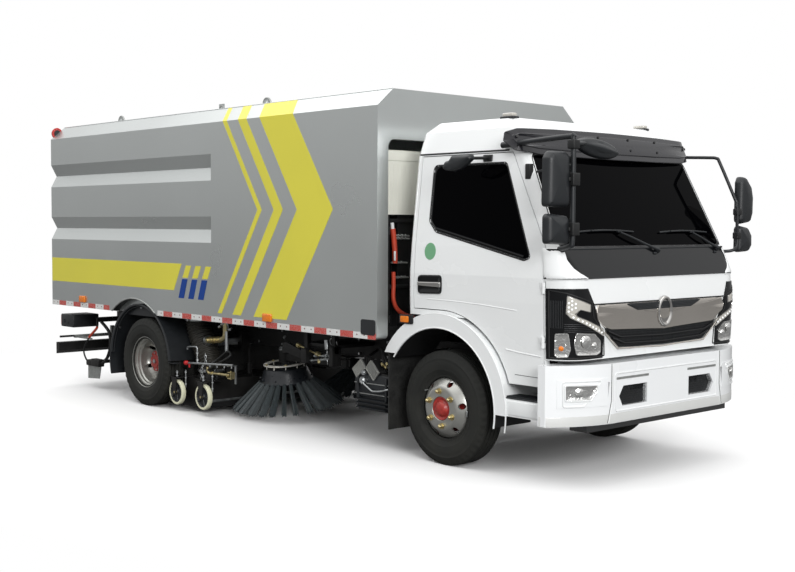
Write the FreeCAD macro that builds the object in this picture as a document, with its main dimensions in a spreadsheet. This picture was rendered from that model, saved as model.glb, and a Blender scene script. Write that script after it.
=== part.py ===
import FreeCAD, Part

import math
import os
import re

import Sketcher

# Street sweeper truck.  Units are millimetres.  +X points forwards, +Y to the vehicle's left,
# +Z up; the origin is on the ground under the middle of the vehicle.
#
# Every size below becomes a cell of the sheet "Sizes".  Sub-parts are bound to those cells with
# expressions, so a changed cell moves whatever fits to it.  Names end in _level for a height
# above the ground, _back for a distance behind the nose and _ahead for one in front of an axle.

SIZES = {
    # running gear
    "wheelbase": 3800.0,
    "front_overhang": 1200.0,
    "rear_overhang": 1800.0,
    "tyre_radius": 404.0,
    "tyre_section": 212.0,
    "bead_radius": 205.0,
    "flange_radius": 230.0,
    "flange_wall": 6.0,
    "rim_wall": 9.0,
    "disc_wall": 12.0,
    "disc_joint": 36.0,
    "front_disc_face": 95.0,
    "hub_radius": 85.0,
    "hub_cap_wall": 12.0,
    "hub_cap_bevel": 25.0,
    "front_hub_inner": 30.0,
    "front_hub_lip": 10.0,
    "front_hub_end": 140.0,
    "rear_hub_inner": 70.0,
    "rear_hub_outer": 60.0,
    "rear_hub_end": 95.0,
    "stub_radius": 28.0,
    "rear_spindle_radius": 40.0,
    "front_track": 1725.0,
    "rear_twin_pitch": 250.0,
    "rear_outer_face": 1104.0,
    "kingpin_spread": 1400.0,
    "kingpin_radius": 20.0,
    "kingpin_reach": 85.0,
    "kingpin_boss_half": 60.0,
    "boss_wall": 22.0,
    "neck_half": 25.0,
    "neck_lap": 10.0,
    "neck_reach": 30.0,
    "neck_drop": 50.0,
    "front_seat_half": 70.0,
    "rear_seat_half": 80.0,
    "beam_half": 40.0,
    "ear_wall": 19.0,
    "knuckle_ear_in": 28.0,
    "knuckle_ear_out": 60.0,
    "knuckle_web_half": 45.0,
    "knuckle_web_in": 50.0,
    "knuckle_web_out": 80.0,
    "stub_start": 70.0,
    "stub_past_wheel": 122.0,
    "axle_radius": 56.0,
    "rear_tube_short": 80.0,
    "spindle_run": 60.0,
    "diff_radius": 175.0,
    "spring_leaf": 22.0,
    "spring_width": 66.0,
    "spring_gap": 5.0,
    "spring_drop": 40.0,
    "front_spring_half": 600.0,
    "rear_spring_half": 650.0,
    # chassis
    "frame_width": 780.0,
    "rail_depth": 200.0,
    "rail_flange": 70.0,
    "rail_wall": 8.0,
    "rail_bottom": 590.0,
    "rail_nose_back": 250.0,
    "rail_tail_run": 50.0,
    "subframe_depth": 55.0,
    "subframe_width": 60.0,
    "subframe_tail": 15.0,
    "cross_width": 80.0,
    "cross_depth": 120.0,
    "cross_rise": 40.0,
    "cross_rear_back": 750.0,
    "foot_member_ahead": 1120.0,
    "cross_middle_ahead": 2500.0,
    "cross_cab_back": 500.0,
    "hanger_half": 30.0,
    "hanger_rise": 110.0,
    "hanger_lap": 10.0,
    "bracket_wall": 20.0,
    "plate_wall": 12.0,
    "cab_mount_size": 80.0,
    "cab_mount_rear": 60.0,
    "cab_mount_front": 1080.0,
    "tow_bore_radius": 17.5,
    "tow_bore_back": 285.0,
    "tow_bore_out": 40.0,
    # hopper body
    "body_length": 5062.0,
    "body_width": 2210.0,
    "body_floor_level": 850.0,
    "body_roof_level": 2672.0,
    "body_chamfer_drop": 129.0,
    "body_chamfer_run": 152.0,
    "body_corner": 40.0,
    "body_wall": 105.0,
    "body_roof_wall": 72.0,
    "body_floor_wall": 60.0,
    "inner_chamfer_drop": 81.0,
    "inner_chamfer_run": 95.0,
    "tank_length": 3700.0,
    "bulkhead": 60.0,
    "bay_lintel": 366.0,
    "bay_corner": 60.0,
    "groove_length": 2930.0,
    "groove_depth": 60.0,
    "groove_height": 228.0,
    "groove_overcut": 1.0,
    "upper_groove_level": 2166.0,
    "lower_groove_level": 1636.0,
    "arch_radius": 660.0,
    "arch_level": 330.0,
    "arch_shift": 165.0,
    "arch_depth": 75.0,
    "lift_bore_radius": 12.5,
    "lift_plate_wall": 12.0,
    "lift_inset": 68.0,
    "lift_half": 35.0,
    "lift_sunk": 5.0,
    "lift_head": 25.0,
    "lift_rise": 27.0,
    "beacon_radius": 62.0,
    "beacon_reach": 58.0,
    "beacon_lap": 0.5,
    "tip_pivot_inset": 100.0,
    "tip_pivot_level": 800.0,
    "tip_pin_radius": 28.0,
    "lug_half": 50.0,
    "lug_wall": 30.0,
    "lug_sunk": 5.0,
    "lug_reach": 120.0,
    "lug_round_left": 10.0,
    "cheek_half": 40.0,
    "cheek_drop": 35.0,
    "door_inset": 40.0,
    "door_thickness": 50.0,
    "door_pin_radius": 12.0,
    "door_pin_seat": 15.0,
    "pin_end_gap": 5.0,
    "door_pin_inset": 20.0,
    "door_pin_drop": 40.0,
    "door_top_gap": 17.0,
    "strap_inner_in": 700.0,
    "strap_outer_in": 220.0,
    "moving_gap": 6.0,
    "pin_gap": 0.5,
    "overcut": 10.0,
    # tipping cylinders
    "cylinder_spread": 400.0,
    "barrel_radius": 48.0,
    "barrel_start": 75.0,
    "barrel_end": 1000.0,
    "rod_radius": 28.0,
    "rod_start": 100.0,
    "eye_radius": 27.0,
    "eye_half": 28.0,
    "neck_radius": 22.0,
    "barrel_foot_ahead": 950.0,
    "barrel_foot_level": 660.0,
    "foot_ear_tail": 26.0,
    "foot_ear_reach": 180.0,
    "foot_ear_half": 40.0,
    "rod_eye_behind": 200.0,
    "rod_eye_level": 805.0,
    "cylinder_pin_radius": 16.0,
    "ear_gap": 7.0,
    # cab
    "cab_length": 1550.0,
    "cab_skin": 45.0,
    "cab_floor_level": 1090.0,
    "cab_floor_wall": 40.0,
    "cab_ceiling_level": 2365.0,
    "well_floor_level": 700.0,
    "tunnel_level": 850.0,
    "tunnel_half": 475.0,
    "bumper_room": 26.0,
    "door_rear_post": 75.0,
    "door_front_setback": 275.0,
    "door_top": 2165.0,
    "door_bottom": 645.0,
    "door_rear_level": 1096.0,
    "door_slope_back": 345.0,
    "door_slope_level": 1545.0,
    "door_inner": 500.0,
    "window_drop": 68.0,
    "window_rear_low": 125.0,
    "window_rear_high": 128.0,
    "window_rear_level": 1712.0,
    "window_front_high": 395.0,
    "window_front": 128.0,
    "window_front_level": 1478.0,
    "window_sill_front": 175.0,
    "window_sill_level": 1462.0,
    "window_sill_rear": 195.0,
    "window_sill_high": 1640.0,
    "hinge_side": 990.0,
    "hinge_radius": 11.0,
    "hinge_pin_radius": 5.0,
    "hinge_height": 36.0,
    "hinge_flat": 30.0,
    "lower_hinge_level": 900.0,
    "upper_hinge_level": 1250.0,
    "glass": 6.0,
    "glass_inset": 8.0,
    "panel_proud": 7.0,
    "screen_bottom": 1540.0,
    "screen_top": 2150.0,
    "screen_low_half": 915.0,
    "screen_high_half": 852.0,
    "screen_corner_rise": 6.0,
    "screen_back": 800.0,
    "mask_bottom": 1345.0,
    "mask_gap": 4.0,
    "panel_reach": 50.0,
    "lamp_bottom": 834.0,
    "lamp_top": 1285.0,
    "lamp_inner": 648.0,
    "lamp_inner_rise": 141.0,
    "lamp_shoulder": 800.0,
    "lamp_outer": 1000.0,
    "grille_bottom": 880.0,
    "grille_top": 1182.0,
    "grille_shoulder": 105.0,
    "grille_shoulder_half": 640.0,
    "grille_foot_half": 520.0,
    "grille_half": 660.0,
    "badge_level": 1108.0,
    "badge_radius": 88.0,
    "badge_back": 60.0,
    "badge_length": 34.0,
    "badge_stretch": 1.2,
    "mirror_tube": 12.0,
    "kerb_head_rear": 500.0,
    "kerb_head_front": 750.0,
    "kerb_head_outer": 1130.0,
    "kerb_head_inner": 1010.0,
    "kerb_head_low": 2040.0,
    "kerb_head_high": 2150.0,
    "kerb_arm_ahead": 620.0,
    "kerb_arm_outer": 1040.0,
    "kerb_arm_inner": 870.0,
    "kerb_arm_level": 2130.0,
    "visor_level": 2160.0,
    "visor_height": 170.0,
    "visor_lean": 60.0,
    "visor_half": 1030.0,
    "visor_wall": 14.0,
    "visor_ends_back": 590.0,
    "visor_middle_back": 448.0,
    "visor_stay_rear": 720.0,
    "visor_stay_front": 530.0,
    "visor_stay_half": 12.0,
    "visor_stay_low": 2222.0,
    "visor_stay_high": 2252.0,
    "visor_stay_side": 640.0,
    "fender_radius": 640.0,
    "fender_arch_radius": 540.0,
    "fender_level": 430.0,
    "fender_side": 1020.0,
    "fender_inner": 620.0,
    "fender_cut": 700.0,
    "fender_low_rear": 330.0,
    "fender_trim_drop": 5.0,
    "fender_trim_lap": 1.0,
    "fender_trim_top": 1200.0,
    "step_lap": 40.0,
    "step_ahead": 930.0,
    "step_inner": 680.0,
    "step_outer": 1000.0,
    "fender_bracket_half": 30.0,
    "fender_bracket_low": 1000.0,
    "fender_bracket_high": 1040.0,
    "fender_bracket_lap": 20.0,
    "fender_foot_rise": 50.0,
    "fender_below": 300.0,
    "step_level": 550.0,
    "step_depth": 120.0,
    "bumper_bottom": 410.0,
    "bumper_top": 800.0,
    "bumper_wall": 40.0,
    "bumper_side": 1065.0,
    "bumper_flat_half": 610.0,
    "bumper_corner_back": 62.0,
    "bumper_corner_side": 870.0,
    "bumper_shoulder_back": 185.0,
    "bumper_back": 245.0,
    "bumper_open_back": 60.0,
    "bumper_floor_share": 0.75,
    "corner_inset_back": 0.8,
    "corner_inset_side": 0.3,
    "pocket_inner": 240.0,
    "pocket_low": 516.0,
    "pocket_low_end": 508.0,
    "pocket_outer": 545.0,
    "pocket_middle": 580.0,
    "pocket_high_end": 500.0,
    "pocket_high": 646.0,
    "fog_low": 560.0,
    "fog_high": 680.0,
    "fog_low_inner": 660.0,
    "fog_low_outer": 850.0,
    "fog_high_outer": 880.0,
    "fog_high_inner": 640.0,
    "pocket_depth": 150.0,
    "beam_front_back": 30.0,
    "beam_low": 600.0,
    "beam_high": 720.0,
    "skirt_back": 200.0,
    "skirt_front": 60.0,
    "skirt_half": 800.0,
    "skirt_lap": 2.0,
    "skirt_bottom": 360.0,
    "dash_low": 1180.0,
    "dash_top": 1500.0,
    "dash_depth": 560.0,
    "dash_leg_back": 300.0,
    "dash_leg_front": 200.0,
    "dash_leg_half": 60.0,
    "dash_leg_lap": 20.0,
    "steering_side": 430.0,
    "steering_back": 640.0,
    "steering_level": 1620.0,
    "steering_radius": 200.0,
    "steering_column": 260.0,
    "column_radius": 28.0,
    "steering_rim": 16.0,
    "steering_disc": 14.0,
    "steering_lap": 3.0,
    "steering_lean": 0.5,
    "cushion_height": 330.0,
    "seat_shift": 40.0,
    "cushion_rear": 300.0,
    "cushion_front": 800.0,
    "cushion_half": 240.0,
    "cushion_depth": 150.0,
    "back_rear": 330.0,
    "back_front": 430.0,
    "back_top_front": 310.0,
    "back_top_rear": 220.0,
    "back_height": 650.0,
    "back_half": 230.0,
    "seat_base_rear": 350.0,
    "seat_base_front": 760.0,
    "seat_base_half": 180.0,
    # gutter brooms
    "broom_ahead": 1370.0,
    "broom_out": 110.0,
    "broom_radius": 455.0,
    "broom_hub_radius": 190.0,
    "broom_tip_drop": 375.0,
    "broom_root_drop": 140.0,
    "broom_top_level": 470.0,
    "broom_tilt": 6.0,
    "broom_shaft_radius": 18.0,
    "motor_rise": 35.0,
    "motor_radius": 52.0,
    "motor_room_radius": 60.0,
    "motor_lift": 9.0,
    "shaft_short": 10.0,
    "stub_lap": 20.0,
    "hub_skirt": 55.0,
    "hub_neck_radius": 60.0,
    "hub_hood_rise": 60.0,
    "hub_hood_top": 85.0,
    "hub_plate": 8.0,
    "root_ring": 40.0,
    "tip_ring": 130.0,
    "arm_pivot_ahead": 2100.0,
    "arm_post_radius": 22.0,
    "arm_pivot_out": 40.0,
    "arm_plate_half": 70.0,
    "arm_plate_lap": 50.0,
    "arm_boss_wall": 18.0,
    "arm_half_at_pivot": 28.0,
    "arm_half_at_broom": 32.0,
    "arm_level": 500.0,
    "arm_depth": 60.0,
    # suction nozzle
    "nozzle_ahead": 410.0,
    "nozzle_length": 430.0,
    "nozzle_half_width": 930.0,
    "nozzle_wall": 8.0,
    "nozzle_bottom": 75.0,
    "nozzle_top": 300.0,
    "spigot_sunk": 4.0,
    "spigot_wall": 10.0,
    "spigot_height": 45.0,
    "throat_sunk": 30.0,
    "throat_height": 90.0,
    "hose_foot_back": 60.0,
    "fork_plate": 10.0,
    "fork_lap": 60.0,
    "fork_reach_short": 40.0,
    "fork_rear": 50.0,
    "fork_front": 35.0,
    "fork_toe": 18.0,
    "fork_rim": 2.0,
    "fork_sunk": 5.0,
    "caster_bevel": 12.0,
    "caster_radius": 115.0,
    "caster_width": 42.0,
    "caster_side": 1030.0,
    "caster_level": 172.0,
    "caster_pin_radius": 8.0,
    "caster_rear_ahead": 470.0,
    "caster_front_ahead": 895.0,
    "fork_wall": 8.0,
    "hose_radius": 110.0,
    "hose_side": 800.0,
    "hose_top_ahead": 455.0,
    "hose_gap": 7.0,
    "hose_bend": 90.0,
    "hose_top_run": 60.0,
    "hose_foot_run": 110.0,
    "hose_seat": 40.0,
    "collar_wall": 14.0,
    "collar_height": 28.0,
    "hose_bracket_half": 30.0,
    "hose_bracket_low": 26.0,
    "hose_bracket_high": 10.0,
    "guide_radius": 14.0,
    "guide_inset": 35.0,
    "guide_lift": 20.0,
    "sleeve_wall": 14.0,
    "sleeve_sunk": 4.0,
    "sleeve_height": 104.0,
    "sleeve_bore_sunk": 8.0,
    # what the chassis carries
    "flap_back": 530.0,
    "flap_inner": 640.0,
    "flap_outer": 1000.0,
    "flap_bottom": 190.0,
    "flap_top": 755.0,
    "flap_bar_back": 10.0,
    "flap_bar_end": 700.0,
    "flap_bar_low": 715.0,
    "flap_bar_high": 750.0,
    "engine_back": 350.0,
    "engine_ahead": 520.0,
    "engine_top_ahead": 420.0,
    "engine_half": 310.0,
    "engine_low": 560.0,
    "engine_room": 10.0,
    "engine_top_room": 20.0,
    "engine_shoulder": 700.0,
    "bearer_low": 640.0,
    "bearer_width": 80.0,
    "rear_bearer": -250.0,
    "front_bearer": 340.0,
    "tank_inner": 470.0,
    "tank_outer": 930.0,
    "tank_low": 430.0,
    "tank_high": 790.0,
    "tank_round": 80.0,
    "tank_back": 1400.0,
    "fuel_tank_length": 720.0,
    "strap_back": 1300.0,
    "strap_front": 780.0,
    "strap_low": 600.0,
    "strap_high": 760.0,
    "strap_lap": 10.0,
    "case_back": 365.0,
    "case_front": 15.0,
    "case_outer": 980.0,
    "case_inner": 560.0,
    "case_low": 450.0,
    "case_high": 670.0,
    "case_arm_back": 320.0,
    "case_arm_front": 120.0,
    "case_arm_low": 600.0,
    "case_arm_high": 640.0,
    "case_arm_lap": 10.0,
    "rack_back": 430.0,
    "rack_front": 30.0,
    "rack_outer": 960.0,
    "rack_inner": 600.0,
    "rack_low": 330.0,
    "guard_radius": 550.0,
    "guard_level": 390.0,
    "guard_shift": 90.0,
    "guard_inner": 570.0,
    "guard_side": 1095.0,
    "guard_top_level": 838.0,
    "guard_wall": 15.0,
    "guard_half_plate": 325.0,
    "guard_front_level": 450.0,
    "guard_rear_level": 240.0,
    "guard_lip_inset": 5.0,
    "guard_arm_rear": 470.0,
    "guard_arm_front": 510.0,
    "guard_arm_low": 640.0,
    "guard_arm_high": 670.0,
    "guard_arm_lap": 30.0,
    "underrun_level": 335.0,
    "underrun_depth": 120.0,
    "underrun_wall": 65.0,
    "underrun_slope": 35.0,
    "underrun_back": 5.0,
    "underrun_half": 1070.0,
    "post_front": 120.0,
    "post_rear": 40.0,
    "post_in": 90.0,
    "post_width": 60.0,
    "post_lap": 45.0,
    "number_bar_rise": 177.0,
    "number_bar_back": 50.0,
    "number_bar_half": 1050.0,
    "number_bar_radius": 11.0,
    "lamp_box_level": 620.0,
    "lamp_box_height": 130.0,
    "lamp_box_rear": 25.0,
    "lamp_box_front": 300.0,
    "lamp_box_inner": 630.0,
    "lamp_box_outer": 1030.0,
    "lamp_arm_rear": 60.0,
    "lamp_arm_front": 120.0,
    "lamp_arm_low": 40.0,
    "lamp_arm_high": 80.0,
    "arm_lap": 10.0,
    "unit_back": 120.0,
    "unit_length": 1030.0,
    "unit_side_gap": 200.0,
    "cover_side_gap": 40.0,
    "cover_level": 1760.0,
    "cover_height": 470.0,
    "cover_length": 580.0,
    "cover_nose": 45.0,
}

DOC = FreeCAD.newDocument("street_sweeper_truck")
SHEET = DOC.addObject("Spreadsheet::Sheet", "Sizes")
WORD = re.compile(r"\b(?:" + "|".join(SIZES) + r")\b")

PARTS = []


def fill_sheet():
    """Puts every size in the sheet, one row each, with its name as the alias."""
    for row, (name, value) in enumerate(SIZES.items(), start=1):
        SHEET.set(f"A{row}", name)
        SHEET.set(f"B{row}", str(value))
        SHEET.setAlias(f"B{row}", name)
    DOC.recompute()


def formula(text):
    """The expression text with each size's name pointed at the sheet."""
    return WORD.sub(lambda word: f"Sizes.{word.group(0)}", str(text))


def number(text):
    """What an expression of sizes comes to now."""
    return float(SHEET.evalExpression(formula(text)))


def bind(item, prop, text):
    """Binds one property of an object to an expression of sizes."""
    item.setExpression(prop, formula(text))


def place(item, x=0, y=0, z=0):
    """Binds an object's position."""
    bind(item, "Placement.Base.x", x)
    bind(item, "Placement.Base.y", y)
    bind(item, "Placement.Base.z", z)


def keep(item, label):
    """Names an object as a sub-part of the vehicle."""
    item.Label = label
    PARTS.append(item)
    return item


def box(label, x_span, y_span, z_span):
    """A block between two expressions along each axis."""
    block = DOC.addObject("Part::Box", label)
    bind(block, "Length", f"({x_span[1]}) - ({x_span[0]})")
    bind(block, "Width", f"({y_span[1]}) - ({y_span[0]})")
    bind(block, "Height", f"({z_span[1]}) - ({z_span[0]})")
    place(block, x_span[0], y_span[0], z_span[0])
    return block


TURNS = {
    "x": FreeCAD.Rotation(FreeCAD.Vector(0, 1, 0), 90),
    "y": FreeCAD.Rotation(FreeCAD.Vector(1, 0, 0), -90),
    "z": FreeCAD.Rotation(),
}


def rod(label, axis, start, radius, length):
    """A cylinder along +X, +Y or +Z from its start point."""
    bar = DOC.addObject("Part::Cylinder", label)
    bar.Placement = FreeCAD.Placement(FreeCAD.Vector(), TURNS[axis])
    bind(bar, "Radius", radius)
    bind(bar, "Height", length)
    place(bar, *start)
    return bar


def fuse(label, *pieces):
    """One solid from pieces that touch."""
    whole = DOC.addObject("Part::MultiFuse", label)
    whole.Shapes = list(pieces)
    whole.Refine = True
    return whole


def cut(label, base, *tools):
    """The base less its tools."""
    result = DOC.addObject("Part::Cut", label)
    result.Base = base
    result.Tool = tools[0] if len(tools) == 1 else fuse(f"{label}_tools", *tools)
    return result


def gather(label, *pieces):
    """Like pieces on one body that don't touch, kept as one sub-part."""
    group = DOC.addObject("Part::Compound", label)
    group.Links = list(pieces)
    return group


def mirrored(label, source):
    """The same piece on the other side of the vehicle."""
    twin = DOC.addObject("Part::Mirroring", label)
    twin.Source = source
    twin.Base = FreeCAD.Vector(0, 0, 0)
    twin.Normal = FreeCAD.Vector(0, 1, 0)
    return twin


def origin_plane(body, role):
    """One of a body's own origin planes."""
    return next(plane for plane in body.Origin.OriginFeatures if plane.Role == role)


def outline(body, label, role, points, offset):
    """A closed outline on an origin plane, each corner bound to the sheet.

    Points are pairs of expressions.  On XZ the pairs are (x, z) and the offset runs along -Y.
    """
    sketch = body.newObject("Sketcher::SketchObject", label)
    sketch.AttachmentSupport = [(origin_plane(body, role), "")]
    sketch.MapMode = "FlatFace"
    bind(sketch, "AttachmentOffset.Base.z", offset)
    corners = [FreeCAD.Vector(number(across), number(up), 0) for across, up in points]
    count = len(corners)
    for index in range(count):
        edge = Part.LineSegment(corners[index], corners[(index + 1) % count])
        sketch.addGeometry(edge, False)
    for index in range(count):
        sketch.addConstraint(Sketcher.Constraint("Coincident", index, 2, (index + 1) % count, 1))
    for index, (across, up) in enumerate(points):
        for kind, text, value in (("DistanceX", across, corners[index].x),
                                  ("DistanceY", up, corners[index].y)):
            place_id = sketch.addConstraint(Sketcher.Constraint(kind, -1, 1, index, 1, value))
            sketch.setExpression(f"Constraints[{place_id}]", formula(text))
    return sketch


def slab(label, role, points, start, depth, rounds=()):
    """An outline padded to a depth; rounds lists (corner number, radius) pairs.

    XY slabs rise from the start level, YZ slabs run forwards from it, and XZ slabs run from the
    start towards +Y.
    """
    body = DOC.addObject("PartDesign::Body", label)
    offset = f"-(({start}) + ({depth}))" if role == "XZ_Plane" else start
    sketch = outline(body, f"{label}_outline", role, points, offset)
    pad = body.newObject("PartDesign::Pad", f"{label}_pad")
    pad.Profile = sketch
    bind(pad, "Length", depth)
    sketch.Visibility = False
    if rounds:
        DOC.recompute()
    for corner, radius in rounds:
        tip = body.Tip
        fillet = body.newObject("PartDesign::Fillet", f"{label}_round_{corner}")
        fillet.Base = (tip, [edge_at(tip.Shape, role, points[corner])])
        bind(fillet, "Radius", radius)
        DOC.recompute()
    return body


ACROSS = {
    "XY_Plane": lambda point: (point.x, point.y),
    "XZ_Plane": lambda point: (point.x, point.z),
    "YZ_Plane": lambda point: (point.y, point.z),
}


def edge_at(shape, role, corner):
    """The name of the edge that runs along the pad's depth at one corner of its outline."""
    want = [number(text) for text in corner]
    for index, edge in enumerate(shape.Edges, start=1):
        ends = [ACROSS[role](vertex.Point) for vertex in edge.Vertexes]
        if all(math.dist(end, want) < 0.01 for end in ends):
            return f"Edge{index}"
    raise ValueError(f"no edge at {corner}")


def turned(label, profile, centre, axis="y", lean="0"):
    """A ring from (radius, along) pairs turned about an axis through the centre.

    The sketch lies on the XY plane of its body, whose Placement carries it to the centre.  An
    upright ring may lean towards +Y by an angle.
    """
    body = DOC.addObject("PartDesign::Body", label)
    sketch = outline(body, f"{label}_profile", "XY_Plane", profile, 0)
    turn = body.newObject("PartDesign::Revolution", f"{label}_turn")
    turn.Profile = sketch
    turn.ReferenceAxis = (sketch, ["V_Axis"])
    turn.Angle = 360
    angle = 90 - number(lean) if axis == "z" else 0
    body.Placement = FreeCAD.Placement(FreeCAD.Vector(),
                                       FreeCAD.Rotation(FreeCAD.Vector(1, 0, 0), angle))
    place(body, *centre)
    sketch.Visibility = False
    return body


def shaped(label, shape):
    """A piece whose form is worked out by code from the sheet's sizes."""
    feature = DOC.addObject("Part::Feature", label)
    feature.Shape = shape
    feature.Placement = FreeCAD.Placement()
    return feature


# Stations that several sub-parts share.
FRONT_AXLE = "(wheelbase + rear_overhang - front_overhang) / 2"
REAR_AXLE = "((rear_overhang - front_overhang) - wheelbase) / 2"
NOSE = f"({FRONT_AXLE} + front_overhang)"
TAIL = f"({REAR_AXLE} - rear_overhang)"
RAIL_TOP = "(rail_bottom + rail_depth)"
SUBFRAME_TOP = f"({RAIL_TOP} + subframe_depth)"
RAIL_SIDE = "(frame_width / 2)"
GUIDE_SIDE = "(frame_width / 2 - guide_inset)"
ARM_SIDE = "(frame_width / 2 + arm_pivot_out)"
BROOM_SIDE = "(frame_width / 2 + broom_out)"
BODY_FRONT = f"({TAIL} + body_length)"
TIP_X = f"({TAIL} + tip_pivot_inset)"
BARREL_FOOT = f"({REAR_AXLE} + barrel_foot_ahead)"
ROD_EYE = f"({REAR_AXLE} - rod_eye_behind)"
FOOT_MEMBER = f"({REAR_AXLE} + foot_member_ahead)"
BROOM_X = f"({REAR_AXLE} + broom_ahead)"
ARM_PIVOT = f"({REAR_AXLE} + arm_pivot_ahead)"
NOZZLE_REAR = f"({REAR_AXLE} + nozzle_ahead)"
NOZZLE_FRONT = f"({REAR_AXLE} + nozzle_ahead + nozzle_length)"
NOZZLE_MIDDLE = f"({REAR_AXLE} + nozzle_ahead + nozzle_length / 2)"
CAB_REAR = f"({NOSE} - cab_length)"
HOSE_TOP = f"({REAR_AXLE} + hose_top_ahead)"
HOSE_FOOT = f"({NOZZLE_FRONT} - hose_radius - hose_foot_back)"
DOOR_HINGE_X = f"({TAIL} + door_pin_inset)"
DOOR_HINGE_Z = "(body_roof_level - body_roof_wall - door_pin_drop)"
BODY_HALF = "(body_width / 2)"
INNER_HALF = "(body_width / 2 - body_wall)"
LIFT_SIDE = "(body_width / 2 - body_chamfer_run - lift_inset)"
INNER_TOP = "(body_roof_level - body_roof_wall)"
SPRING_INNER = f"({RAIL_SIDE} + spring_gap)"
SPRING_OUTER = f"({RAIL_SIDE} + spring_gap + spring_width)"
SPRING_TOP = "(rail_bottom - spring_drop)"
FLAP_X = f"({FRONT_AXLE} - flap_back)"
GUARD_X = f"({REAR_AXLE} - guard_shift)"
MASK_REAR = f"({NOSE} - door_front_setback + moving_gap)"


# ---------------------------------------------------------------- chassis

def make_chassis():
    """The frame: two rails with every bracket welded to them, and the crossmembers between."""
    pin = rod("tip_pin", "y", (TIP_X, f"{RAIL_SIDE} - rail_wall", "tip_pivot_level"),
              "tip_pin_radius", "rail_wall + subframe_width")
    side = fuse("frame_side", *rail(), *spring_hangers(), *sweeping_brackets(), *cab_mounts(),
                tow_plate(), pin)
    keep(gather("chassis_frame", *pair(side)), "chassis_frame")
    keep(gather("crossmembers", *crossmembers()), "crossmembers")


def tow_plate():
    """A flat plate outside the rail's nose with an upright bore for the towing pin."""
    middle = f"{NOSE} - tow_bore_back"
    plate = box("tow_plate_blank", (f"{middle} - lug_half", f"{middle} + lug_half"),
                (RAIL_SIDE, f"{RAIL_SIDE} + 2 * tow_bore_out"),
                ("rail_bottom", "rail_bottom + bracket_wall"))
    bore = rod("tow_bore", "z", (middle, f"{RAIL_SIDE} + tow_bore_out", "rail_bottom - lug_half"),
               "tow_bore_radius", "bracket_wall + 2 * lug_half")
    return cut("tow_plate", plate, bore)


def pair(piece):
    """A piece on the left with its twin on the right."""
    return [piece, mirrored(f"{piece.Label}_right", piece)]


def rail():
    """The left channel rail and the plain subframe bar that lies on it."""
    rail_end = f"{TIP_X} - rail_tail_run"
    rail_length = f"{NOSE} - rail_nose_back - ({rail_end})"
    channel = [
        (RAIL_SIDE, "rail_bottom"),
        (RAIL_SIDE, RAIL_TOP),
        (f"{RAIL_SIDE} - rail_flange", RAIL_TOP),
        (f"{RAIL_SIDE} - rail_flange", f"{RAIL_TOP} - rail_wall"),
        (f"{RAIL_SIDE} - rail_wall", f"{RAIL_TOP} - rail_wall"),
        (f"{RAIL_SIDE} - rail_wall", "rail_bottom + rail_wall"),
        (f"{RAIL_SIDE} - rail_flange", "rail_bottom + rail_wall"),
        (f"{RAIL_SIDE} - rail_flange", "rail_bottom"),
    ]
    beam = slab("rail", "YZ_Plane", channel, rail_end, rail_length)
    subframe = box("subframe", (f"{TIP_X} - subframe_tail", f"{BODY_FRONT} - subframe_width"),
                   (f"{RAIL_SIDE} - subframe_width", RAIL_SIDE), (RAIL_TOP, SUBFRAME_TOP))
    return [beam, subframe]


def crossmembers():
    """Six crossmembers between the rails' webs; one carries the tipping cylinders' feet."""
    members = []
    stations = (f"{TIP_X} + cross_width", f"{REAR_AXLE} - cross_rear_back", FOOT_MEMBER,
                f"{REAR_AXLE} + cross_middle_ahead", f"{FRONT_AXLE} - cross_cab_back",
                f"{NOSE} - rail_nose_back - 1.5 * cross_width")
    for index, station in enumerate(stations):
        members.append(box(f"crossmember_{index}", (station, f"{station} + cross_width"),
                           (f"rail_wall - {RAIL_SIDE}", f"{RAIL_SIDE} - rail_wall"),
                           ("rail_bottom + cross_rise",
                            "rail_bottom + cross_rise + cross_depth")))
    foot = stations.index(FOOT_MEMBER)
    members[foot] = fuse("foot_member", members[foot], *cylinder_feet())
    return members


def spring_hangers():
    """The brackets outside a rail that hold each end of each spring."""
    hangers = []
    for axle, half, name in ((FRONT_AXLE, "front_spring_half", "front"),
                             (REAR_AXLE, "rear_spring_half", "rear")):
        for sign, end in ((-1, "back"), (1, "fore")):
            at = f"{axle} + {sign} * ({half} - hanger_half + hanger_lap)"
            hangers.append(box(f"{name}_hanger_{end}",
                               (f"{at} - hanger_half", f"{at} + hanger_half"),
                               (RAIL_SIDE, SPRING_OUTER),
                               (SPRING_TOP, "rail_bottom + hanger_rise")))
    return hangers


def cylinder_feet():
    """Ears under a crossmember that hold the foot pins of the tipping cylinders."""
    middle = "cylinder_spread / 2"
    clear = "eye_half + ear_gap"
    pieces = []
    for name, low in (("inner", f"{middle} - ({clear}) - bracket_wall"),
                      ("outer", f"{middle} + {clear}")):
        ear = box(f"foot_ear_{name}",
                  (f"{BARREL_FOOT} - foot_ear_tail", f"{BARREL_FOOT} + foot_ear_reach"),
                  (low, f"{low} + bracket_wall"),
                  ("barrel_foot_level - foot_ear_half", "barrel_foot_level + foot_ear_half"))
        pieces += pair(ear)
    pin = rod("foot_pin", "y", (BARREL_FOOT, f"{middle} - ({clear}) - bracket_wall",
                                "barrel_foot_level"),
              "cylinder_pin_radius", f"2 * ({clear} + bracket_wall)")
    return pieces + pair(pin)


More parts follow.
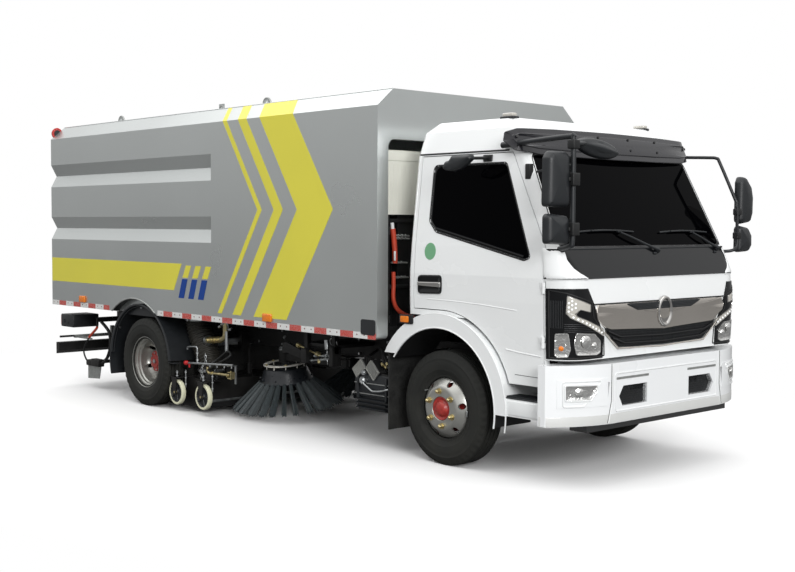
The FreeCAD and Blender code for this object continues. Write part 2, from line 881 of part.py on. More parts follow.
def sweeping_brackets():
    """The post for a broom arm and the guide rod for the nozzle."""
    plate = box("arm_plate", (f"{ARM_PIVOT} - arm_plate_half", f"{ARM_PIVOT} + arm_plate_half"),
                (f"{RAIL_SIDE} - rail_flange", f"{ARM_SIDE} + arm_plate_lap"),
                ("rail_bottom - plate_wall", "rail_bottom"))
    post = rod("arm_post", "z", (ARM_PIVOT, ARM_SIDE, "arm_level - plate_wall"),
               "arm_post_radius", "rail_bottom - arm_level")
    guide = rod("nozzle_guide", "z", (NOZZLE_MIDDLE, GUIDE_SIDE, "nozzle_top + guide_lift"),
                "guide_radius", "rail_bottom - nozzle_top - guide_lift")
    return [plate, post, guide]


def cab_mounts():
    """Posts on a rail that carry the cab's floor and its tunnel."""
    low_floor = "tunnel_level - cab_floor_wall"
    posts = []
    for name, ahead, top in (("rear", "cab_mount_rear", "cab_floor_level - cab_floor_wall"),
                             ("front", "cab_mount_front", low_floor)):
        posts.append(box(f"cab_mount_{name}", (f"{CAB_REAR} + {ahead}",
                                               f"{CAB_REAR} + {ahead} + cab_mount_size"),
                         (f"{RAIL_SIDE} - subframe_width", RAIL_SIDE), (RAIL_TOP, top)))
    return posts


# Leaves in each front and each rear spring.
FRONT_LEAVES = 3
REAR_LEAVES = 4


def make_axles():
    """Front beam with kingpin bosses, rear axle tube with its differential, and the springs."""
    make_front_axle()
    make_rear_axle()
    packs = []
    for axle, length, leaves, name in ((FRONT_AXLE, "front_spring_half", FRONT_LEAVES, "front"),
                                       (REAR_AXLE, "rear_spring_half", REAR_LEAVES, "rear")):
        stack = []
        for leaf in range(leaves):
            half_leaf = f"({length} * {leaves - leaf} / {leaves})"
            stack.append(box(f"{name}_leaf_{leaf}", (f"{axle} - {half_leaf}", f"{axle} + {half_leaf}"),
                             (SPRING_INNER, SPRING_OUTER),
                             (f"{SPRING_TOP} - {leaf + 1} * spring_leaf",
                              f"{SPRING_TOP} - {leaf} * spring_leaf")))
        packs += pair(fuse(f"{name}_spring_left", *stack))
    keep(gather("leaf_springs", *packs), "leaf_springs")


def make_front_axle():
    """The dropped beam between two bored kingpin bosses, with its spring seats."""
    side = "kingpin_spread / 2"
    beam = box("front_beam", (f"{FRONT_AXLE} - beam_half", f"{FRONT_AXLE} + beam_half"),
               (f"kingpin_boss_half - {side}", f"{side} - kingpin_boss_half"),
               ("tyre_radius - kingpin_boss_half", "tyre_radius + beam_half"))
    boss = rod("kingpin_boss", "z", (FRONT_AXLE, side, "tyre_radius - kingpin_boss_half"),
               "kingpin_radius + boss_wall", "2 * kingpin_boss_half")
    neck = box("boss_neck", (f"{FRONT_AXLE} - neck_half", f"{FRONT_AXLE} + neck_half"),
               (f"{side} - kingpin_boss_half - neck_lap", f"{side} - neck_reach"),
               ("tyre_radius - neck_drop", "tyre_radius + beam_half"))
    bore = rod("kingpin_bore", "z", (FRONT_AXLE, side, "tyre_radius - kingpin_boss_half - overcut"),
               "kingpin_radius + pin_gap", "2 * (kingpin_boss_half + overcut)")
    seat = box("front_seat", (f"{FRONT_AXLE} - front_seat_half", f"{FRONT_AXLE} + front_seat_half"),
               (SPRING_INNER, SPRING_OUTER),
               ("tyre_radius + beam_half", f"{SPRING_TOP} - {FRONT_LEAVES} * spring_leaf"))
    rough = fuse("front_axle_rough", beam, *pair(boss), *pair(neck), *pair(seat))
    keep(cut("front_axle", rough, *pair(bore)), "front_axle")


def make_rear_axle():
    """The axle tube and spindles with the differential and the spring seats."""
    hub_middle = "(rear_outer_face - tyre_section / 2 - rear_twin_pitch / 2)"
    tube = rod("rear_tube", "y", (REAR_AXLE, f"-({hub_middle} - rear_tube_short)", "tyre_radius"),
               "axle_radius", f"2 * ({hub_middle} - rear_tube_short)")
    spindle = rod("rear_spindle", "y", (REAR_AXLE, f"-({hub_middle} + spindle_run)", "tyre_radius"),
                  "rear_spindle_radius", f"2 * ({hub_middle} + spindle_run)")
    diff = DOC.addObject("Part::Sphere", "differential")
    bind(diff, "Radius", "diff_radius")
    place(diff, REAR_AXLE, 0, "tyre_radius")
    seat = box("rear_seat", (f"{REAR_AXLE} - rear_seat_half", f"{REAR_AXLE} + rear_seat_half"),
               (SPRING_INNER, SPRING_OUTER),
               ("tyre_radius", f"{SPRING_TOP} - {REAR_LEAVES} * spring_leaf"))
    keep(fuse("rear_axle", tube, spindle, diff, *pair(seat)), "rear_axle")


# A tyre's section from bead to tread: radius, then half width as a share of the section.
TYRE_STATIONS = (
    ("bead_radius", 0.36),
    ("flange_radius + 2", 0.36),
    ("flange_radius + 8", 0.40),
    ("flange_radius + 52", 0.49),
    ("flange_radius + 95", 0.5),
    ("tyre_radius - 34", 0.47),
    ("tyre_radius - 10", 0.41),
    ("tyre_radius", 0.34),
)


def tyre_profile():
    """A tyre's section as (radius, along) pairs, closed across the bead."""
    inner = [(radius, f"-tyre_section * {share}") for radius, share in TYRE_STATIONS]
    outer = [(radius, f"tyre_section * {share}") for radius, share in reversed(TYRE_STATIONS)]
    return inner + outer


def rim_profile(face, joint):
    """A rim's section as (radius, along) pairs.

    The hub face stands at "face" from the wheel's middle and the disc leaves the barrel at
    "joint"; both are measured towards the outside of a left-hand wheel, +Y.
    """
    lip = "(tyre_section * 0.36 + flange_wall)"
    well = "bead_radius - rim_wall"
    dish = "bead_radius * 0.7"
    return [
        ("hub_radius", face),
        (dish, face),
        (well, joint),
        (well, lip),
        ("flange_radius", lip),
        ("flange_radius", f"{lip} - flange_wall"),
        ("bead_radius", f"{lip} - flange_wall"),
        ("bead_radius", f"flange_wall - {lip}"),
        ("flange_radius", f"flange_wall - {lip}"),
        ("flange_radius", f"-{lip}"),
        (well, f"-{lip}"),
        (well, f"({joint}) - disc_wall"),
        (dish, f"({face}) - disc_wall"),
        ("hub_radius", f"({face}) - disc_wall"),
    ]


def hub_profile(bore, inner, outer, end):
    """A hub's section: a drum on its spindle, closed by a cap at the outside."""
    return [
        ("0", f"({end}) - hub_cap_wall"),
        (bore, f"({end}) - hub_cap_wall"),
        (bore, inner),
        ("hub_radius", inner),
        ("hub_radius", outer),
        ("hub_radius - hub_cap_bevel", end),
        ("0", end),
    ]


def make_wheels():
    """Single front wheels and twin rear wheels, each a tyre and its rim with the hub."""
    front = (FRONT_AXLE, "front_track / 2", "tyre_radius")
    tyre = turned("tyre_front_left", tyre_profile(), front)
    rim = fuse("rim_front_left",
               turned("rim_front_disc", rim_profile("front_disc_face", "disc_joint"), front),
               turned("rim_front_hub", hub_profile("stub_radius + pin_gap", "-front_hub_inner",
                                                   "front_disc_face + front_hub_lip",
                                                   "front_hub_end"), front))
    keep_both(tyre, "tyre_front")
    keep_both(rim, "rim_front")

    outer_at = "rear_outer_face - tyre_section / 2"
    tyres = []
    discs = []
    for name, at, face, joint in (
            ("outer", outer_at, "disc_wall - rear_twin_pitch / 2", "disc_wall - disc_joint"),
            ("inner", f"{outer_at} - rear_twin_pitch", "rear_twin_pitch / 2", "disc_joint")):
        centre = (REAR_AXLE, at, "tyre_radius")
        tyres.append(turned(f"tyre_rear_{name}", tyre_profile(), centre))
        discs.append(turned(f"rim_rear_{name}", rim_profile(face, joint), centre))
    hub_at = (REAR_AXLE, f"{outer_at} - rear_twin_pitch / 2", "tyre_radius")
    discs.append(turned("rim_rear_hub", hub_profile("rear_spindle_radius + pin_gap",
                                                    "-rear_hub_inner", "rear_hub_outer",
                                                    "rear_hub_end"), hub_at))
    keep_both(gather("tyres_rear_left", *tyres), "tyres_rear")
    keep_both(fuse("rims_rear_left", *discs), "rims_rear")


def keep_both(left, stem):
    """Keeps a left-hand piece and its mirrored twin as two sub-parts."""
    keep(left, f"{stem}_left")
    keep(mirrored(f"{stem}_right", left), f"{stem}_right")


def make_knuckles():
    """Steering knuckles: a kingpin between two ears and the stub axle of the wheel."""
    side = "kingpin_spread / 2"
    low = "tyre_radius - kingpin_reach"
    high = "tyre_radius + kingpin_reach"
    pieces = [rod("kingpin", "z", (FRONT_AXLE, side, low), "kingpin_radius",
                  "2 * kingpin_reach")]
    for name, bottom in (("upper", f"{high} - ear_wall"), ("lower", low)):
        pieces.append(box(f"knuckle_ear_{name}",
                          (f"{FRONT_AXLE} - hanger_half", f"{FRONT_AXLE} + hanger_half"),
                          (f"{side} - knuckle_ear_in", f"{side} + knuckle_ear_out"),
                          (bottom, f"{bottom} + ear_wall")))
    pieces.append(box("knuckle_web",
                      (f"{FRONT_AXLE} - knuckle_web_half", f"{FRONT_AXLE} + knuckle_web_half"),
                      (f"{side} + knuckle_web_in", f"{side} + knuckle_web_out"), (low, high)))
    pieces.append(rod("stub_axle", "y", (FRONT_AXLE, f"{side} + stub_start", "tyre_radius"),
                      "stub_radius", f"front_track / 2 + stub_past_wheel - {side} - stub_start"))
    keep_both(fuse("knuckle_left", *pieces), "knuckle")


# ---------------------------------------------------------------- hopper body

def section(half, top, bottom, drop, run):
    """A chamfered box section seen along X, from the lower right corner round to the left."""
    return [
        (f"-({half})", bottom),
        (f"-({half})", f"{top} - ({drop})"),
        (f"{run} - ({half})", top),
        (f"{half} - ({run})", top),
        (half, f"{top} - ({drop})"),
        (half, bottom),
    ]


def make_hopper():
    """The sweeper's body: a chamfered box with a tank behind and an open bay in front."""
    outer = slab("body_block", "YZ_Plane",
                 section(BODY_HALF, "body_roof_level", "body_floor_level", "body_chamfer_drop",
                         "body_chamfer_run"), TAIL, "body_length")
    shell = cut("body_shell", outer, *hopper_spaces(), *hopper_grooves(), *hopper_openings())
    keep(fuse("hopper_body", shell, *tipping_lugs(), *lifting_eyes()), "hopper_body")
    make_beacons()


def hopper_spaces():
    """The tank, the equipment bay and the bay's open front."""
    inner = (INNER_HALF, INNER_TOP)
    slopes = ("inner_chamfer_drop", "inner_chamfer_run")
    tank = slab("tank_space", "YZ_Plane",
                section(*inner, "body_floor_level + body_floor_wall", *slopes),
                f"{TAIL} - overcut", "tank_length + overcut")
    bay = slab("bay_space", "YZ_Plane", section(*inner, "body_floor_level - overcut", *slopes),
               f"{TAIL} + tank_length + bulkhead", "body_length - tank_length - 2 * bulkhead")
    mouth = slab("bay_mouth", "YZ_Plane", [
        (f"-{INNER_HALF}", "body_floor_level - overcut"),
        (f"-{INNER_HALF}", "body_roof_level - bay_lintel"),
        (INNER_HALF, "body_roof_level - bay_lintel"),
        (INNER_HALF, "body_floor_level - overcut"),
    ], f"{BODY_FRONT} - bulkhead - overcut", "bulkhead + 2 * overcut",
       rounds=((1, "bay_corner"), (2, "bay_corner")))
    return [tank, bay, mouth]


def hopper_grooves():
    """Two V-shaped stiffening grooves along the rear of each side."""
    grooves = []
    for name, level in (("upper", "upper_groove_level"), ("lower", "lower_groove_level")):
        grooves += pair(slab(f"{name}_groove", "YZ_Plane", [
            (f"{BODY_HALF} + groove_overcut", f"{level} + groove_height / 2"),
            (f"{BODY_HALF} + groove_overcut", f"{level} - groove_height / 2"),
            (f"{BODY_HALF} - groove_depth", level),
        ], f"{TAIL} - overcut", "groove_length + overcut"))
    return grooves


def hopper_openings():
    """Wheel arch pockets, the suction inlet, the door pin's bore and the rounded front corner."""
    arch = rod("arch", "y", (f"{REAR_AXLE} - arch_shift", f"{BODY_HALF} - arch_depth",
                             "arch_level"), "arch_radius", "arch_depth + overcut")
    inlet = rod("suction_inlet", "z", (HOSE_TOP, "-hose_side", "body_floor_level - overcut"),
                "hose_radius - nozzle_wall", "body_floor_wall + 2 * overcut")
    reach = f"({INNER_HALF} + door_pin_seat + pin_end_gap)"
    bore = rod("door_hinge_bore", "y", (DOOR_HINGE_X, f"-{reach}", DOOR_HINGE_Z),
               "door_pin_radius + pin_gap", f"2 * {reach}")
    across = (f"-{BODY_HALF} - overcut", f"{BODY_HALF} + overcut")
    corner = box("front_corner", (f"{BODY_FRONT} - body_corner", f"{BODY_FRONT} + overcut"), across,
                 ("body_floor_level - overcut", "body_floor_level + body_corner"))
    curve = rod("front_corner_curve", "y",
                (f"{BODY_FRONT} - body_corner", f"-{BODY_HALF} - overcut",
                 "body_floor_level + body_corner"), "body_corner",
                f"2 * ({BODY_HALF} + overcut)")
    return pair(arch) + [inlet, bore, cut("front_corner_round", corner, curve)]


def tipping_lugs():
    """Lugs that hang the body on the chassis pin, and cheeks for the cylinders' rod eyes."""
    foot = "body_floor_level + lug_sunk"
    lug = slab("tip_lug", "XZ_Plane", [
        (f"{TIP_X} - lug_half", foot),
        (f"{TIP_X} + lug_reach", foot),
        (f"{TIP_X} + lug_half", "tip_pivot_level - lug_half"),
        (f"{TIP_X} - lug_half", "tip_pivot_level - lug_half"),
    ], f"{RAIL_SIDE} + moving_gap", "lug_wall", rounds=((3, "lug_half - lug_round_left"),))
    bore = rod("tip_lug_bore", "y", (TIP_X, RAIL_SIDE, "tip_pivot_level"),
               "tip_pin_radius + pin_gap", "2 * lug_wall")
    lugs = pair(cut("tip_lug_bored", lug, bore))
    middle = "cylinder_spread / 2"
    clear = "eye_half + ear_gap"
    for name, low in (("inner", f"{middle} - ({clear}) - bracket_wall"),
                      ("outer", f"{middle} + {clear}")):
        cheek = box(f"eye_cheek_{name}", (f"{ROD_EYE} - cheek_half", f"{ROD_EYE} + cheek_half"),
                    (low, f"{low} + bracket_wall"), ("rod_eye_level - cheek_drop", foot))
        hole = rod(f"eye_hole_{name}", "y", (ROD_EYE, f"{low} - overcut", "rod_eye_level"),
                   "cylinder_pin_radius", "bracket_wall + 2 * overcut")
        lugs += pair(cut(f"eye_cheek_{name}_bored", cheek, hole))
    return lugs


# Where the lifting eyes stand, as shares of the body's length from its rear.
LIFT_SHARES = (0.21, 0.55, 0.68)


def lifting_eyes():
    """Bored plates along both edges of the roof."""
    eyes = []
    for index, share in enumerate(LIFT_SHARES):
        at = f"{TAIL} + body_length * {share}"
        plate = box(f"lift_plate_{index}", (f"{at} - lift_half", f"{at} + lift_half"),
                    (LIFT_SIDE, f"{LIFT_SIDE} + lift_plate_wall"),
                    ("body_roof_level - lift_sunk", "body_roof_level + lift_rise + lift_head"))
        hole = rod(f"lift_hole_{index}", "y",
                   (at, f"{LIFT_SIDE} - overcut", "body_roof_level + lift_rise"),
                   "lift_bore_radius", "lift_plate_wall + 2 * overcut")
        eyes += pair(cut(f"lift_eye_{index}", plate, hole))
    return eyes


def make_beacons():
    """Warning lamps on the rear face: a flat base and a domed lens at each chamfered corner."""
    at = (TAIL, f"{BODY_HALF} - body_chamfer_run / 2", "body_roof_level - body_chamfer_drop / 2")
    base = rod("beacon_base", "x", (f"{TAIL} - beacon_reach / 4", at[1], at[2]),
               "beacon_radius", "beacon_reach / 4")
    dome = DOC.addObject("Part::Sphere", "beacon_dome")
    bind(dome, "Radius", "beacon_reach")
    place(dome, f"{TAIL} - beacon_lap", at[1], at[2])
    rear = box("beacon_trim", (f"{TAIL} - 2 * beacon_reach", TAIL),
               (f"{at[1]} - 2 * beacon_reach", f"{at[1]} + 2 * beacon_reach"),
               (f"{at[2]} - 2 * beacon_reach", f"{at[2]} + 2 * beacon_reach"))
    lens = DOC.addObject("Part::Common", "beacon_lens")
    lens.Base = dome
    lens.Tool = rear
    keep(gather("rear_beacons", *pair(fuse("beacon", base, lens))), "rear_beacons")


def make_rear_door():
    """The rear door, set in between the side walls and hung from a pin at its top."""
    leaf_rear = f"({TAIL} + door_inset)"
    door = slab("door_leaf", "YZ_Plane",
                section(f"{INNER_HALF} - moving_gap", f"({INNER_TOP} - door_top_gap)",
                        "body_floor_level + body_floor_wall + moving_gap",
                        "inner_chamfer_drop", "inner_chamfer_run"),
                leaf_rear, "door_thickness")
    pin = rod("door_pin", "y", (DOOR_HINGE_X, f"-({INNER_HALF} + door_pin_seat)", DOOR_HINGE_Z),
              "door_pin_radius", f"2 * ({INNER_HALF} + door_pin_seat)")
    straps = []
    for index, inset in enumerate(("strap_inner_in", "strap_outer_in")):
        side = f"{INNER_HALF} - {inset}"
        straps += pair(box(f"door_strap_{index}", (f"{DOOR_HINGE_X} - door_pin_radius", leaf_rear),
                           (side, f"{side} + lug_wall"),
                           (f"{DOOR_HINGE_Z} - door_pin_radius",
                            f"{DOOR_HINGE_Z} + door_pin_radius")))
    keep(fuse("rear_door", door, pin, *straps), "rear_door")


def make_cylinders():
    """A pair of tipping cylinders: barrels on the chassis, rods that reach the body's cheeks."""
    foot = FreeCAD.Vector(number(BARREL_FOOT), 0, number("barrel_foot_level"))
    eye = FreeCAD.Vector(number(ROD_EYE), 0, number("rod_eye_level"))
    line = eye - foot
    reach = line.Length
    line.normalize()
    across = FreeCAD.Vector(0, 1, 0)
    width = 2 * number("eye_half")
    rod_radius = number("rod_radius")
    pin_radius = number("cylinder_pin_radius")
    slack = number("pin_gap")
    spare = number("overcut")
    barrel_start = number("barrel_start")
    barrel_end = number("barrel_end")
    rod_start = number("rod_start")

    def cross_ring(centre, radius, overhang=0.0):
        """A cylinder across the vehicle, centred on a pin."""
        return Part.makeCylinder(radius, width + 2 * overhang,
                                 centre - across * (width / 2 + overhang), across)

    barrels = []
    rods = []
    for sign in (1, -1):
        start = foot + across * (sign * number("cylinder_spread") / 2)
        tube = Part.makeCylinder(number("barrel_radius"), barrel_end - barrel_start,
                                 start + line * barrel_start, line)
        neck = Part.makeCylinder(number("neck_radius"), barrel_start + spare, start, line)
        bore = Part.makeCylinder(rod_radius + slack, barrel_end - rod_start + 3 * spare,
                                 start + line * (rod_start - spare), line)
        barrel = tube.fuse([cross_ring(start, number("eye_radius")), neck])
        barrels.append(barrel.cut([bore, cross_ring(start, pin_radius + slack, spare)]))
        tip = start + line * reach
        ram = Part.makeCylinder(rod_radius, reach - rod_start - pin_radius,
                                start + line * rod_start, line)
        rods.append(ram.fuse(cross_ring(tip, number("eye_radius")))
                    .cut(cross_ring(tip, pin_radius, spare)))
    keep(shaped("tip_barrels", Part.makeCompound(barrels)), "tip_barrels")
    keep(shaped("tip_rods", Part.makeCompound(rods)), "tip_rods")


# ---------------------------------------------------------------- sweeping gear

def leaning(label, length, radius, upwards):
    """A cylinder along a left-hand broom's leaning axis, up or down from the top of its hub."""
    lean = number("broom_tilt")
    item = DOC.addObject("Part::Cylinder", label)
    turn = -lean if upwards else 180 - lean
    item.Placement = FreeCAD.Placement(FreeCAD.Vector(),
                                       FreeCAD.Rotation(FreeCAD.Vector(1, 0, 0), turn))
    bind(item, "Radius", radius)
    bind(item, "Height", length)
    place(item, BROOM_X, BROOM_SIDE, "broom_top_level")
    return item


def make_brooms():
    """Gutter brooms that lean outwards, on arms that swing out from posts under the rails."""
    pivot = rod("arm_boss", "z", (ARM_PIVOT, ARM_SIDE, "arm_level"),
                "arm_post_radius + arm_boss_wall", "arm_depth")
    beam = slab("arm_beam", "XY_Plane", [
        (ARM_PIVOT, f"{ARM_SIDE} - arm_half_at_pivot"),
        (ARM_PIVOT, f"{ARM_SIDE} + arm_half_at_pivot"),
        (BROOM_X, f"{BROOM_SIDE} + arm_half_at_broom"),
        (BROOM_X, f"{BROOM_SIDE} - arm_half_at_broom"),
    ], "arm_level", "arm_depth")
    motor = leaning("broom_motor", "arm_level + arm_depth + motor_rise - broom_top_level",
                    "motor_radius", True)
    motor_gap = leaning("broom_motor_gap", "moving_gap + motor_lift", "motor_room_radius", True)
    shaft = leaning("broom_shaft", "broom_root_drop - shaft_short", "broom_shaft_radius", False)
    stub = leaning("broom_stub", "arm_level - broom_top_level + stub_lap", "broom_shaft_radius",
                   True)
    bore = rod("arm_bore", "z", (ARM_PIVOT, ARM_SIDE, "arm_level - overcut"),
               "arm_post_radius + pin_gap", "arm_depth + 2 * overcut")
    body = cut("broom_arm_body", fuse("broom_arm_rough", pivot, beam, motor), bore, motor_gap)
    keep_both(fuse("broom_arm_left", body, shaft, stub), "broom_arm")

    bore_radius = "broom_shaft_radius + pin_gap"
    broom = turned("broom_left", [
        (bore_radius, "-broom_root_drop"),
        ("broom_hub_radius - root_ring", "-broom_root_drop"),
        ("broom_radius - tip_ring", "-broom_tip_drop"),
        ("broom_radius", "-broom_tip_drop"),
        ("broom_hub_radius + hub_skirt", "-broom_root_drop"),
        ("broom_hub_radius + hub_skirt", "hub_hood_rise - broom_root_drop"),
        ("hub_neck_radius", "hub_hood_top - broom_root_drop"),
        ("hub_neck_radius", "-hub_plate"),
        ("broom_hub_radius", "-hub_plate"),
        ("broom_hub_radius", "0"),
        (bore_radius, "0"),
    ], (BROOM_X, BROOM_SIDE, "broom_top_level"), axis="z", lean="broom_tilt")
    keep_both(broom, "broom")


def make_nozzle():
    """The suction nozzle: a low hood across the vehicle, open beneath, on four small wheels."""
    hood = box("nozzle_hood", (NOZZLE_REAR, NOZZLE_FRONT),
               ("-nozzle_half_width", "nozzle_half_width"), ("nozzle_bottom", "nozzle_top"))
    hollow = box("nozzle_hollow", (f"{NOZZLE_REAR} + nozzle_wall", f"{NOZZLE_FRONT} - nozzle_wall"),
                 ("nozzle_wall - nozzle_half_width", "nozzle_half_width - nozzle_wall"),
                 ("nozzle_bottom - overcut", "nozzle_top - nozzle_wall"))
    spigot = rod("nozzle_spigot", "z", (HOSE_FOOT, "-hose_side", "nozzle_top - spigot_sunk"),
                 "hose_radius + spigot_wall", "spigot_height")
    throat = rod("nozzle_throat", "z", (HOSE_FOOT, "-hose_side", "nozzle_top - throat_sunk"),
                 "hose_radius", "throat_height")
    sleeve = rod("guide_sleeve", "z", (NOZZLE_MIDDLE, GUIDE_SIDE, "nozzle_top - sleeve_sunk"),
                 "guide_radius + sleeve_wall", "sleeve_height")
    sleeve_bore = rod("guide_sleeve_bore", "z",
                      (NOZZLE_MIDDLE, GUIDE_SIDE, "nozzle_top + sleeve_bore_sunk"),
                      "guide_radius + pin_gap", "sleeve_height + 2 * sleeve_bore_sunk")
    pieces = [hood, spigot] + pair(sleeve)
    for name, ahead in (("rear", "caster_rear_ahead"), ("front", "caster_front_ahead")):
        pieces += caster_fork(name, f"({REAR_AXLE} + {ahead})")
    pieces += pair(box("fork_reach", (f"{NOZZLE_FRONT} - fork_lap",
                                      f"{REAR_AXLE} + caster_front_ahead - fork_reach_short"),
                       ("nozzle_half_width - fork_lap", "nozzle_half_width + fork_lap"),
                       ("nozzle_top", "nozzle_top + fork_plate")))
    tools = [hollow, throat] + pair(sleeve_bore)
    keep(cut("suction_nozzle", fuse("nozzle_rough", *pieces), *tools), "suction_nozzle")

    for name, ahead in (("rear", "caster_rear_ahead"), ("front", "caster_front_ahead")):
        wheel = turned(f"caster_{name}_left", [
            ("caster_pin_radius + pin_gap", "-caster_width / 2"),
            ("caster_radius - caster_bevel", "-caster_width / 2"),
            ("caster_radius", "-caster_width / 4"),
            ("caster_radius", "caster_width / 4"),
            ("caster_radius - caster_bevel", "caster_width / 2"),
            ("caster_pin_radius + pin_gap", "caster_width / 2"),
        ], (f"{REAR_AXLE} + {ahead}", "caster_side", "caster_level"))
        keep_both(wheel, f"caster_{name}")


def caster_fork(name, at):
    """A pair of forks with a top plate, two legs and the wheel's pin."""
    inner = "caster_side - caster_width / 2 - fork_wall - moving_gap"
    outer = "caster_side + caster_width / 2 + moving_gap"
    pieces = pair(box(f"fork_top_{name}", (f"{at} - fork_rear", f"{at} + fork_front"),
                      ("nozzle_half_width - fork_lap", f"{outer} + fork_wall + fork_rim"),
                      ("nozzle_top", "nozzle_top + fork_plate")))
    for leg, low in (("inner", inner), ("outer", outer)):
        pieces += pair(slab(f"fork_{name}_{leg}", "XZ_Plane", [
            (f"{at} - fork_rear", "nozzle_top + fork_sunk"),
            (f"{at} + fork_front", "nozzle_top + fork_sunk"),
            (f"{at} + fork_toe", "caster_level - fork_toe"),
            (f"{at} - fork_toe", "caster_level - fork_toe"),
        ], low, "fork_wall"))
    pin = rod(f"caster_pin_{name}", "y", (at, inner, "caster_level"), "caster_pin_radius",
              "caster_width + 2 * (fork_wall + moving_gap)")
    return pieces + pair(pin)


def make_hose():
    """The suction hose from the tank's inlet down to the nozzle, with its collar and bracket."""
    side = -number("hose_side")
    radius = number("hose_radius")
    top = number(HOSE_TOP)
    foot = number(HOSE_FOOT)
    high = number("body_floor_level - hose_gap")
    low = number("nozzle_top + hose_seat + hose_gap")
    bends = [(top, high), (top, high - number("hose_top_run")),
             (foot, low + number("hose_foot_run")), (foot, low)]
    path = bent_path([FreeCAD.Vector(x, side, z) for x, z in bends], number("hose_bend"))
    ring = Part.Wire(Part.makeCircle(radius, path.Vertexes[0].Point, FreeCAD.Vector(0, 0, 1)))
    pipe = path.makePipeShell([ring], True, False)
    height = number("collar_height")
    collar = Part.makeCylinder(radius + number("collar_wall"), height,
                               FreeCAD.Vector(top, side, high - height))
    half = number("hose_bracket_half")
    bracket = block((top - half, top + half), (side, -number(RAIL_SIDE)),
                    (high - number("hose_bracket_low"), high - number("hose_bracket_high")))
    keep(shaped("suction_hose", pipe.fuse([collar, bracket]).removeSplitter()), "suction_hose")


def bent_path(points, radius):
    """Straight runs joined by tangent arcs of one radius."""
    edges = []
    start = points[0]
    for before, corner, after in zip(points, points[1:], points[2:]):
        back = (before - corner).normalize()
        ahead = (after - corner).normalize()
        half = back.getAngle(ahead) / 2
        run = radius / math.tan(half)
        enter = corner + back * run
        leave = corner + ahead * run
        middle = corner + (back + ahead).normalize() * (radius / math.sin(half) - radius)
        edges.append(Part.makeLine(start, enter))
        edges.append(Part.Arc(enter, middle, leave).toShape())
        start = leave
    edges.append(Part.makeLine(start, points[-1]))
    return Part.Wire(edges)


# ---------------------------------------------------------------- cab

# The cab's outer form: level, set-back of the nose, half width, corner radius and set-back of
# the rear face at each station from the sill to the roof.
CAB_STATIONS = (
    (640, 65, 975, 190, 0),
    (830, 65, 975, 190, 0),
    (1180, 55, 985, 190, 0),
    (1345, 75, 985, 170, 0),
    (1540, 195, 970, 75, 0),
    (2170, 505, 900, 60, 0),
    (2340, 620, 850, 60, 20),
    (2410, 740, 770, 60, 80),
)
REAR_CORNER = 50
FAR = 1300.0


def cab_ring(station, inset):
    """One level of the cab as a rounded rectangle, drawn in by an inset."""
    level, nose_back, half, corner, rear_back = station
    front = number(NOSE) - nose_back - inset
    rear = number(CAB_REAR) + rear_back + inset
    side = half - inset
    big = max(corner - inset, 5)
    small = max(REAR_CORNER - inset, 5)
    turn = math.sqrt(0.5)
    spots = []
    for x_end, y_end, radius, x_sign, y_sign in (
            (front, -side, big, 1, -1), (front, side, big, 1, 1),
            (rear, side, small, -1, 1), (rear, -side, small, -1, -1)):
        centre = FreeCAD.Vector(x_end - x_sign * radius, y_end - y_sign * radius, level)
        on_x = FreeCAD.Vector(x_end, centre.y, level)
        on_y = FreeCAD.Vector(centre.x, y_end, level)
        middle = centre + FreeCAD.Vector(x_sign, y_sign, 0) * (radius * turn)
        first, last = (on_y, on_x) if x_sign * y_sign < 0 else (on_x, on_y)
        spots.append((first, middle, last))
    edges = []
    for index, (first, middle, last) in enumerate(spots):
        edges.append(Part.Arc(first, middle, last).toShape())
        edges.append(Part.makeLine(last, spots[(index + 1) % len(spots)][0]))
    return Part.Wire(edges)


def cab_form(inset=0.0):
    """The cab's whole form as a ruled loft through its stations."""
    return Part.makeLoft([cab_ring(station, inset) for station in CAB_STATIONS], True, True)


def cab_layer(outside, inside):
    """A layer that follows the cab's form, between two insets."""
    return cab_form(outside).cut(cab_form(inside))


def side_prism(points, near, far, grow=0.0):
    """An (x, z) outline run along Y between two distances from the middle, on the left."""
    wire = Part.makePolygon([FreeCAD.Vector(x, 0, z) for x, z in points + points[:1]])
    face = Part.Face(wire)
    if grow:
        face = face.makeOffset2D(grow)
    face.translate(FreeCAD.Vector(0, near, 0))
    return face.extrude(FreeCAD.Vector(0, far - near, 0))


def front_prism(points, rear, front):
    """A (y, z) outline run along X between two stations."""
    wire = Part.makePolygon([FreeCAD.Vector(0, y, z) for y, z in points + points[:1]])
    face = Part.Face(wire)
    face.translate(FreeCAD.Vector(rear, 0, 0))
    return face.extrude(FreeCAD.Vector(front - rear, 0, 0))


def block(x_span, y_span, z_span):
    """A plain block between two values along each axis."""
    return Part.makeBox(x_span[1] - x_span[0], y_span[1] - y_span[0], z_span[1] - z_span[0],
                        FreeCAD.Vector(x_span[0], y_span[0], z_span[0]))


def both_sides(points):
    """A (y, z) outline on the left and its twin on the right."""
    return [points, [(-y, z) for y, z in points]]


def flipped(shape):
    """The shape mirrored across the vehicle's middle."""
    return shape.mirror(FreeCAD.Vector(0, 0, 0), FreeCAD.Vector(0, 1, 0))


def largest(shape):
    """The largest solid of a result."""
    return max(shape.Solids, key=lambda solid: solid.Volume)


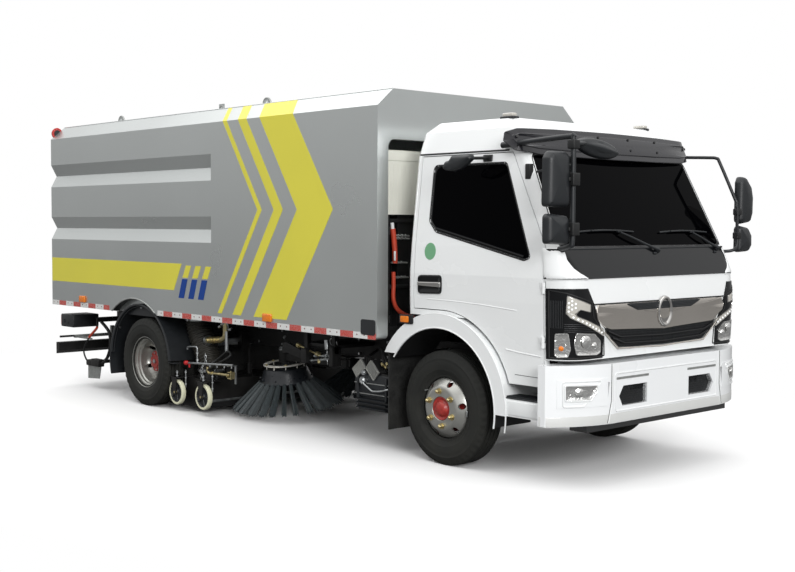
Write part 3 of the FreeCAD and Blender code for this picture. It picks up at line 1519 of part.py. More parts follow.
def door_form(near, grow=0.0):
    """The cab door's outline run outwards: a plain outline less a round edge over the wheel."""
    nose = number(NOSE)
    rear = number(CAB_REAR) + number("door_rear_post")
    front = nose - number("door_front_setback")
    top = number("door_top")
    axle = number(FRONT_AXLE)
    sill = number("door_bottom")
    level = number("door_rear_level")
    plain = side_prism([(rear, level), (rear, top),
                        (front - number("door_slope_back"), top),
                        (front, number("door_slope_level")),
                        (front, sill), (axle, sill), (axle, level)], near, FAR, grow)
    radius = level - number("fender_level") - grow
    wheel_room = Part.makeCylinder(radius, FAR - near,
                                   FreeCAD.Vector(axle, near, number("fender_level")),
                                   FreeCAD.Vector(0, 1, 0))
    return plain.cut(wheel_room)


def window_outline():
    """The door window: its lower edge rises to the rear."""
    rear = number(CAB_REAR) + number("door_rear_post")
    front = number(NOSE) - number("door_front_setback")
    top = number("door_top - window_drop")
    return [
        (rear + number("window_rear_low"), number("window_rear_level")),
        (rear + number("window_rear_high"), top),
        (front - number("window_front_high"), top),
        (front - number("window_front"), number("window_front_level")),
        (front - number("window_sill_front"), number("window_sill_level")),
        (rear + number("window_sill_rear"), number("window_sill_high")),
    ]


def make_cab():
    """The cab's shell, doors, glass and the panels on its nose."""
    form = cab_form()
    hollow = cab_form(number("cab_skin"))
    screen = screen_prism()
    fixed_hinges, door_hinges = door_hinge_pieces()
    post_room, door_room = door_hinge_room()
    shell = largest(form.cut(cab_spaces(hollow)).cut([screen]))
    door_inner = number("door_inner")
    doorway = door_form(door_inner, number("moving_gap"))
    shell = shell.cut([doorway, flipped(doorway), post_room, flipped(post_room)])
    shell = shell.fuse([fixed_hinges, flipped(fixed_hinges)])
    keep(shaped("cab_shell", largest(shell)), "cab_shell")

    opening = side_prism(window_outline(), door_inner, FAR)
    leaf = largest(form.cut(hollow).common(door_form(door_inner)).cut([opening, door_room]))
    leaf = leaf.fuse(door_hinges)
    inset = number("glass_inset")
    glass = cab_layer(inset, inset + number("glass"))
    pane = largest(glass.common(opening))
    for name, shape in (("door", largest(leaf)), ("window", pane)):
        keep(shaped(f"cab_{name}_left", shape), f"cab_{name}_left")
        keep(shaped(f"cab_{name}_right", flipped(shape)), f"cab_{name}_right")
    keep(shaped("windscreen", largest(glass.common(screen))), "windscreen")
    make_nose()


def cab_spaces(hollow):
    """What is left out of the cab's form: its room, foot wells, wheel arches and frame tunnel."""
    nose = number(NOSE)
    rear = number(CAB_REAR)
    floor = number("cab_floor_level")
    wall = number("cab_floor_wall")
    gap = number("moving_gap")
    past = number("overcut")
    tunnel_top = number("tunnel_level")
    tunnel_half = number("tunnel_half")
    arch_end = number(FRONT_AXLE) + number("fender_radius") + gap
    across = (-FAR, FAR)
    well = (arch_end + wall, nose)
    inside = [block((rear, nose), across, (floor, number("cab_ceiling_level"))),
              block(well, across, (tunnel_top, floor))]
    for side in ((-FAR, -tunnel_half - wall), (tunnel_half + wall, FAR)):
        inside.append(block(well, side, (number("well_floor_level"), tunnel_top)))
    spaces = [hollow.common(space) for space in inside]
    spaces.append(block((rear - past, arch_end), across, (0, floor - wall)))
    spaces.append(block((rear, nose - number("rail_nose_back") + past),
                        (-tunnel_half, tunnel_half), (0, tunnel_top - wall)))
    spaces.append(block((nose - number("door_front_setback") + 2 * gap, nose + past), across,
                        (0, number("bumper_top + bumper_room"))))
    return spaces


def door_hinge_pieces():
    """Two outside hinges: knuckles with pins on the front post, bored knuckles on the door."""
    axis_x = number(MASK_REAR)
    side = number("hinge_side")
    radius = number("hinge_radius")
    pin = number("hinge_pin_radius")
    height = number("hinge_height")
    gap = number("pin_gap")
    past = number("overcut")
    up = FreeCAD.Vector(0, 0, 1)
    flat = number("hinge_flat")
    fixed = []
    moving = []
    for level in (number("lower_hinge_level"), number("upper_hinge_level")):
        low = FreeCAD.Vector(axis_x, side, level)
        high = low + up * (height + gap)
        fixed += [Part.makeCylinder(radius, height, low, up),
                  Part.makeCylinder(pin, 2 * height, low, up),
                  block((axis_x, axis_x + radius), (side - flat, side), (level, level + height))]
        knuckle = Part.makeCylinder(radius, height, high, up)
        leaf = block((axis_x - flat, axis_x - radius / 2), (side - flat, side),
                     (high.z, high.z + height))
        bore = Part.makeCylinder(pin + gap, height + 2 * past, high - up * past, up)
        moving.append(knuckle.fuse(leaf).cut(bore))
    return fixed[0].fuse(fixed[1:]), moving[0].fuse(moving[1:])


def door_hinge_room():
    """What the post leaves free for the door's knuckles, and the door for the post's."""
    gap = number("moving_gap")
    radius = number("hinge_radius") + gap
    height = number("hinge_height")
    length = height + 2 * gap
    for_door = []
    for_post = []
    for level in (number("lower_hinge_level"), number("upper_hinge_level")):
        foot = FreeCAD.Vector(number(MASK_REAR), number("hinge_side"), level - gap)
        for_post.append(Part.makeCylinder(radius, length, foot))
        foot.z += height
        for_door.append(Part.makeCylinder(radius, length, foot))
    return for_door[0].fuse(for_door[1:]), for_post[0].fuse(for_post[1:])


def screen_prism():
    """The windscreen's opening, seen from the front."""
    low = number("screen_bottom")
    high = number("screen_top")
    wide = number("screen_low_half")
    narrow = number("screen_high_half")
    rise = number("screen_corner_rise")
    return front_prism([(-wide, low + rise), (-narrow, high), (narrow, high), (wide, low + rise)],
                       number(f"{NOSE} - screen_back"), number(f"{NOSE} + overcut"))


def make_nose():
    """The dark panel under the windscreen, the grille with its blank badge, the headlamps."""
    nose = number(NOSE)
    proud = cab_layer(-number("panel_proud"), 0)
    ahead = nose + number("panel_reach")
    span = (number(MASK_REAR) + number("hinge_radius + moving_gap + 1"), ahead)
    mask = proud.common(block((number(MASK_REAR), ahead), (-FAR, FAR),
                              (number("mask_bottom"), number("screen_bottom - mask_gap"))))
    keep(shaped("front_mask", largest(mask)), "front_mask")

    low = number("grille_bottom")
    high = number("grille_top")
    rise = number("grille_shoulder")
    wide = number("grille_shoulder_half")
    foot = number("grille_foot_half")
    half = number("grille_half")
    grille = proud.common(front_prism([
        (-wide, low + rise), (-foot, low), (foot, low), (wide, low + rise),
        (half, high), (-half, high)], *span))
    level = number("badge_level")
    badge = Part.makeCylinder(number("badge_radius"), number("badge_length"),
                              FreeCAD.Vector(nose - number("badge_back"), 0, 0),
                              FreeCAD.Vector(1, 0, 0))
    stretch = FreeCAD.Matrix()
    stretch.scale(1.0, 1.0, number("badge_stretch"))
    badge = badge.transformGeometry(stretch)
    badge.translate(FreeCAD.Vector(0, 0, level))
    keep(shaped("grille", largest(grille.fuse(badge.cut(cab_form(0))))), "grille")

    low = number("lamp_bottom")
    high = number("lamp_top")
    inner = number("lamp_inner")
    outer = number("lamp_outer")
    lamps = []
    for points in both_sides([(inner, low), (inner, low + number("lamp_inner_rise")),
                              (number("lamp_shoulder"), high), (outer, high), (outer, low)]):
        lamps.append(largest(proud.common(front_prism(points, *span))))
    keep(shaped("headlamps", Part.makeCompound(lamps)), "headlamps")


def bar_between(start, end, radius):
    """A round bar between two points."""
    line = end - start
    return Part.makeCylinder(radius, line.Length, start, line)


def tube_frame(points, radius):
    """A bent tube: round bars with a ball at each bend."""
    pieces = [bar_between(a, b, radius) for a, b in zip(points, points[1:])]
    pieces += [Part.makeSphere(radius, point) for point in points[1:-1]]
    return pieces[0].fuse(pieces[1:])


# Bends of the mirror arms: distance behind the nose, side and level, right then left.
ARM_BENDS = (
    ((700, -915, 2215), (70, -1000, 2242), (66, -1000, 1560), (210, -955, 1522)),
    ((700, 915, 2215), (560, 1050, 2210), (250, 1045, 1860), (245, 1045, 1510),
     (215, 950, 1495)),
)


def mirror_arms(radius):
    """The two bent mirror arms, right then left, as tubes of one radius."""
    nose = number(NOSE)
    return [tube_frame([FreeCAD.Vector(nose - back, y, z) for back, y, z in arm], radius)
            for arm in ARM_BENDS]


# Mirror heads and clamps: distances behind the nose, then spans across and up.
RIGHT_HEADS = (
    ((92, 42), (-1230, -1016), (1790, 2145)),
    ((92, 42), (-1225, -1016), (1562, 1757)),
    ((92, 50), (-985, -720), (2068, 2165)),
    ((82, 54), (-1016, -985), (1950, 1990)),
    ((82, 54), (-1016, -985), (1645, 1680)),
    ((82, 54), (-1005, -940), (2150, 2180)),
)
LEFT_HEADS = (
    ((272, 222), (1062, 1262), (1700, 2055)),
    ((272, 222), (1062, 1257), (1490, 1690)),
    ((262, 232), (1040, 1070), (1760, 1795)),
    ((262, 232), (1040, 1070), (1590, 1625)),
)


def make_mirrors():
    """Mirror arms with their heads; the right one also carries the front-view mirror."""
    nose = number(NOSE)
    form = cab_form()
    mask = cab_form(-number("panel_proud")).common(
        block((number(MASK_REAR), nose + number("panel_reach")), (-FAR, FAR),
              (0, number("screen_bottom - mask_gap"))))
    sides = []
    for arm, heads in zip(mirror_arms(number("mirror_tube")), (RIGHT_HEADS, LEFT_HEADS)):
        blocks = [block((nose - far, nose - near), across, up)
                  for (far, near), across, up in heads]
        sides.append(largest(arm.fuse(blocks).cut([form, mask])))
    keep(shaped("mirrors", Part.makeCompound(sides)), "mirrors")

    rear = number(CAB_REAR)
    head = block((rear + number("kerb_head_rear"), rear + number("kerb_head_front")),
                 (number("-kerb_head_outer"), number("-kerb_head_inner")),
                 (number("kerb_head_low"), number("kerb_head_high")))
    along = rear + number("kerb_arm_ahead")
    level = number("kerb_arm_level")
    arm = bar_between(FreeCAD.Vector(along, number("-kerb_arm_outer"), level),
                      FreeCAD.Vector(along, number("-kerb_arm_inner"), level),
                      number("mirror_tube"))
    keep(shaped("kerb_mirror", largest(head.fuse(arm).cut(form))), "kerb_mirror")


def make_visor():
    """The sun visor: a curved strip above the windscreen on short brackets."""
    nose = number(NOSE)
    half = number("visor_half")
    wall = number("visor_wall")
    ends = nose - number("visor_ends_back")
    middle = nose - number("visor_middle_back")
    outer = Part.Arc(FreeCAD.Vector(ends, -half, 0), FreeCAD.Vector(middle, 0, 0),
                     FreeCAD.Vector(ends, half, 0)).toShape()
    inner = Part.Arc(FreeCAD.Vector(ends - wall, half, 0), FreeCAD.Vector(middle - wall, 0, 0),
                     FreeCAD.Vector(ends - wall, -half, 0)).toShape()
    sides = [Part.makeLine(outer.Vertexes[1].Point, inner.Vertexes[0].Point),
             Part.makeLine(inner.Vertexes[1].Point, outer.Vertexes[0].Point)]
    strip = Part.Face(Part.Wire([outer, sides[0], inner, sides[1]]))
    strip.translate(FreeCAD.Vector(0, 0, number("visor_level")))
    visor = strip.extrude(FreeCAD.Vector(-number("visor_lean"), 0, number("visor_height")))
    stay_half = number("visor_stay_half")
    stay_side = number("visor_stay_side")
    stays = [block((nose - number("visor_stay_rear"), nose - number("visor_stay_front")),
                   (y - stay_half, y + stay_half),
                   (number("visor_stay_low"), number("visor_stay_high")))
             for y in (-stay_side, 0, stay_side)]
    arms = mirror_arms(number("mirror_tube + moving_gap"))
    keep(shaped("sun_visor", largest(visor.fuse(stays).cut([cab_form()] + arms))), "sun_visor")


def make_fenders():
    """Arch mouldings over the front wheels, each with the cab's entry step."""
    width = "fender_side - fender_inner"
    outer = rod("fender_outer", "y", (FRONT_AXLE, "fender_inner", "fender_level"),
                "fender_radius", width)
    inner = rod("fender_inner_cut", "y", (FRONT_AXLE, "fender_inner - overcut", "fender_level"),
                "fender_arch_radius", f"{width} + 2 * overcut")
    across = ("fender_inner - 2 * overcut", "fender_side + 2 * overcut")
    trim = box("fender_trim", (f"{FRONT_AXLE} - fender_cut", f"{FRONT_AXLE} + fender_cut"),
               ("fender_inner - 2 * overcut", "hinge_side + fender_trim_lap"),
               ("cab_floor_level - cab_floor_wall - fender_trim_drop", "fender_trim_top"))
    low_rear = box("fender_low_rear", (f"{FRONT_AXLE} - fender_cut", FRONT_AXLE), across,
                   ("-fender_below", "fender_level + fender_low_rear"))
    low_front = box("fender_low_front", (FRONT_AXLE, f"{FRONT_AXLE} + fender_cut"), across,
                    ("-fender_below", "fender_level"))
    arch = cut("fender_arch", outer, inner, trim, low_rear, low_front)
    step = box("step_block", (f"{FRONT_AXLE} + fender_radius - step_lap", f"{FRONT_AXLE} + step_ahead"),
               ("step_inner", "step_outer"), ("step_level - step_depth", "step_level"))
    along = (f"{FRONT_AXLE} - fender_bracket_half", f"{FRONT_AXLE} + fender_bracket_half")
    bracket = box("fender_bracket", along, (RAIL_SIDE, "fender_inner + fender_bracket_lap"),
                  ("fender_bracket_low", "fender_bracket_high"))
    bracket_foot = box("fender_bracket_foot", along, (RAIL_SIDE, f"{RAIL_SIDE} + bracket_wall"),
                       ("rail_bottom + fender_foot_rise", "fender_bracket_high"))
    left = fuse("fender_left", arch, step, bracket, bracket_foot)
    keep(gather("front_fenders", *pair(left)), "front_fenders")


def bumper_plan(inset, rear):
    """The bumper seen from above: a flat middle, rounded corners and short sides."""
    nose = number(NOSE)
    side = number("bumper_side") - inset
    flat = number("bumper_flat_half")
    corner = FreeCAD.Vector(
        nose - number("bumper_corner_back") - number("corner_inset_back") * inset,
        number("bumper_corner_side") - number("corner_inset_side") * inset, 0)
    front = [FreeCAD.Vector(nose - inset, y, 0) for y in (-flat, flat)]
    shoulder = FreeCAD.Vector(nose - number("bumper_shoulder_back"), side, 0)
    tail = FreeCAD.Vector(rear, side, 0)
    edges = [Part.makeLine(front[0], front[1]),
             Part.Arc(front[1], corner, shoulder).toShape(),
             Part.makeLine(shoulder, tail)]
    turned_back = [FreeCAD.Vector(point.x, -point.y, 0) for point in (tail, shoulder, corner)]
    edges += [Part.makeLine(tail, turned_back[0]),
              Part.makeLine(turned_back[0], turned_back[1]),
              Part.Arc(turned_back[1], turned_back[2], front[0]).toShape()]
    return Part.Face(Part.Wire(edges))


def bumper_pockets():
    """Outlines of the air opening and of the fog lamp's opening, on the left."""
    inner = number("pocket_inner")
    low = number("pocket_low")
    high = number("pocket_high")
    fog_low = number("fog_low")
    fog_high = number("fog_high")
    return ([(inner, low), (number("pocket_low_end"), low),
             (number("pocket_outer"), number("pocket_middle")),
             (number("pocket_high_end"), high), (inner, high)],
            [(number("fog_low_inner"), fog_low), (number("fog_low_outer"), fog_low),
             (number("fog_high_outer"), fog_high), (number("fog_high_inner"), fog_high)])


def make_bumper():
    """The front bumper: a hollow shell that wraps round the nose, with its black skirt."""
    nose = number(NOSE)
    wall = number("bumper_wall")
    low = number("bumper_bottom")
    high = number("bumper_top")
    back = nose - number("bumper_back")
    floor = number("bumper_floor_share") * wall
    outer = bumper_plan(0, back)
    outer.translate(FreeCAD.Vector(0, 0, low))
    inner = bumper_plan(wall, back - number("bumper_open_back"))
    inner.translate(FreeCAD.Vector(0, 0, low + floor))
    shell = outer.extrude(FreeCAD.Vector(0, 0, high - low))
    shell = shell.cut(inner.extrude(FreeCAD.Vector(0, 0, high - low - 2 * floor)))
    for points in bumper_pockets():
        for side in both_sides(points):
            shell = shell.cut(front_prism(side, nose - number("pocket_depth"),
                                          nose + number("overcut")))
    beam_half = number("frame_width / 2")
    beam = block((nose - number("rail_nose_back"), nose - number("beam_front_back")),
                 (-beam_half, beam_half), (number("beam_low"), number("beam_high")))
    skirt_half = number("skirt_half")
    skirt = block((nose - number("skirt_back"), nose - number("skirt_front")),
                  (-skirt_half, skirt_half),
                  (number("skirt_bottom"), low + number("skirt_lap")))
    keep(shaped("front_bumper", shell.fuse([beam, skirt])), "front_bumper")


def make_interior():
    """Dashboard with the steering wheel, and the two front seats."""
    nose = number(NOSE)
    side = number("steering_side")
    form = cab_form(number("cab_skin + moving_gap"))
    dash = form.common(block((nose - number("dash_depth"), nose), (-FAR, FAR),
                             (number("dash_low"), number("dash_top"))))
    slant = number("steering_lean")
    lean = FreeCAD.Vector(-slant, 0, math.sqrt(1 - slant ** 2))
    hub = FreeCAD.Vector(nose - number("steering_back"), side, number("steering_level"))
    column = bar_between(hub - lean * number("steering_column"), hub, number("column_radius"))
    ring = Part.makeTorus(number("steering_radius"), number("steering_rim"), hub, lean)
    disc = number("steering_disc")
    spoke = Part.makeCylinder(number("steering_radius + steering_lap"), disc,
                              hub - lean * (disc / 2), lean)
    leg_half = number("dash_leg_half")
    legs = block((nose - number("dash_leg_back"), nose - number("dash_leg_front")),
                 (-leg_half, leg_half),
                 (number("tunnel_level"), number("dash_low + dash_leg_lap")))
    keep(shaped("dashboard", dash.fuse([column, ring, spoke, legs])), "dashboard")

    seats = [seat(middle) for middle in (-side - number("seat_shift"), side)]
    keep(shaped("seats", Part.makeCompound(seats)), "seats")


def seat(middle):
    """One seat at a distance from the middle: its box, cushion and leaning back."""
    rear = number(CAB_REAR)
    floor = number("cab_floor_level")
    top = floor + number("cushion_height")
    low = top - number("cushion_depth")
    high = top + number("back_height")
    cushion = block((rear + number("cushion_rear"), rear + number("cushion_front")),
                    across_of(middle, "cushion_half"), (low, top))
    back = side_prism([(rear + number("back_rear"), top), (rear + number("back_front"), top),
                       (rear + number("back_top_front"), high),
                       (rear + number("back_top_rear"), high)],
                      *across_of(middle, "back_half"))
    base = block((rear + number("seat_base_rear"), rear + number("seat_base_front")),
                 across_of(middle, "seat_base_half"), (floor, low))
    return cushion.fuse([back, base])


def across_of(middle, half):
    """The span from one side of a middle line to the other."""
    return middle - number(half), middle + number(half)


# ---------------------------------------------------------------- what the chassis carries

def make_underbody():
    """The engine and tanks, then the flaps, mudguards, rear lamps and bars."""
    make_engine()
    make_side_boxes()
    make_front_flaps()
    make_mudguards()
    make_rear_end()
    make_auxiliary_engine()


def make_engine():
    """The vehicle's engine as one block, on two bearers between the rails."""
    rear = f"{FRONT_AXLE} - engine_back"
    across = ("-engine_half", "engine_half")
    core = box("engine_core", (rear, f"{FRONT_AXLE} + engine_ahead"), across,
               ("engine_low", "tunnel_level - cab_floor_wall - engine_room"))
    under_cab = box("engine_top", (rear, f"{FRONT_AXLE} + engine_top_ahead"), across,
                    ("engine_shoulder", "cab_floor_level - cab_floor_wall - engine_top_room"))
    bearers = [box(name, (f"{FRONT_AXLE} + {name}", f"{FRONT_AXLE} + {name} + bearer_width"),
                   (f"rail_wall - {RAIL_SIDE}", f"{RAIL_SIDE} - rail_wall"),
                   ("bearer_low", "engine_shoulder"))
               for name in ("rear_bearer", "front_bearer")]
    keep(fuse("engine_block", core, under_cab, *bearers), "engine_block")


def make_side_boxes():
    """The fuel tank on the left rail; the battery box and its rack on the right one."""
    tank = slab("fuel_tank_body", "YZ_Plane", [
        ("tank_inner", "tank_low"), ("tank_inner", "tank_high"),
        ("tank_outer", "tank_high"), ("tank_outer", "tank_low")],
        f"{FRONT_AXLE} - tank_back", "fuel_tank_length",
        rounds=[(corner, "tank_round") for corner in range(4)])
    strap = box("fuel_tank_bracket",
                (f"{FRONT_AXLE} - strap_back", f"{FRONT_AXLE} - strap_front"),
                (RAIL_SIDE, "tank_inner + strap_lap"), ("strap_low", "strap_high"))
    keep(fuse("fuel_tank", tank, strap), "fuel_tank")

    case = box("battery_case", (f"{FLAP_X} - case_back", f"{FLAP_X} - case_front"),
               ("-case_outer", "-case_inner"), ("case_low", "case_high"))
    arm = box("battery_arm", (f"{FLAP_X} - case_arm_back", f"{FLAP_X} - case_arm_front"),
              ("-case_inner - case_arm_lap", f"-{RAIL_SIDE}"), ("case_arm_low", "case_arm_high"))
    rack = box("battery_rack", (f"{FLAP_X} - rack_back", f"{FLAP_X} - rack_front"),
               ("-rack_outer", "-rack_inner"), ("rack_low", "case_low"))
    keep(fuse("battery_box", case, arm, rack), "battery_box")


def make_front_flaps():
    """A mudflap behind each front wheel, on a bar from the rail."""
    flap = box("flap", (FLAP_X, f"{FLAP_X} + plate_wall"), ("flap_inner", "flap_outer"),
               ("flap_bottom", "flap_top"))
    bar = box("flap_bar", (f"{FLAP_X} - flap_bar_back", f"{FLAP_X} + bracket_wall"),
              (RAIL_SIDE, "flap_bar_end"), ("flap_bar_low", "flap_bar_high"))
    keep(gather("front_mudflaps", *pair(fuse("flap_carried", flap, bar))), "front_mudflaps")


def make_mudguards():
    """Rear mudguards: a half-round sheet over each pair of tyres, with a flat top and a lip."""
    width = "guard_side - guard_inner"
    outer = rod("guard_outer", "y", (GUARD_X, "guard_inner", "guard_level"), "guard_radius", width)
    inner = rod("guard_inner_cut", "y", (GUARD_X, "guard_inner - overcut", "guard_level"),
                "guard_radius - guard_wall", f"{width} + 2 * overcut")
    lip_side = f"{BODY_HALF} - arch_depth + moving_gap"
    across = ("guard_inner - overcut", "guard_side + overcut")
    past = "guard_radius + overcut"
    below = "guard_level - guard_radius - overcut"
    top = box("guard_top_cut", (f"{GUARD_X} - {past}", f"{GUARD_X} + {past}"),
              ("guard_inner - overcut", lip_side), ("guard_top_level", f"guard_level + {past}"))
    low_front = box("guard_low_front", (GUARD_X, f"{GUARD_X} + {past}"), across,
                    (below, "guard_front_level"))
    low_rear = box("guard_low_rear", (f"{GUARD_X} - {past}", GUARD_X), across,
                   (below, "guard_rear_level"))
    sheet = cut("guard_arch", outer, inner, top, low_front, low_rear)
    plate = box("guard_plate", (f"{GUARD_X} - guard_half_plate", f"{GUARD_X} + guard_half_plate"),
                ("guard_inner", f"{lip_side} + plate_wall"),
                ("guard_top_level - plate_wall", "guard_top_level"))
    lip = cut("guard_lip", rod("guard_lip_disc", "y", (GUARD_X, lip_side, "guard_level"),
                               "guard_radius - guard_lip_inset", "plate_wall"),
              box("guard_lip_floor", (f"{GUARD_X} - {past}", f"{GUARD_X} + {past}"),
                  ("guard_inner", "guard_side + overcut"),
                  (below, "guard_top_level - plate_wall")))
    arm = box("guard_arm", (f"{GUARD_X} + guard_arm_rear", f"{GUARD_X} + guard_arm_front"),
              (RAIL_SIDE, "guard_inner + guard_arm_lap"), ("guard_arm_low", "guard_arm_high"))
    keep(gather("rear_mudguards", *pair(fuse("guard", sheet, plate, lip, arm))),
         "rear_mudguards")


def make_rear_end():
    """Tail lamp boxes, the rear underrun bar and the number plate's bar."""
    lamp = box("lamp_box", (f"{TAIL} + lamp_box_rear", f"{TAIL} + lamp_box_front"),
               ("lamp_box_inner", "lamp_box_outer"),
               ("lamp_box_level", "lamp_box_level + lamp_box_height"))
    arm = box("lamp_arm", (f"{TAIL} + lamp_arm_rear", f"{TAIL} + lamp_arm_front"),
              (RAIL_SIDE, "lamp_box_inner + arm_lap"),
              ("lamp_box_level + lamp_arm_low", "lamp_box_level + lamp_arm_high"))
    keep(gather("tail_lamps", *pair(fuse("lamp", lamp, arm))), "tail_lamps")

    rear = f"{TAIL} + underrun_back"
    front = f"{rear} + underrun_wall"
    top = "underrun_level + underrun_depth"
    bar = slab("underrun_beam", "XZ_Plane", [
        (rear, "underrun_level"), (rear, top), (front, top),
        (front, "underrun_level + underrun_slope")], "-underrun_half", "2 * underrun_half")
    post_in = f"{RAIL_SIDE} - post_in"
    post = box("underrun_post", (f"{TAIL} + post_rear", f"{TAIL} + post_front"),
               (post_in, f"{post_in} + post_width"), ("underrun_level + post_lap", "rail_bottom"))
    plate_bar = rod("number_bar", "y", (f"{TAIL} + number_bar_back", "-number_bar_half",
                                        "underrun_level + number_bar_rise"),
                    "number_bar_radius", "2 * number_bar_half")
    keep(fuse("rear_underrun_bar", bar, plate_bar, *pair(post)), "rear_underrun_bar")


def make_auxiliary_engine():
    """The sweeper's own engine on the subframe, with its fan's cover above."""
    front = f"{BODY_FRONT} - unit_back"
    unit_half = f"({INNER_HALF} - unit_side_gap)"
    cover_half = f"({INNER_HALF} - cover_side_gap)"
    keep(box("auxiliary_core", (f"{front} - unit_length", front),
             (f"-{unit_half}", unit_half), (SUBFRAME_TOP, "cover_level")), "auxiliary_engine")
    keep(box("fan_cover_box", (f"{front} - cover_length", f"{front} + cover_nose"),
             (f"-{cover_half}", cover_half),
             ("cover_level", "cover_level + cover_height")), "fan_cover")


def check_document():
    """Stops if any object failed or any sub-part has no sound shape."""
    for item in DOC.Objects:
        bad = {"Invalid", "Error"}.intersection(item.State)
        if bad:
            raise RuntimeError(f"{item.Label}: {sorted(bad)}")
    for part in PARTS:
        if part.Shape.isNull() or not part.Shape.isValid():
            raise RuntimeError(f"{part.Label}: no valid shape")


def main():
    """Builds the vehicle and writes each sub-part to its file."""
    fill_sheet()
    make_chassis()
    make_axles()
    make_wheels()
    make_knuckles()
    make_hopper()
    make_rear_door()
    make_cylinders()
    make_brooms()
    make_nozzle()
    make_hose()
    make_cab()
    make_mirrors()
    make_visor()
    make_fenders()
    make_bumper()
    make_interior()
    make_underbody()
    DOC.recompute()
    check_document()
    os.makedirs("parts", exist_ok=True)
    for part in PARTS:
        part.Shape.exportStep(f"parts/{part.Label}.step")
        solids = part.Shape.Solids
        print(f"{part.Label:22s} solids {len(solids):2d}  volume {part.Shape.Volume / 1e9:.5f} m3")


main()
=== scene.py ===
"""Looks of the street sweeper truck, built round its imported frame."""

from __future__ import annotations

import logging
import math
from collections.abc import Callable, Iterable, Sequence
from dataclasses import dataclass
from enum import Enum

import bmesh
import bpy
from mathutils import Matrix, Vector
from mathutils.bvhtree import BVHTree
from mathutils.geometry import interpolate_bezier


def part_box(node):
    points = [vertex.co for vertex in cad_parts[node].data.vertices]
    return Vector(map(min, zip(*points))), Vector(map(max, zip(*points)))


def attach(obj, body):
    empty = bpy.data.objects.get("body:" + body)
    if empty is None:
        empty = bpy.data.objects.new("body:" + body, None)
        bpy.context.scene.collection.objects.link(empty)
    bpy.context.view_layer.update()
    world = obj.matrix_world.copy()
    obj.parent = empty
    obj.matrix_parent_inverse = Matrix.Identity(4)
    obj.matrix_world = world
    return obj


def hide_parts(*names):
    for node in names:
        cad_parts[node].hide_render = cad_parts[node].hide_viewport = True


LOG = logging.getLogger("sweeper")
Point = tuple[float, float, float]
Flat = tuple[float, float]
MM = 0.001
FRONT_AXLE, REAR_AXLE = 2.2, -1.6

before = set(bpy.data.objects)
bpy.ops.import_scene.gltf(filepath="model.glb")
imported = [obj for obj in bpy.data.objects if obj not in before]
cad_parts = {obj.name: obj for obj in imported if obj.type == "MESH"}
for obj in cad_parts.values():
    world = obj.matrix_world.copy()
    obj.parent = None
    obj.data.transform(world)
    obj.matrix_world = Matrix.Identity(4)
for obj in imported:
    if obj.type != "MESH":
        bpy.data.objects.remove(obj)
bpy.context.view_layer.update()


# ---------------------------------------------------------------- finishes


def linear(hex_code: str) -> tuple[float, float, float, float]:
    """Turn an sRGB hex colour into linear light.

    Args:
        hex_code: Six hex digits after a hash.

    Returns:
        Red, green, blue and a full alpha.
    """
    parts = [int(hex_code[start : start + 2], 16) / 255 for start in (1, 3, 5)]
    light = [p / 12.92 if p <= 0.04045 else ((p + 0.055) / 1.055) ** 2.4 for p in parts]
    return light[0], light[1], light[2], 1.0


def add_node(tree: bpy.types.NodeTree, kind: str, links: dict | None = None, **settings) -> bpy.types.Node:
    """Add one node with its settings and links.

    Args:
        tree: The tree that gets the node.
        kind: The node's type name.
        links: Input name or index to an output socket or to a plain value.
        **settings: Properties of the node itself.

    Returns:
        The new node.
    """
    node = tree.nodes.new(kind)
    for name, value in settings.items():
        setattr(node, name, value)
    for key, value in (links or {}).items():
        if isinstance(value, bpy.types.NodeSocket):
            tree.links.new(value, node.inputs[key])
        else:
            node.inputs[key].default_value = value
    return node


def maths(tree: bpy.types.NodeTree, operation: str, *values: object) -> bpy.types.NodeSocket:
    """Add one math node.

    Args:
        tree: The tree that gets the node.
        operation: What it works out.
        *values: Its inputs in order, as sockets or plain numbers.

    Returns:
        Its result.
    """
    return add_node(tree, "ShaderNodeMath", dict(enumerate(values)), operation=operation).outputs[0]


def blend(tree: bpy.types.NodeTree, share: bpy.types.NodeSocket, low: object, high: object) -> bpy.types.NodeSocket:
    """Mix two colours.

    Args:
        tree: The tree that gets the node.
        share: How much of the second colour shows.
        low: The first colour.
        high: The second colour.

    Returns:
        The mixed colour.
    """
    return add_node(tree, "ShaderNodeMix", {"Factor": share, "A": low, "B": high}, data_type="RGBA").outputs["Result"]


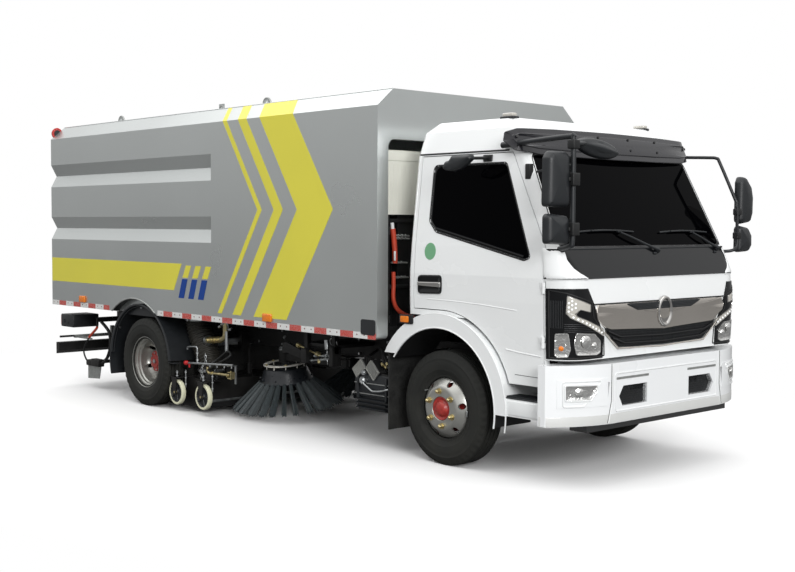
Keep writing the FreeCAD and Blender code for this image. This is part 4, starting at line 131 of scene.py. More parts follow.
@dataclass(frozen=True)
class Finish:
    """A surface with its colour, sheen and the small unevenness that the real one has.

    Attributes:
        name: What the material is and how it was made.
        colour: Its sRGB colour.
        roughness: Of the bare surface.
        metallic: One for bare metal.
        coat: Share of a clear coat on top.
        grain_mm: Size of the finest visible grain.
        relief_mm: Height of that grain.
        mottle: How far the colour drifts across a panel.
        mottle_mm: How wide a patch of that drift is.
        dust: Share of grey road dust near the ground.
        clear: Share of light that passes through.
        glow: Strength of its own light.
        shine: Level of the plain reflection; half is that of common plastics.
    """

    name: str
    colour: str
    roughness: float
    metallic: float = 0.0
    coat: float = 0.0
    grain_mm: float = 2.0
    relief_mm: float = 0.0
    mottle: float = 0.05
    mottle_mm: float = 400.0
    dust: float = 0.0
    clear: float = 0.0
    glow: float = 0.0
    shine: float = 0.5

    def pattern(self, tree: bpy.types.NodeTree, place: bpy.types.NodeSocket) -> bpy.types.NodeSocket | Point:
        """Colour before drift and dust.

        Args:
            tree: The material's tree; not used here.
            place: Object coordinates; not used here.

        Returns:
            A colour socket, or one plain colour.
        """
        return linear(self.colour)[:3]

    def height(self, tree: bpy.types.NodeTree, place: bpy.types.NodeSocket) -> bpy.types.NodeSocket:
        """Relief of the surface, from zero to one.

        Args:
            tree: The material's tree.
            place: Object coordinates.

        Returns:
            A value socket.
        """
        return add_node(tree, "ShaderNodeTexNoise", {"Vector": place, "Scale": 1 / (self.grain_mm * MM),
                "Detail": 2.0}).outputs[0]

    def build(self) -> bpy.types.Material:
        """Make the material.

        Returns:
            The finished material.
        """
        material = bpy.data.materials.new(self.name)
        material.use_nodes = True
        tree = material.node_tree
        shader = tree.nodes["Principled BSDF"]
        place = add_node(tree, "ShaderNodeTexCoord").outputs["Object"]
        drift = add_node(tree, "ShaderNodeTexNoise", {"Vector": place, "Scale": 1 / (self.mottle_mm * MM),
                "Detail": 5.0})
        if self.mottle:
            spread = add_node(tree, "ShaderNodeMapRange", {"Value": drift.outputs[0], "From Min": 0.3,
                    "From Max": 0.7, "To Min": 1 - self.mottle, "To Max": 1 + self.mottle})
            plain = self.pattern(tree, place)
            colour = add_node(tree, "ShaderNodeVectorMath", {0: plain, 1: spread.outputs[0]},
                operation="MULTIPLY").outputs[0]
            if self.dust:
                colour = self.dusty(tree, place, drift.outputs[0], colour)
            tree.links.new(colour, shader.inputs["Base Color"])
        else:
            shader.inputs["Base Color"].default_value = linear(self.colour)
        gloss = add_node(tree, "ShaderNodeMapRange", {
            "Value": drift.outputs[0], "From Min": 0.3, "From Max": 0.7,
            "To Min": self.roughness * 0.88, "To Max": min(self.roughness * 1.12, 1.0)})
        tree.links.new(gloss.outputs[0], shader.inputs["Roughness"])
        shader.inputs["Metallic"].default_value = self.metallic
        shader.inputs["Coat Weight"].default_value = self.coat
        shader.inputs["Coat Roughness"].default_value = 0.04
        shader.inputs["Specular IOR Level"].default_value = self.shine
        shader.inputs["Transmission Weight"].default_value = self.clear
        if self.glow:
            shader.inputs["Emission Color"].default_value = linear(self.colour)
            shader.inputs["Emission Strength"].default_value = self.glow
        if self.relief_mm:
            bump = add_node(tree, "ShaderNodeBump", {"Height": self.height(tree, place), "Distance": self.relief_mm
                    * MM, "Strength": 1.0})
            tree.links.new(bump.outputs[0], shader.inputs["Normal"])
        return material

    def dusty(self, tree: bpy.types.NodeTree, place: bpy.types.NodeSocket, drift: bpy.types.NodeSocket,
              colour: bpy.types.NodeSocket) -> bpy.types.NodeSocket:
        """Lay road dust over the lower parts, thicker near the ground.

        Args:
            tree: The material's tree.
            place: Object coordinates.
            drift: Slow noise that breaks the dust up.
            colour: The clean colour.

        Returns:
            The colour with dust.
        """
        level = add_node(tree, "ShaderNodeSeparateXYZ", {0: place}).outputs[2]
        fade = add_node(tree, "ShaderNodeMapRange", {"Value": level, "From Min": 0.1, "From Max": 1.0, "To Min": 1.0,
                "To Max": 0.25})
        share = maths(tree, "MULTIPLY", maths(tree, "MULTIPLY", fade.outputs[0], drift), self.dust)
        return blend(tree, share, colour, linear("#8a8273"))


@dataclass(frozen=True)
class Split(Finish):
    """Two colours that meet at a straight line, as where a painted skin ends in bare plastic.

    Attributes:
        other: Colour on the low side.
        axis: 0, 1 or 2 for the coordinate that is compared.
        edge: Where the colours meet, in metres.
        mirrored: Whether the coordinate's size counts, not its sign.
    """

    other: str = "#151617"
    axis: int = 2
    edge: float = 0.0
    mirrored: bool = False

    def pattern(self, tree: bpy.types.NodeTree, place: bpy.types.NodeSocket) -> bpy.types.NodeSocket:
        """Choose one of the two colours by position.

        Args:
            tree: The material's tree.
            place: Object coordinates.

        Returns:
            A colour socket.
        """
        value = add_node(tree, "ShaderNodeSeparateXYZ", {0: place}).outputs[self.axis]
        if self.mirrored:
            value = maths(tree, "ABSOLUTE", value)
        return blend(tree, maths(tree, "GREATER_THAN", value, self.edge), linear(self.other), linear(self.colour))


@dataclass(frozen=True)
class Tape(Finish):
    """Reflective marking tape in red and white lengths, with its fine cell pattern.

    Attributes:
        red: Colour of the red lengths.
        length: Of one red and one white length together, in metres.
        share: Part of that length that is red.
        start: Where one red length begins.
        cells: Cells along one metre.
        faint: How strongly the seams between the cells show.
    """

    red: str = "#b23427"
    length: float = 0.311
    share: float = 0.48
    start: float = 0.005
    cells: float = 110.0
    faint: float = 0.22

    def pattern(self, tree: bpy.types.NodeTree, place: bpy.types.NodeSocket) -> bpy.types.NodeSocket:
        """Alternate the two colours along the vehicle and draw the cells' seams.

        Args:
            tree: The material's tree.
            place: Object coordinates.

        Returns:
            A colour socket.
        """
        axes = add_node(tree, "ShaderNodeSeparateXYZ", {0: place}).outputs
        shifted = maths(tree, "ADD", axes[0], 100 * self.length - self.start)
        is_red = maths(tree, "LESS_THAN", maths(tree, "FLOORED_MODULO", shifted, self.length),
            self.length * self.share)
        cells = add_node(tree, "ShaderNodeTexVoronoi", {"Vector": place, "Scale": self.cells},
            feature="DISTANCE_TO_EDGE").outputs[0]
        seam = maths(tree, "LESS_THAN", cells, 0.06)
        plain = blend(tree, is_red, linear(self.colour), linear(self.red))
        return blend(tree, maths(tree, "MULTIPLY", seam, self.faint), plain, linear("#ffffff"))


@dataclass(frozen=True)
class Cloth(Finish):
    """Woven seat cloth: two crossed sets of threads.

    Attributes:
        thread_mm: Spacing of the threads, drawn coarser than real so that it shows.
    """

    thread_mm: float = 4.0

    def height(self, tree: bpy.types.NodeTree, place: bpy.types.NodeSocket) -> bpy.types.NodeSocket:
        """Threads along and across, one over the other.

        Args:
            tree: The material's tree.
            place: Object coordinates.

        Returns:
            A value socket.
        """
        waves = [add_node(tree, "ShaderNodeTexWave", {"Vector": place, "Scale": 1 / (self.thread_mm * MM * 6.3)},
                bands_direction=way).outputs[1] for way in ("X", "Y")]
        return maths(tree, "MULTIPLY", *waves)


class Paint(Enum):
    """Every finish on the vehicle."""

    # Polyester topcoat sprayed on pressed steel: bright, glossy, with a faint orange peel.
    CAB_WHITE = Finish("cab_topcoat_white", "#e9ebeb", 0.28, coat=0.9, grain_mm=9, relief_mm=0.012, mottle=0.012,
        mottle_mm=900)
    # Two-pack paint rolled out on welded sheet: satin grey with slow drifts of sheen.
    BODY_GREY = Finish("body_two_pack_grey", "#c8cccb", 0.3, metallic=0.85, coat=0.05, grain_mm=14, relief_mm=0.02,
        mottle=0.03, mottle_mm=1300)
    # Powder coat on fan cover: warm off-white, fine texture, set lighter than its own colour as painted light against
    # the shade that it gets behind the cab.
    COVER_BEIGE = Finish("cover_beige_painted_light", "#dadad0", 0.5, grain_mm=3, relief_mm=0.04, mottle=0.04)
    # Waxed chassis enamel: near black with a film of road dust.
    CHASSIS_BLACK = Finish("chassis_enamel_black", "#101113", 0.5, grain_mm=5, relief_mm=0.15, mottle=0.2,
        mottle_mm=90, dust=0.06, shine=0.35)
    # Injection-moulded ABS polished to a mirror: piano black.
    PIANO_BLACK = Finish("polished_abs_black", "#0e0f11", 0.12, mottle=0.02, shine=0.25)
    # Smoked acrylic of the visor: dark grey-brown with a soft gloss.
    SMOKED = Finish("smoked_acrylic", "#1f1f23", 0.18, coat=0.25, mottle=0.03)
    # Moulded polypropylene with a leather-like grain.
    GRAINED = Finish("grained_polypropylene", "#1a1d20", 0.46, grain_mm=2.2, relief_mm=0.12, mottle=0.08,
        mottle_mm=120)
    # Extruded EPDM seal: matt black, slightly waxy.
    SEAL = Finish("epdm_seal", "#0e0f10", 0.55, grain_mm=3, relief_mm=0.03, mottle=0.08, mottle_mm=150)
    # Cured tyre compound: matt, slightly brown with dust on the wall.
    TYRE = Finish("tyre_compound", "#1b1d1c", 0.78, grain_mm=2.5, relief_mm=0.12, mottle=0.16, mottle_mm=130,
        dust=0.07, shine=0.3)
    # Ribbed or woven rubber sheet of flaps: black with white scuffs.
    FLAP = Finish("flap_rubber", "#141617", 0.6, grain_mm=14, relief_mm=3.0, mottle=0.3, mottle_mm=60, dust=0.08)
    # Silver wheel lacquer on pressed steel.
    WHEEL_SILVER = Finish("wheel_lacquer_silver", "#a5a5a0", 0.34, metallic=0.75, coat=0.4, grain_mm=2,
        relief_mm=0.02, mottle=0.05, mottle_mm=70)
    # Red enamel of the hub, chipped and dusty.
    HUB_RED = Finish("hub_enamel_red", "#9c2f29", 0.42, coat=0.1, grain_mm=6, relief_mm=0.1, mottle=0.22,
        mottle_mm=30)
    # Turned and zinc-plated steel.
    ZINC = Finish("zinc_plated_steel", "#b9bcbd", 0.33, metallic=1.0, grain_mm=1.5, relief_mm=0.02, mottle=0.1,
        mottle_mm=40)
    # Yellow-passivated zinc: brassy with a rainbow drift.
    YELLOW_ZINC = Finish("yellow_passivated_zinc", "#c4b689", 0.32, metallic=0.9, grain_mm=2, relief_mm=0.03,
        mottle=0.25, mottle_mm=25)
    # Chromed ABS: a clear mirror.
    CHROME = Finish("chromed_abs", "#c9c7c4", 0.07, metallic=1.0, mottle=0.03)
    # Dark chrome of the grille band: a warm grey mirror.
    DARK_CHROME = Finish("smoked_chrome", "#e2dcd4", 0.18, metallic=1.0, mottle=0.04)
    # Laminated glass, mirror-smooth and opaque: its near-black colour is painted shade for the dark cab behind it.
    GLASS = Finish("laminated_glass_painted_shade", "#020203", 0.04, mottle=0.0, shine=0.02)
    # Gloss ABS of lamp housings, painted darker than the open panels as shade for their place deep behind the cover.
    HOUSING = Finish("lamp_housing_painted_shade", "#0d0e10", 0.14, mottle=0.02, shine=0.3)
    # Clear polycarbonate cover: seen mostly by its shine.
    LENS = Finish("clear_polycarbonate", "#ffffff", 0.02, mottle=0.0, clear=1.0)
    # Aluminised bowl behind a lens, broken into facets.
    REFLECTOR = Finish("aluminised_reflector", "#e2e2e0", 0.14, metallic=1.0, grain_mm=16, relief_mm=4.0, mottle=0.1,
        mottle_mm=40)
    # White diffuser over light-emitting diodes.
    DIODE = Finish("diode_diffuser", "#f4f6f8", 0.2, coat=0.5, mottle=0.02, glow=0.25)
    # Pearl-grey light guide round the diodes.
    GUIDE = Finish("light_guide_grey", "#b9b6ae", 0.2, coat=0.8, mottle=0.06, mottle_mm=40)
    # Orange polycarbonate lens.
    AMBER = Finish("amber_polycarbonate", "#e07812", 0.22, coat=0.3, grain_mm=4, relief_mm=0.2, mottle=0.12,
        mottle_mm=18)
    # Red acrylic lens with prisms.
    RED_LENS = Finish("red_acrylic_lens", "#b0231d", 0.16, coat=0.9, grain_mm=4, relief_mm=0.2, mottle=0.1,
        mottle_mm=18)
    # Cast vinyl film, lemon yellow.
    FILM_YELLOW = Finish("cast_film_yellow", "#d8d044", 0.42, coat=0.05, mottle=0.02)
    # Cast vinyl film, mid blue.
    FILM_BLUE = Finish("cast_film_blue", "#0e3c8a", 0.45, shine=0.25, mottle=0.02)
    # Cast vinyl film, leaf green.
    FILM_GREEN = Finish("cast_film_green", "#6aa179", 0.4, mottle=0.03)
    # Microprismatic marking tape.
    TAPE = Tape("microprismatic_tape", "#d3d4d2", 0.4, coat=0.1, shine=0.25, mottle=0.03, grain_mm=4, relief_mm=0.1)
    # Painted rivet heads through the tape, dark red.
    RIVET = Finish("rivet_paint_red", "#6d3533", 0.5, mottle=0.2, mottle_mm=30)
    # The same tape on a shorter repeat behind the wheels.
    TAPE_REAR = Tape("microprismatic_tape_rear", "#d3d4d2", 0.4, coat=0.1, shine=0.25, mottle=0.03, grain_mm=4,
        relief_mm=0.1, length=0.305, start=-3.245)
    # Polypropylene bristle, dark blue-grey with a dull sheen.
    BRISTLE = Finish("polypropylene_bristle", "#3a4143", 0.5, grain_mm=3, relief_mm=0.3, mottle=0.3, mottle_mm=20)
    # Gloss powder coat of the brooms' hoods: black with scuffs.
    HOOD = Finish("hood_powder_black", "#23262a", 0.3, grain_mm=4, relief_mm=0.05, mottle=0.15, mottle_mm=40)
    # Brushed-on enamel of the brooms' rings: off-white over welded bar.
    RING_WHITE = Finish("ring_enamel_white", "#e6e3da", 0.45, grain_mm=4, relief_mm=0.1, mottle=0.12, mottle_mm=25)
    # Moulded nylon of water taps: signal red.
    TAP_RED = Finish("tap_nylon_red", "#c2282b", 0.4, grain_mm=3, relief_mm=0.03, mottle=0.08, mottle_mm=20)
    # Wire-wound rubber suction hose.
    HOSE = Finish("suction_hose_rubber", "#24231f", 0.5, grain_mm=3, relief_mm=0.1, mottle=0.15, mottle_mm=60,
        dust=0.12)
    # Orange-red corrugated conduit.
    CONDUIT = Finish("conduit_red", "#c2432a", 0.5, grain_mm=8, relief_mm=0.5, mottle=0.08, mottle_mm=50)
    # Cast polyurethane tread of castors, ivory.
    IVORY = Finish("cast_polyurethane_ivory", "#dddcc0", 0.42, grain_mm=4, relief_mm=0.06, mottle=0.06, mottle_mm=30)
    # Hot-dip galvanised plate.
    GALVANISED = Finish("galvanised_plate", "#a2a4a2", 0.45, metallic=0.7, grain_mm=12, relief_mm=0.05, mottle=0.14,
        mottle_mm=35)
    # Flat-woven polyester of seats, charcoal.
    SEAT_CLOTH = Cloth("woven_seat_polyester", "#2c2e33", 0.85, relief_mm=0.7, mottle=0.08, mottle_mm=60)
    # Bumper moulding: gloss white above, the textured black valance moulded with it below.
    BUMPER = Split("bumper_topcoat_white", "#eceeef", 0.3, coat=0.8, grain_mm=9, relief_mm=0.012, mottle=0.012,
        mottle_mm=900, edge=0.4095)
    # Bumper's lower band: greyer than the white above, with a thinner clear coat.
    BUMPER_BAND = Finish("bumper_lower_band", "#c9cac8", 0.4, coat=0.4, grain_mm=9, relief_mm=0.012, mottle=0.03,
        mottle_mm=300)
    # Arch moulding: gloss white on the outside, black plastic further in.
    FENDER = Split("fender_topcoat_white", "#e9ebeb", 0.3, coat=0.8, grain_mm=9, relief_mm=0.012, mottle=0.012,
        mottle_mm=900, axis=1, edge=0.63, mirrored=True)

    def material(self) -> bpy.types.Material:
        """Make the material once, then hand out the same one.

        Returns:
            The material.
        """
        made = bpy.data.materials.get(self.value.name)
        return made or self.value.build()


def dress(node: str, finish: Paint) -> None:
    """Give a carried-over CAD node its finish.

    Args:
        node: The node's name.
        finish: What it wears.
    """
    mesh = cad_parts[node].data
    mesh.materials.clear()
    mesh.materials.append(finish.material())
    LOG.info("dressed %s in %s", node, finish.value.name)


# ---------------------------------------------------------------- shaping


class Shape:
    """A mesh under construction, in metres in the vehicle's frame."""

    def __init__(self) -> None:
        """Start with an empty mesh."""
        self.bm = bmesh.new()

    def grow(self, made: Iterable) -> list:
        """Collect the vertices of what an operator has just made.

        Args:
            made: Vertices, edges and faces.

        Returns:
            The vertices alone.
        """
        return [item for item in made if isinstance(item, bmesh.types.BMVert)]

    def faces(self, points: Sequence[Point], loops: Sequence[Sequence[int]]) -> list:
        """Add points and faces between them.

        Args:
            points: Corners.
            loops: Corner numbers of each face.

        Returns:
            The new vertices.
        """
        verts = [self.bm.verts.new(p) for p in points]
        for loop in loops:
            self.bm.faces.new([verts[i] for i in loop])
        return verts

    def prism(self, outline: Sequence[Flat], axis: int, low: float, high: float, bevel: float = 0.0) -> Shape:
        """Run a flat outline along one axis.

        Args:
            outline: Corners as the two other coordinates in order.
            axis: 0, 1 or 2.
            low: Where the run starts.
            high: Where it ends.
            bevel: Width of the rounded edges.

        Returns:
            The shape itself.
        """
        count = len(outline)
        points = []
        for level in (low, high):
            for a, b in outline:
                point = [a, b]
                point.insert(axis, level)
                points.append(tuple(point))
        loops = [tuple(range(count))[::-1], tuple(range(count, 2 * count))]
        loops += [(i, (i + 1) % count, count + (i + 1) % count, count + i) for i in range(count)]
        return self.round_off(self.faces(points, loops), bevel)

    def round_off(self, verts: list, bevel: float, segments: int = 3) -> Shape:
        """Turn faces outwards and round the edges between the given vertices.

        Args:
            verts: Vertices of one closed solid.
            bevel: Width of the rounded edges, or zero.
            segments: Steps across each edge.

        Returns:
            The shape itself.
        """
        faces = {face for vert in verts for face in vert.link_faces}
        bmesh.ops.recalc_face_normals(self.bm, faces=list(faces))
        if bevel:
            edges = {edge for vert in verts for edge in vert.link_edges}
            bmesh.ops.bevel(self.bm, geom=list(edges), offset=bevel, offset_type="OFFSET", segments=segments,
                profile=0.5, affect="EDGES", clamp_overlap=True)
        return self

    def box(self, low: Point, high: Point, bevel: float = 0.0) -> Shape:
        """Add a box between any two opposite corners, with rounded edges where asked.

        Args:
            low: One corner.
            high: The corner across from it.
            bevel: Width of the rounded edges, or zero.

        Returns:
            The shape itself.
        """
        (x0, x1), (y0, y1), (z0, z1) = (sorted(ends) for ends in zip(low, high))
        return self.prism([(x0, y0), (x1, y0), (x1, y1), (x0, y1)], 2, z0, z1, bevel)

    def lathe(self, profile: Sequence[Flat], centre: Point, axis: Point = (0, 1, 0), steps: int = 48,
            closed: bool = True) -> Shape:
        """Turn a profile about an axis.

        Args:
            profile: Radius and distance along the axis.
            centre: A point on the axis.
            axis: Its direction.
            steps: Sides of the turned shape.
            closed: Whether the profile's ends join.

        Returns:
            The shape itself.
        """
        turn = Vector((0, 0, 1)).rotation_difference(Vector(axis)).to_matrix()
        rings = []
        for step in range(steps):
            angle = 2 * math.pi * step / steps
            rings.append([self.bm.verts.new(Vector(centre) + turn @ Vector((r * math.cos(angle), r * math.sin(angle),
                                t))) for r, t in profile])
        last = len(profile) if closed else len(profile) - 1
        for step in range(steps):
            here, there = rings[step], rings[(step + 1) % steps]
            for i in range(last):
                j = (i + 1) % len(profile)
                self.bm.faces.new((here[i], there[i], there[j], here[j]))
        verts = [v for ring in rings for v in ring]
        bmesh.ops.remove_doubles(self.bm, verts=verts, dist=1e-6)
        verts = [v for v in verts if v.is_valid]
        return self.round_off(verts, 0)

    def rod(self, start: Point, end: Point, radius: float, sides: int = 16, tip: float | None = None) -> Shape:
        """Add a round bar between two points, or a cone when the tip differs.

        Args:
            start: Middle of its foot.
            end: Middle of its tip.
            radius: Radius at the foot.
            sides: Sides round it.
            tip: Radius at the tip, where it differs.

        Returns:
            The shape itself.
        """
        run = Vector(end) - Vector(start)
        tip = radius if tip is None else tip
        return self.lathe([(0, 0), (radius, 0), (tip, run.length), (0, run.length)], start, tuple(run.normalized()),
            sides, closed=False)

    def sweep(self, path: Sequence[Point], radius: float | Callable[[float], float], sides: int = 12,
            ring: bool = False) -> Shape:
        """Run a round section along a smooth path.

        Args:
            path: Points that the tube passes through.
            radius: Its radius, or a rule from the share of the path.
            sides: Sides of the section.
            ring: Whether the path closes on itself.

        Returns:
            The shape itself.
        """
        points = [Vector(p) for p in path]
        count = len(points)
        rings = []
        normal = None
        for i, point in enumerate(points):
            before = points[i - 1] if ring or i else point
            after = points[(i + 1) % count] if ring or i < count - 1 else point
            ahead = (after - before).normalized()
            if normal is None:
                normal = ahead.orthogonal().normalized()
            normal = (normal - ahead * normal.dot(ahead)).normalized()
            side = ahead.cross(normal)
            size = radius(i / max(count - 1, 1)) if callable(radius) else radius
            rings.append([self.bm.verts.new(point + (normal * math.cos(a) + side * math.sin(a)) * size)
                          for a in (2 * math.pi * k / sides for k in range(sides))])
        pairs = list(zip(rings, rings[1:])) + ([(rings[-1], rings[0])] if ring else [])
        for here, there in pairs:
            for k in range(sides):
                self.bm.faces.new((here[k], here[(k + 1) % sides], there[(k + 1) % sides], there[k]))
        if not ring:
            self.bm.faces.new(rings[0][::-1])
            self.bm.faces.new(rings[-1])
        return self.round_off([v for r in rings for v in r], 0)

    def skin(self, rows: Sequence[Sequence[Point]], thick: float = 0.0, ring: bool = False) -> Shape:
        """Stretch a sheet over rows of points, then give it a wall.

        Args:
            rows: Rows with the same number of points.
            thick: Thickness, added against the faces' normals.
            ring: Whether each row closes on itself.

        Returns:
            The shape itself.
        """
        verts = [[self.bm.verts.new(p) for p in row] for row in rows]
        faces = []
        for here, there in zip(verts, verts[1:]):
            for k in range(len(here) - (0 if ring else 1)):
                j = (k + 1) % len(here)
                faces.append(self.bm.faces.new((here[k], here[j], there[j], there[k])))
        if thick:
            bmesh.ops.recalc_face_normals(self.bm, faces=faces)
            bmesh.ops.solidify(self.bm, geom=faces, thickness=thick)
        return self

    def mirrored(self) -> Shape:
        """Add the twin of everything across the vehicle's middle.

        Returns:
            The shape itself.
        """
        twin = bmesh.ops.duplicate(self.bm, geom=list(self.bm.verts) + list(self.bm.edges) + list(self.bm.faces))[
            "geom"]
        bmesh.ops.scale(self.bm, vec=(1, -1, 1), verts=self.grow(twin))
        bmesh.ops.reverse_faces(self.bm, faces=[item for item in twin if isinstance(item, bmesh.types.BMFace)])
        return self

    def flip(self) -> Shape:
        """Move everything across the vehicle's middle.

        Returns:
            The shape itself.
        """
        bmesh.ops.scale(self.bm, vec=(1, -1, 1), verts=self.bm.verts)
        bmesh.ops.reverse_faces(self.bm, faces=self.bm.faces)
        return self

    def turned(self, centre: Point, axis: Point, degrees: float) -> Shape:
        """Turn everything about an axis through a point.

        Args:
            centre: A point on the axis.
            axis: Its direction.
            degrees: How far it turns.

        Returns:
            The shape itself.
        """
        bmesh.ops.rotate(self.bm, cent=centre, matrix=Matrix.Rotation(math.radians(degrees), 3, axis),
            verts=self.bm.verts)
        return self

    def place(self, name: str, body: str, finish: Paint, slot: str | None = None, stands_for: Sequence[str] = (),
              smooth: float = 35.0) -> bpy.types.Object:
        """Turn the mesh into a piece of the vehicle.

        Args:
            name: The piece's name.
            body: The CAD body that it moves with.
            finish: What it wears.
            slot: The record's material slot, where one fits; not used.
            stands_for: CAD nodes that it takes the place of.
            smooth: Edges flatter than this many degrees are shaded smooth.

        Returns:
            The new object.
        """
        mesh = bpy.data.meshes.new(name)
        self.bm.to_mesh(mesh)
        self.bm.free()
        mesh.polygons.foreach_set("use_smooth", [True] * len(mesh.polygons))
        mesh.set_sharp_from_angle(angle=math.radians(smooth))
        mesh.materials.append(finish.material())
        item = bpy.data.objects.new(name, mesh)
        bpy.context.scene.collection.objects.link(item)
        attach(item, body)
        if stands_for:
            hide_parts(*stands_for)
        LOG.info("%s: %d faces on %s", name, len(mesh.polygons), body)
        return item


def turns(count: int, shift: float = 0.0) -> list[float]:
    """Angles of spots evenly spaced round a circle, moved on by a share of one step."""
    return [2 * math.pi * (k + shift) / count for k in range(count)]


def smooth_path(points: Sequence[Point], steps: int = 8, ring: bool = False) -> list[Vector]:
    """Pass a smooth line through points.

    Args:
        points: Points on the line.
        steps: Short runs between each two of them.
        ring: Whether the line closes.

    Returns:
        Points close together along the line.
    """
    spots = [Vector(p) for p in points]
    count = len(spots)
    line: list[Vector] = []
    for i in range(count if ring else count - 1):
        a, b = spots[i], spots[(i + 1) % count]
        before = spots[i - 1] if ring or i else a
        after = spots[(i + 2) % count] if ring or i + 2 < count else b
        line += interpolate_bezier(a, a + (b - before) / 6, b - (after - a) / 6, b, steps + 1)[:-1]
    return line if ring else [*line, spots[-1]]


def ring_of(centre: Point, radius: float, axis: Point, steps: int = 48) -> list[Vector]:
    """Points round a circle.

    Args:
        centre: The circle's middle.
        radius: Its radius.
        axis: Normal to its plane.
        steps: How many points.

    Returns:
        The points in order.
    """
    turn = Vector((0, 0, 1)).rotation_difference(Vector(axis)).to_matrix()
    return [Vector(centre) + turn @ Vector((radius * math.cos(a), radius * math.sin(a), 0))
            for a in (2 * math.pi * k / steps for k in range(steps))]


def rounded(outline: Sequence[Flat], radius: float, steps: int = 5) -> list[Flat]:
    """Round the corners of a flat outline.

    Args:
        outline: Its corners.
        radius: Of every corner, less where an edge is short.
        steps: Short edges per corner.

    Returns:
        The outline with its rounded corners.
    """
    corners = [Vector(p) for p in outline]
    count = len(corners)
    line: list[Flat] = []
    for i, corner in enumerate(corners):
        back = corners[i - 1] - corner
        ahead = corners[(i + 1) % count] - corner
        reach = min(radius / math.tan(max(back.angle(ahead), 0.2) / 2), back.length * 0.48, ahead.length * 0.48)
        start = corner + back.normalized() * reach
        end = corner + ahead.normalized() * reach
        for k in range(steps + 1):
            t = k / steps
            spot = start * (1 - t) ** 2 + corner * (2 * t * (1 - t)) + end * t**2
            line.append((spot.x, spot.y))
    return line


class Tree:
    """A geometry tree built in code, with named inputs."""

    def __init__(self, name: str, **inputs: float) -> None:
        """Start a tree.

        Args:
            name: Of the tree.
            **inputs: Each named size with its value.
        """
        self.group = bpy.data.node_groups.new(name, "GeometryNodeTree")
        self.group.interface.new_socket("Geometry", in_out="INPUT", socket_type="NodeSocketGeometry")
        self.values = inputs
        for key, value in inputs.items():
            kind = "NodeSocketInt" if isinstance(value, int) else "NodeSocketFloat"
            self.group.interface.new_socket(key, in_out="INPUT", socket_type=kind).default_value = value
        self.group.interface.new_socket("Geometry", in_out="OUTPUT", socket_type="NodeSocketGeometry")
        self.entry = add_node(self.group, "NodeGroupInput")

    def size(self, name: str) -> bpy.types.NodeSocket:
        """Socket of one named input."""
        return self.entry.outputs[name]

    def add(self, kind: str, links: dict | None = None, **settings) -> bpy.types.Node:
        """Add a node to this tree."""
        return add_node(self.group, kind, links, **settings)

    def finish(self, instances: bpy.types.NodeSocket, look: Paint) -> None:
        """End the tree: make the instances real and give them their material.

        Args:
            instances: What the tree has placed.
            look: What it wears.
        """
        real = self.add("GeometryNodeRealizeInstances", {0: instances})
        painted = self.add("GeometryNodeSetMaterial", {"Geometry": real.outputs[0], "Material": look.material()})
        self.add("NodeGroupOutput", {0: painted.outputs[0]})

    def grow(self, name: str, mesh: bpy.types.Mesh, body: str, slot: str | None = None,
            stands_for: Sequence[str] = (), smooth: float = 35.0, move: Matrix | None = None) -> bpy.types.Object:
        """Run the tree on a mesh and keep the result as a plain piece.

        Args:
            name: The piece's name.
            mesh: What the tree starts from.
            body: The CAD body that the piece moves with.
            slot: The record's material slot, where one fits; not used.
            stands_for: CAD nodes that it takes the place of.
            smooth: Edges flatter than this many degrees are shaded smooth.
            move: Where the result goes in the vehicle's frame.

        Returns:
            The new object.
        """
        item = bpy.data.objects.new(name + "_seed", mesh)
        bpy.context.scene.collection.objects.link(item)
        modifier = item.modifiers.new("grow", "NODES")
        modifier.node_group = self.group
        for socket in self.group.interface.items_tree:
            if socket.in_out == "INPUT" and socket.name in self.values:
                modifier[socket.identifier] = self.values[socket.name]
        graph = bpy.context.evaluated_depsgraph_get()
        made = bpy.data.meshes.new_from_object(item.evaluated_get(graph), depsgraph=graph)
        item.modifiers.remove(modifier)
        bpy.data.objects.remove(item)
        made.name = name
        if move:
            made.transform(move)
        made.polygons.foreach_set("use_smooth", [True] * len(made.polygons))
        made.set_sharp_from_angle(angle=math.radians(smooth))
        piece = bpy.data.objects.new(name, made)
        bpy.context.scene.collection.objects.link(piece)
        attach(piece, body)
        if stands_for:
            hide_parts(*stands_for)
        LOG.info("%s: %d faces grown on %s", name, len(made.polygons), body)
        return piece


# ---------------------------------------------------------------- hopper body


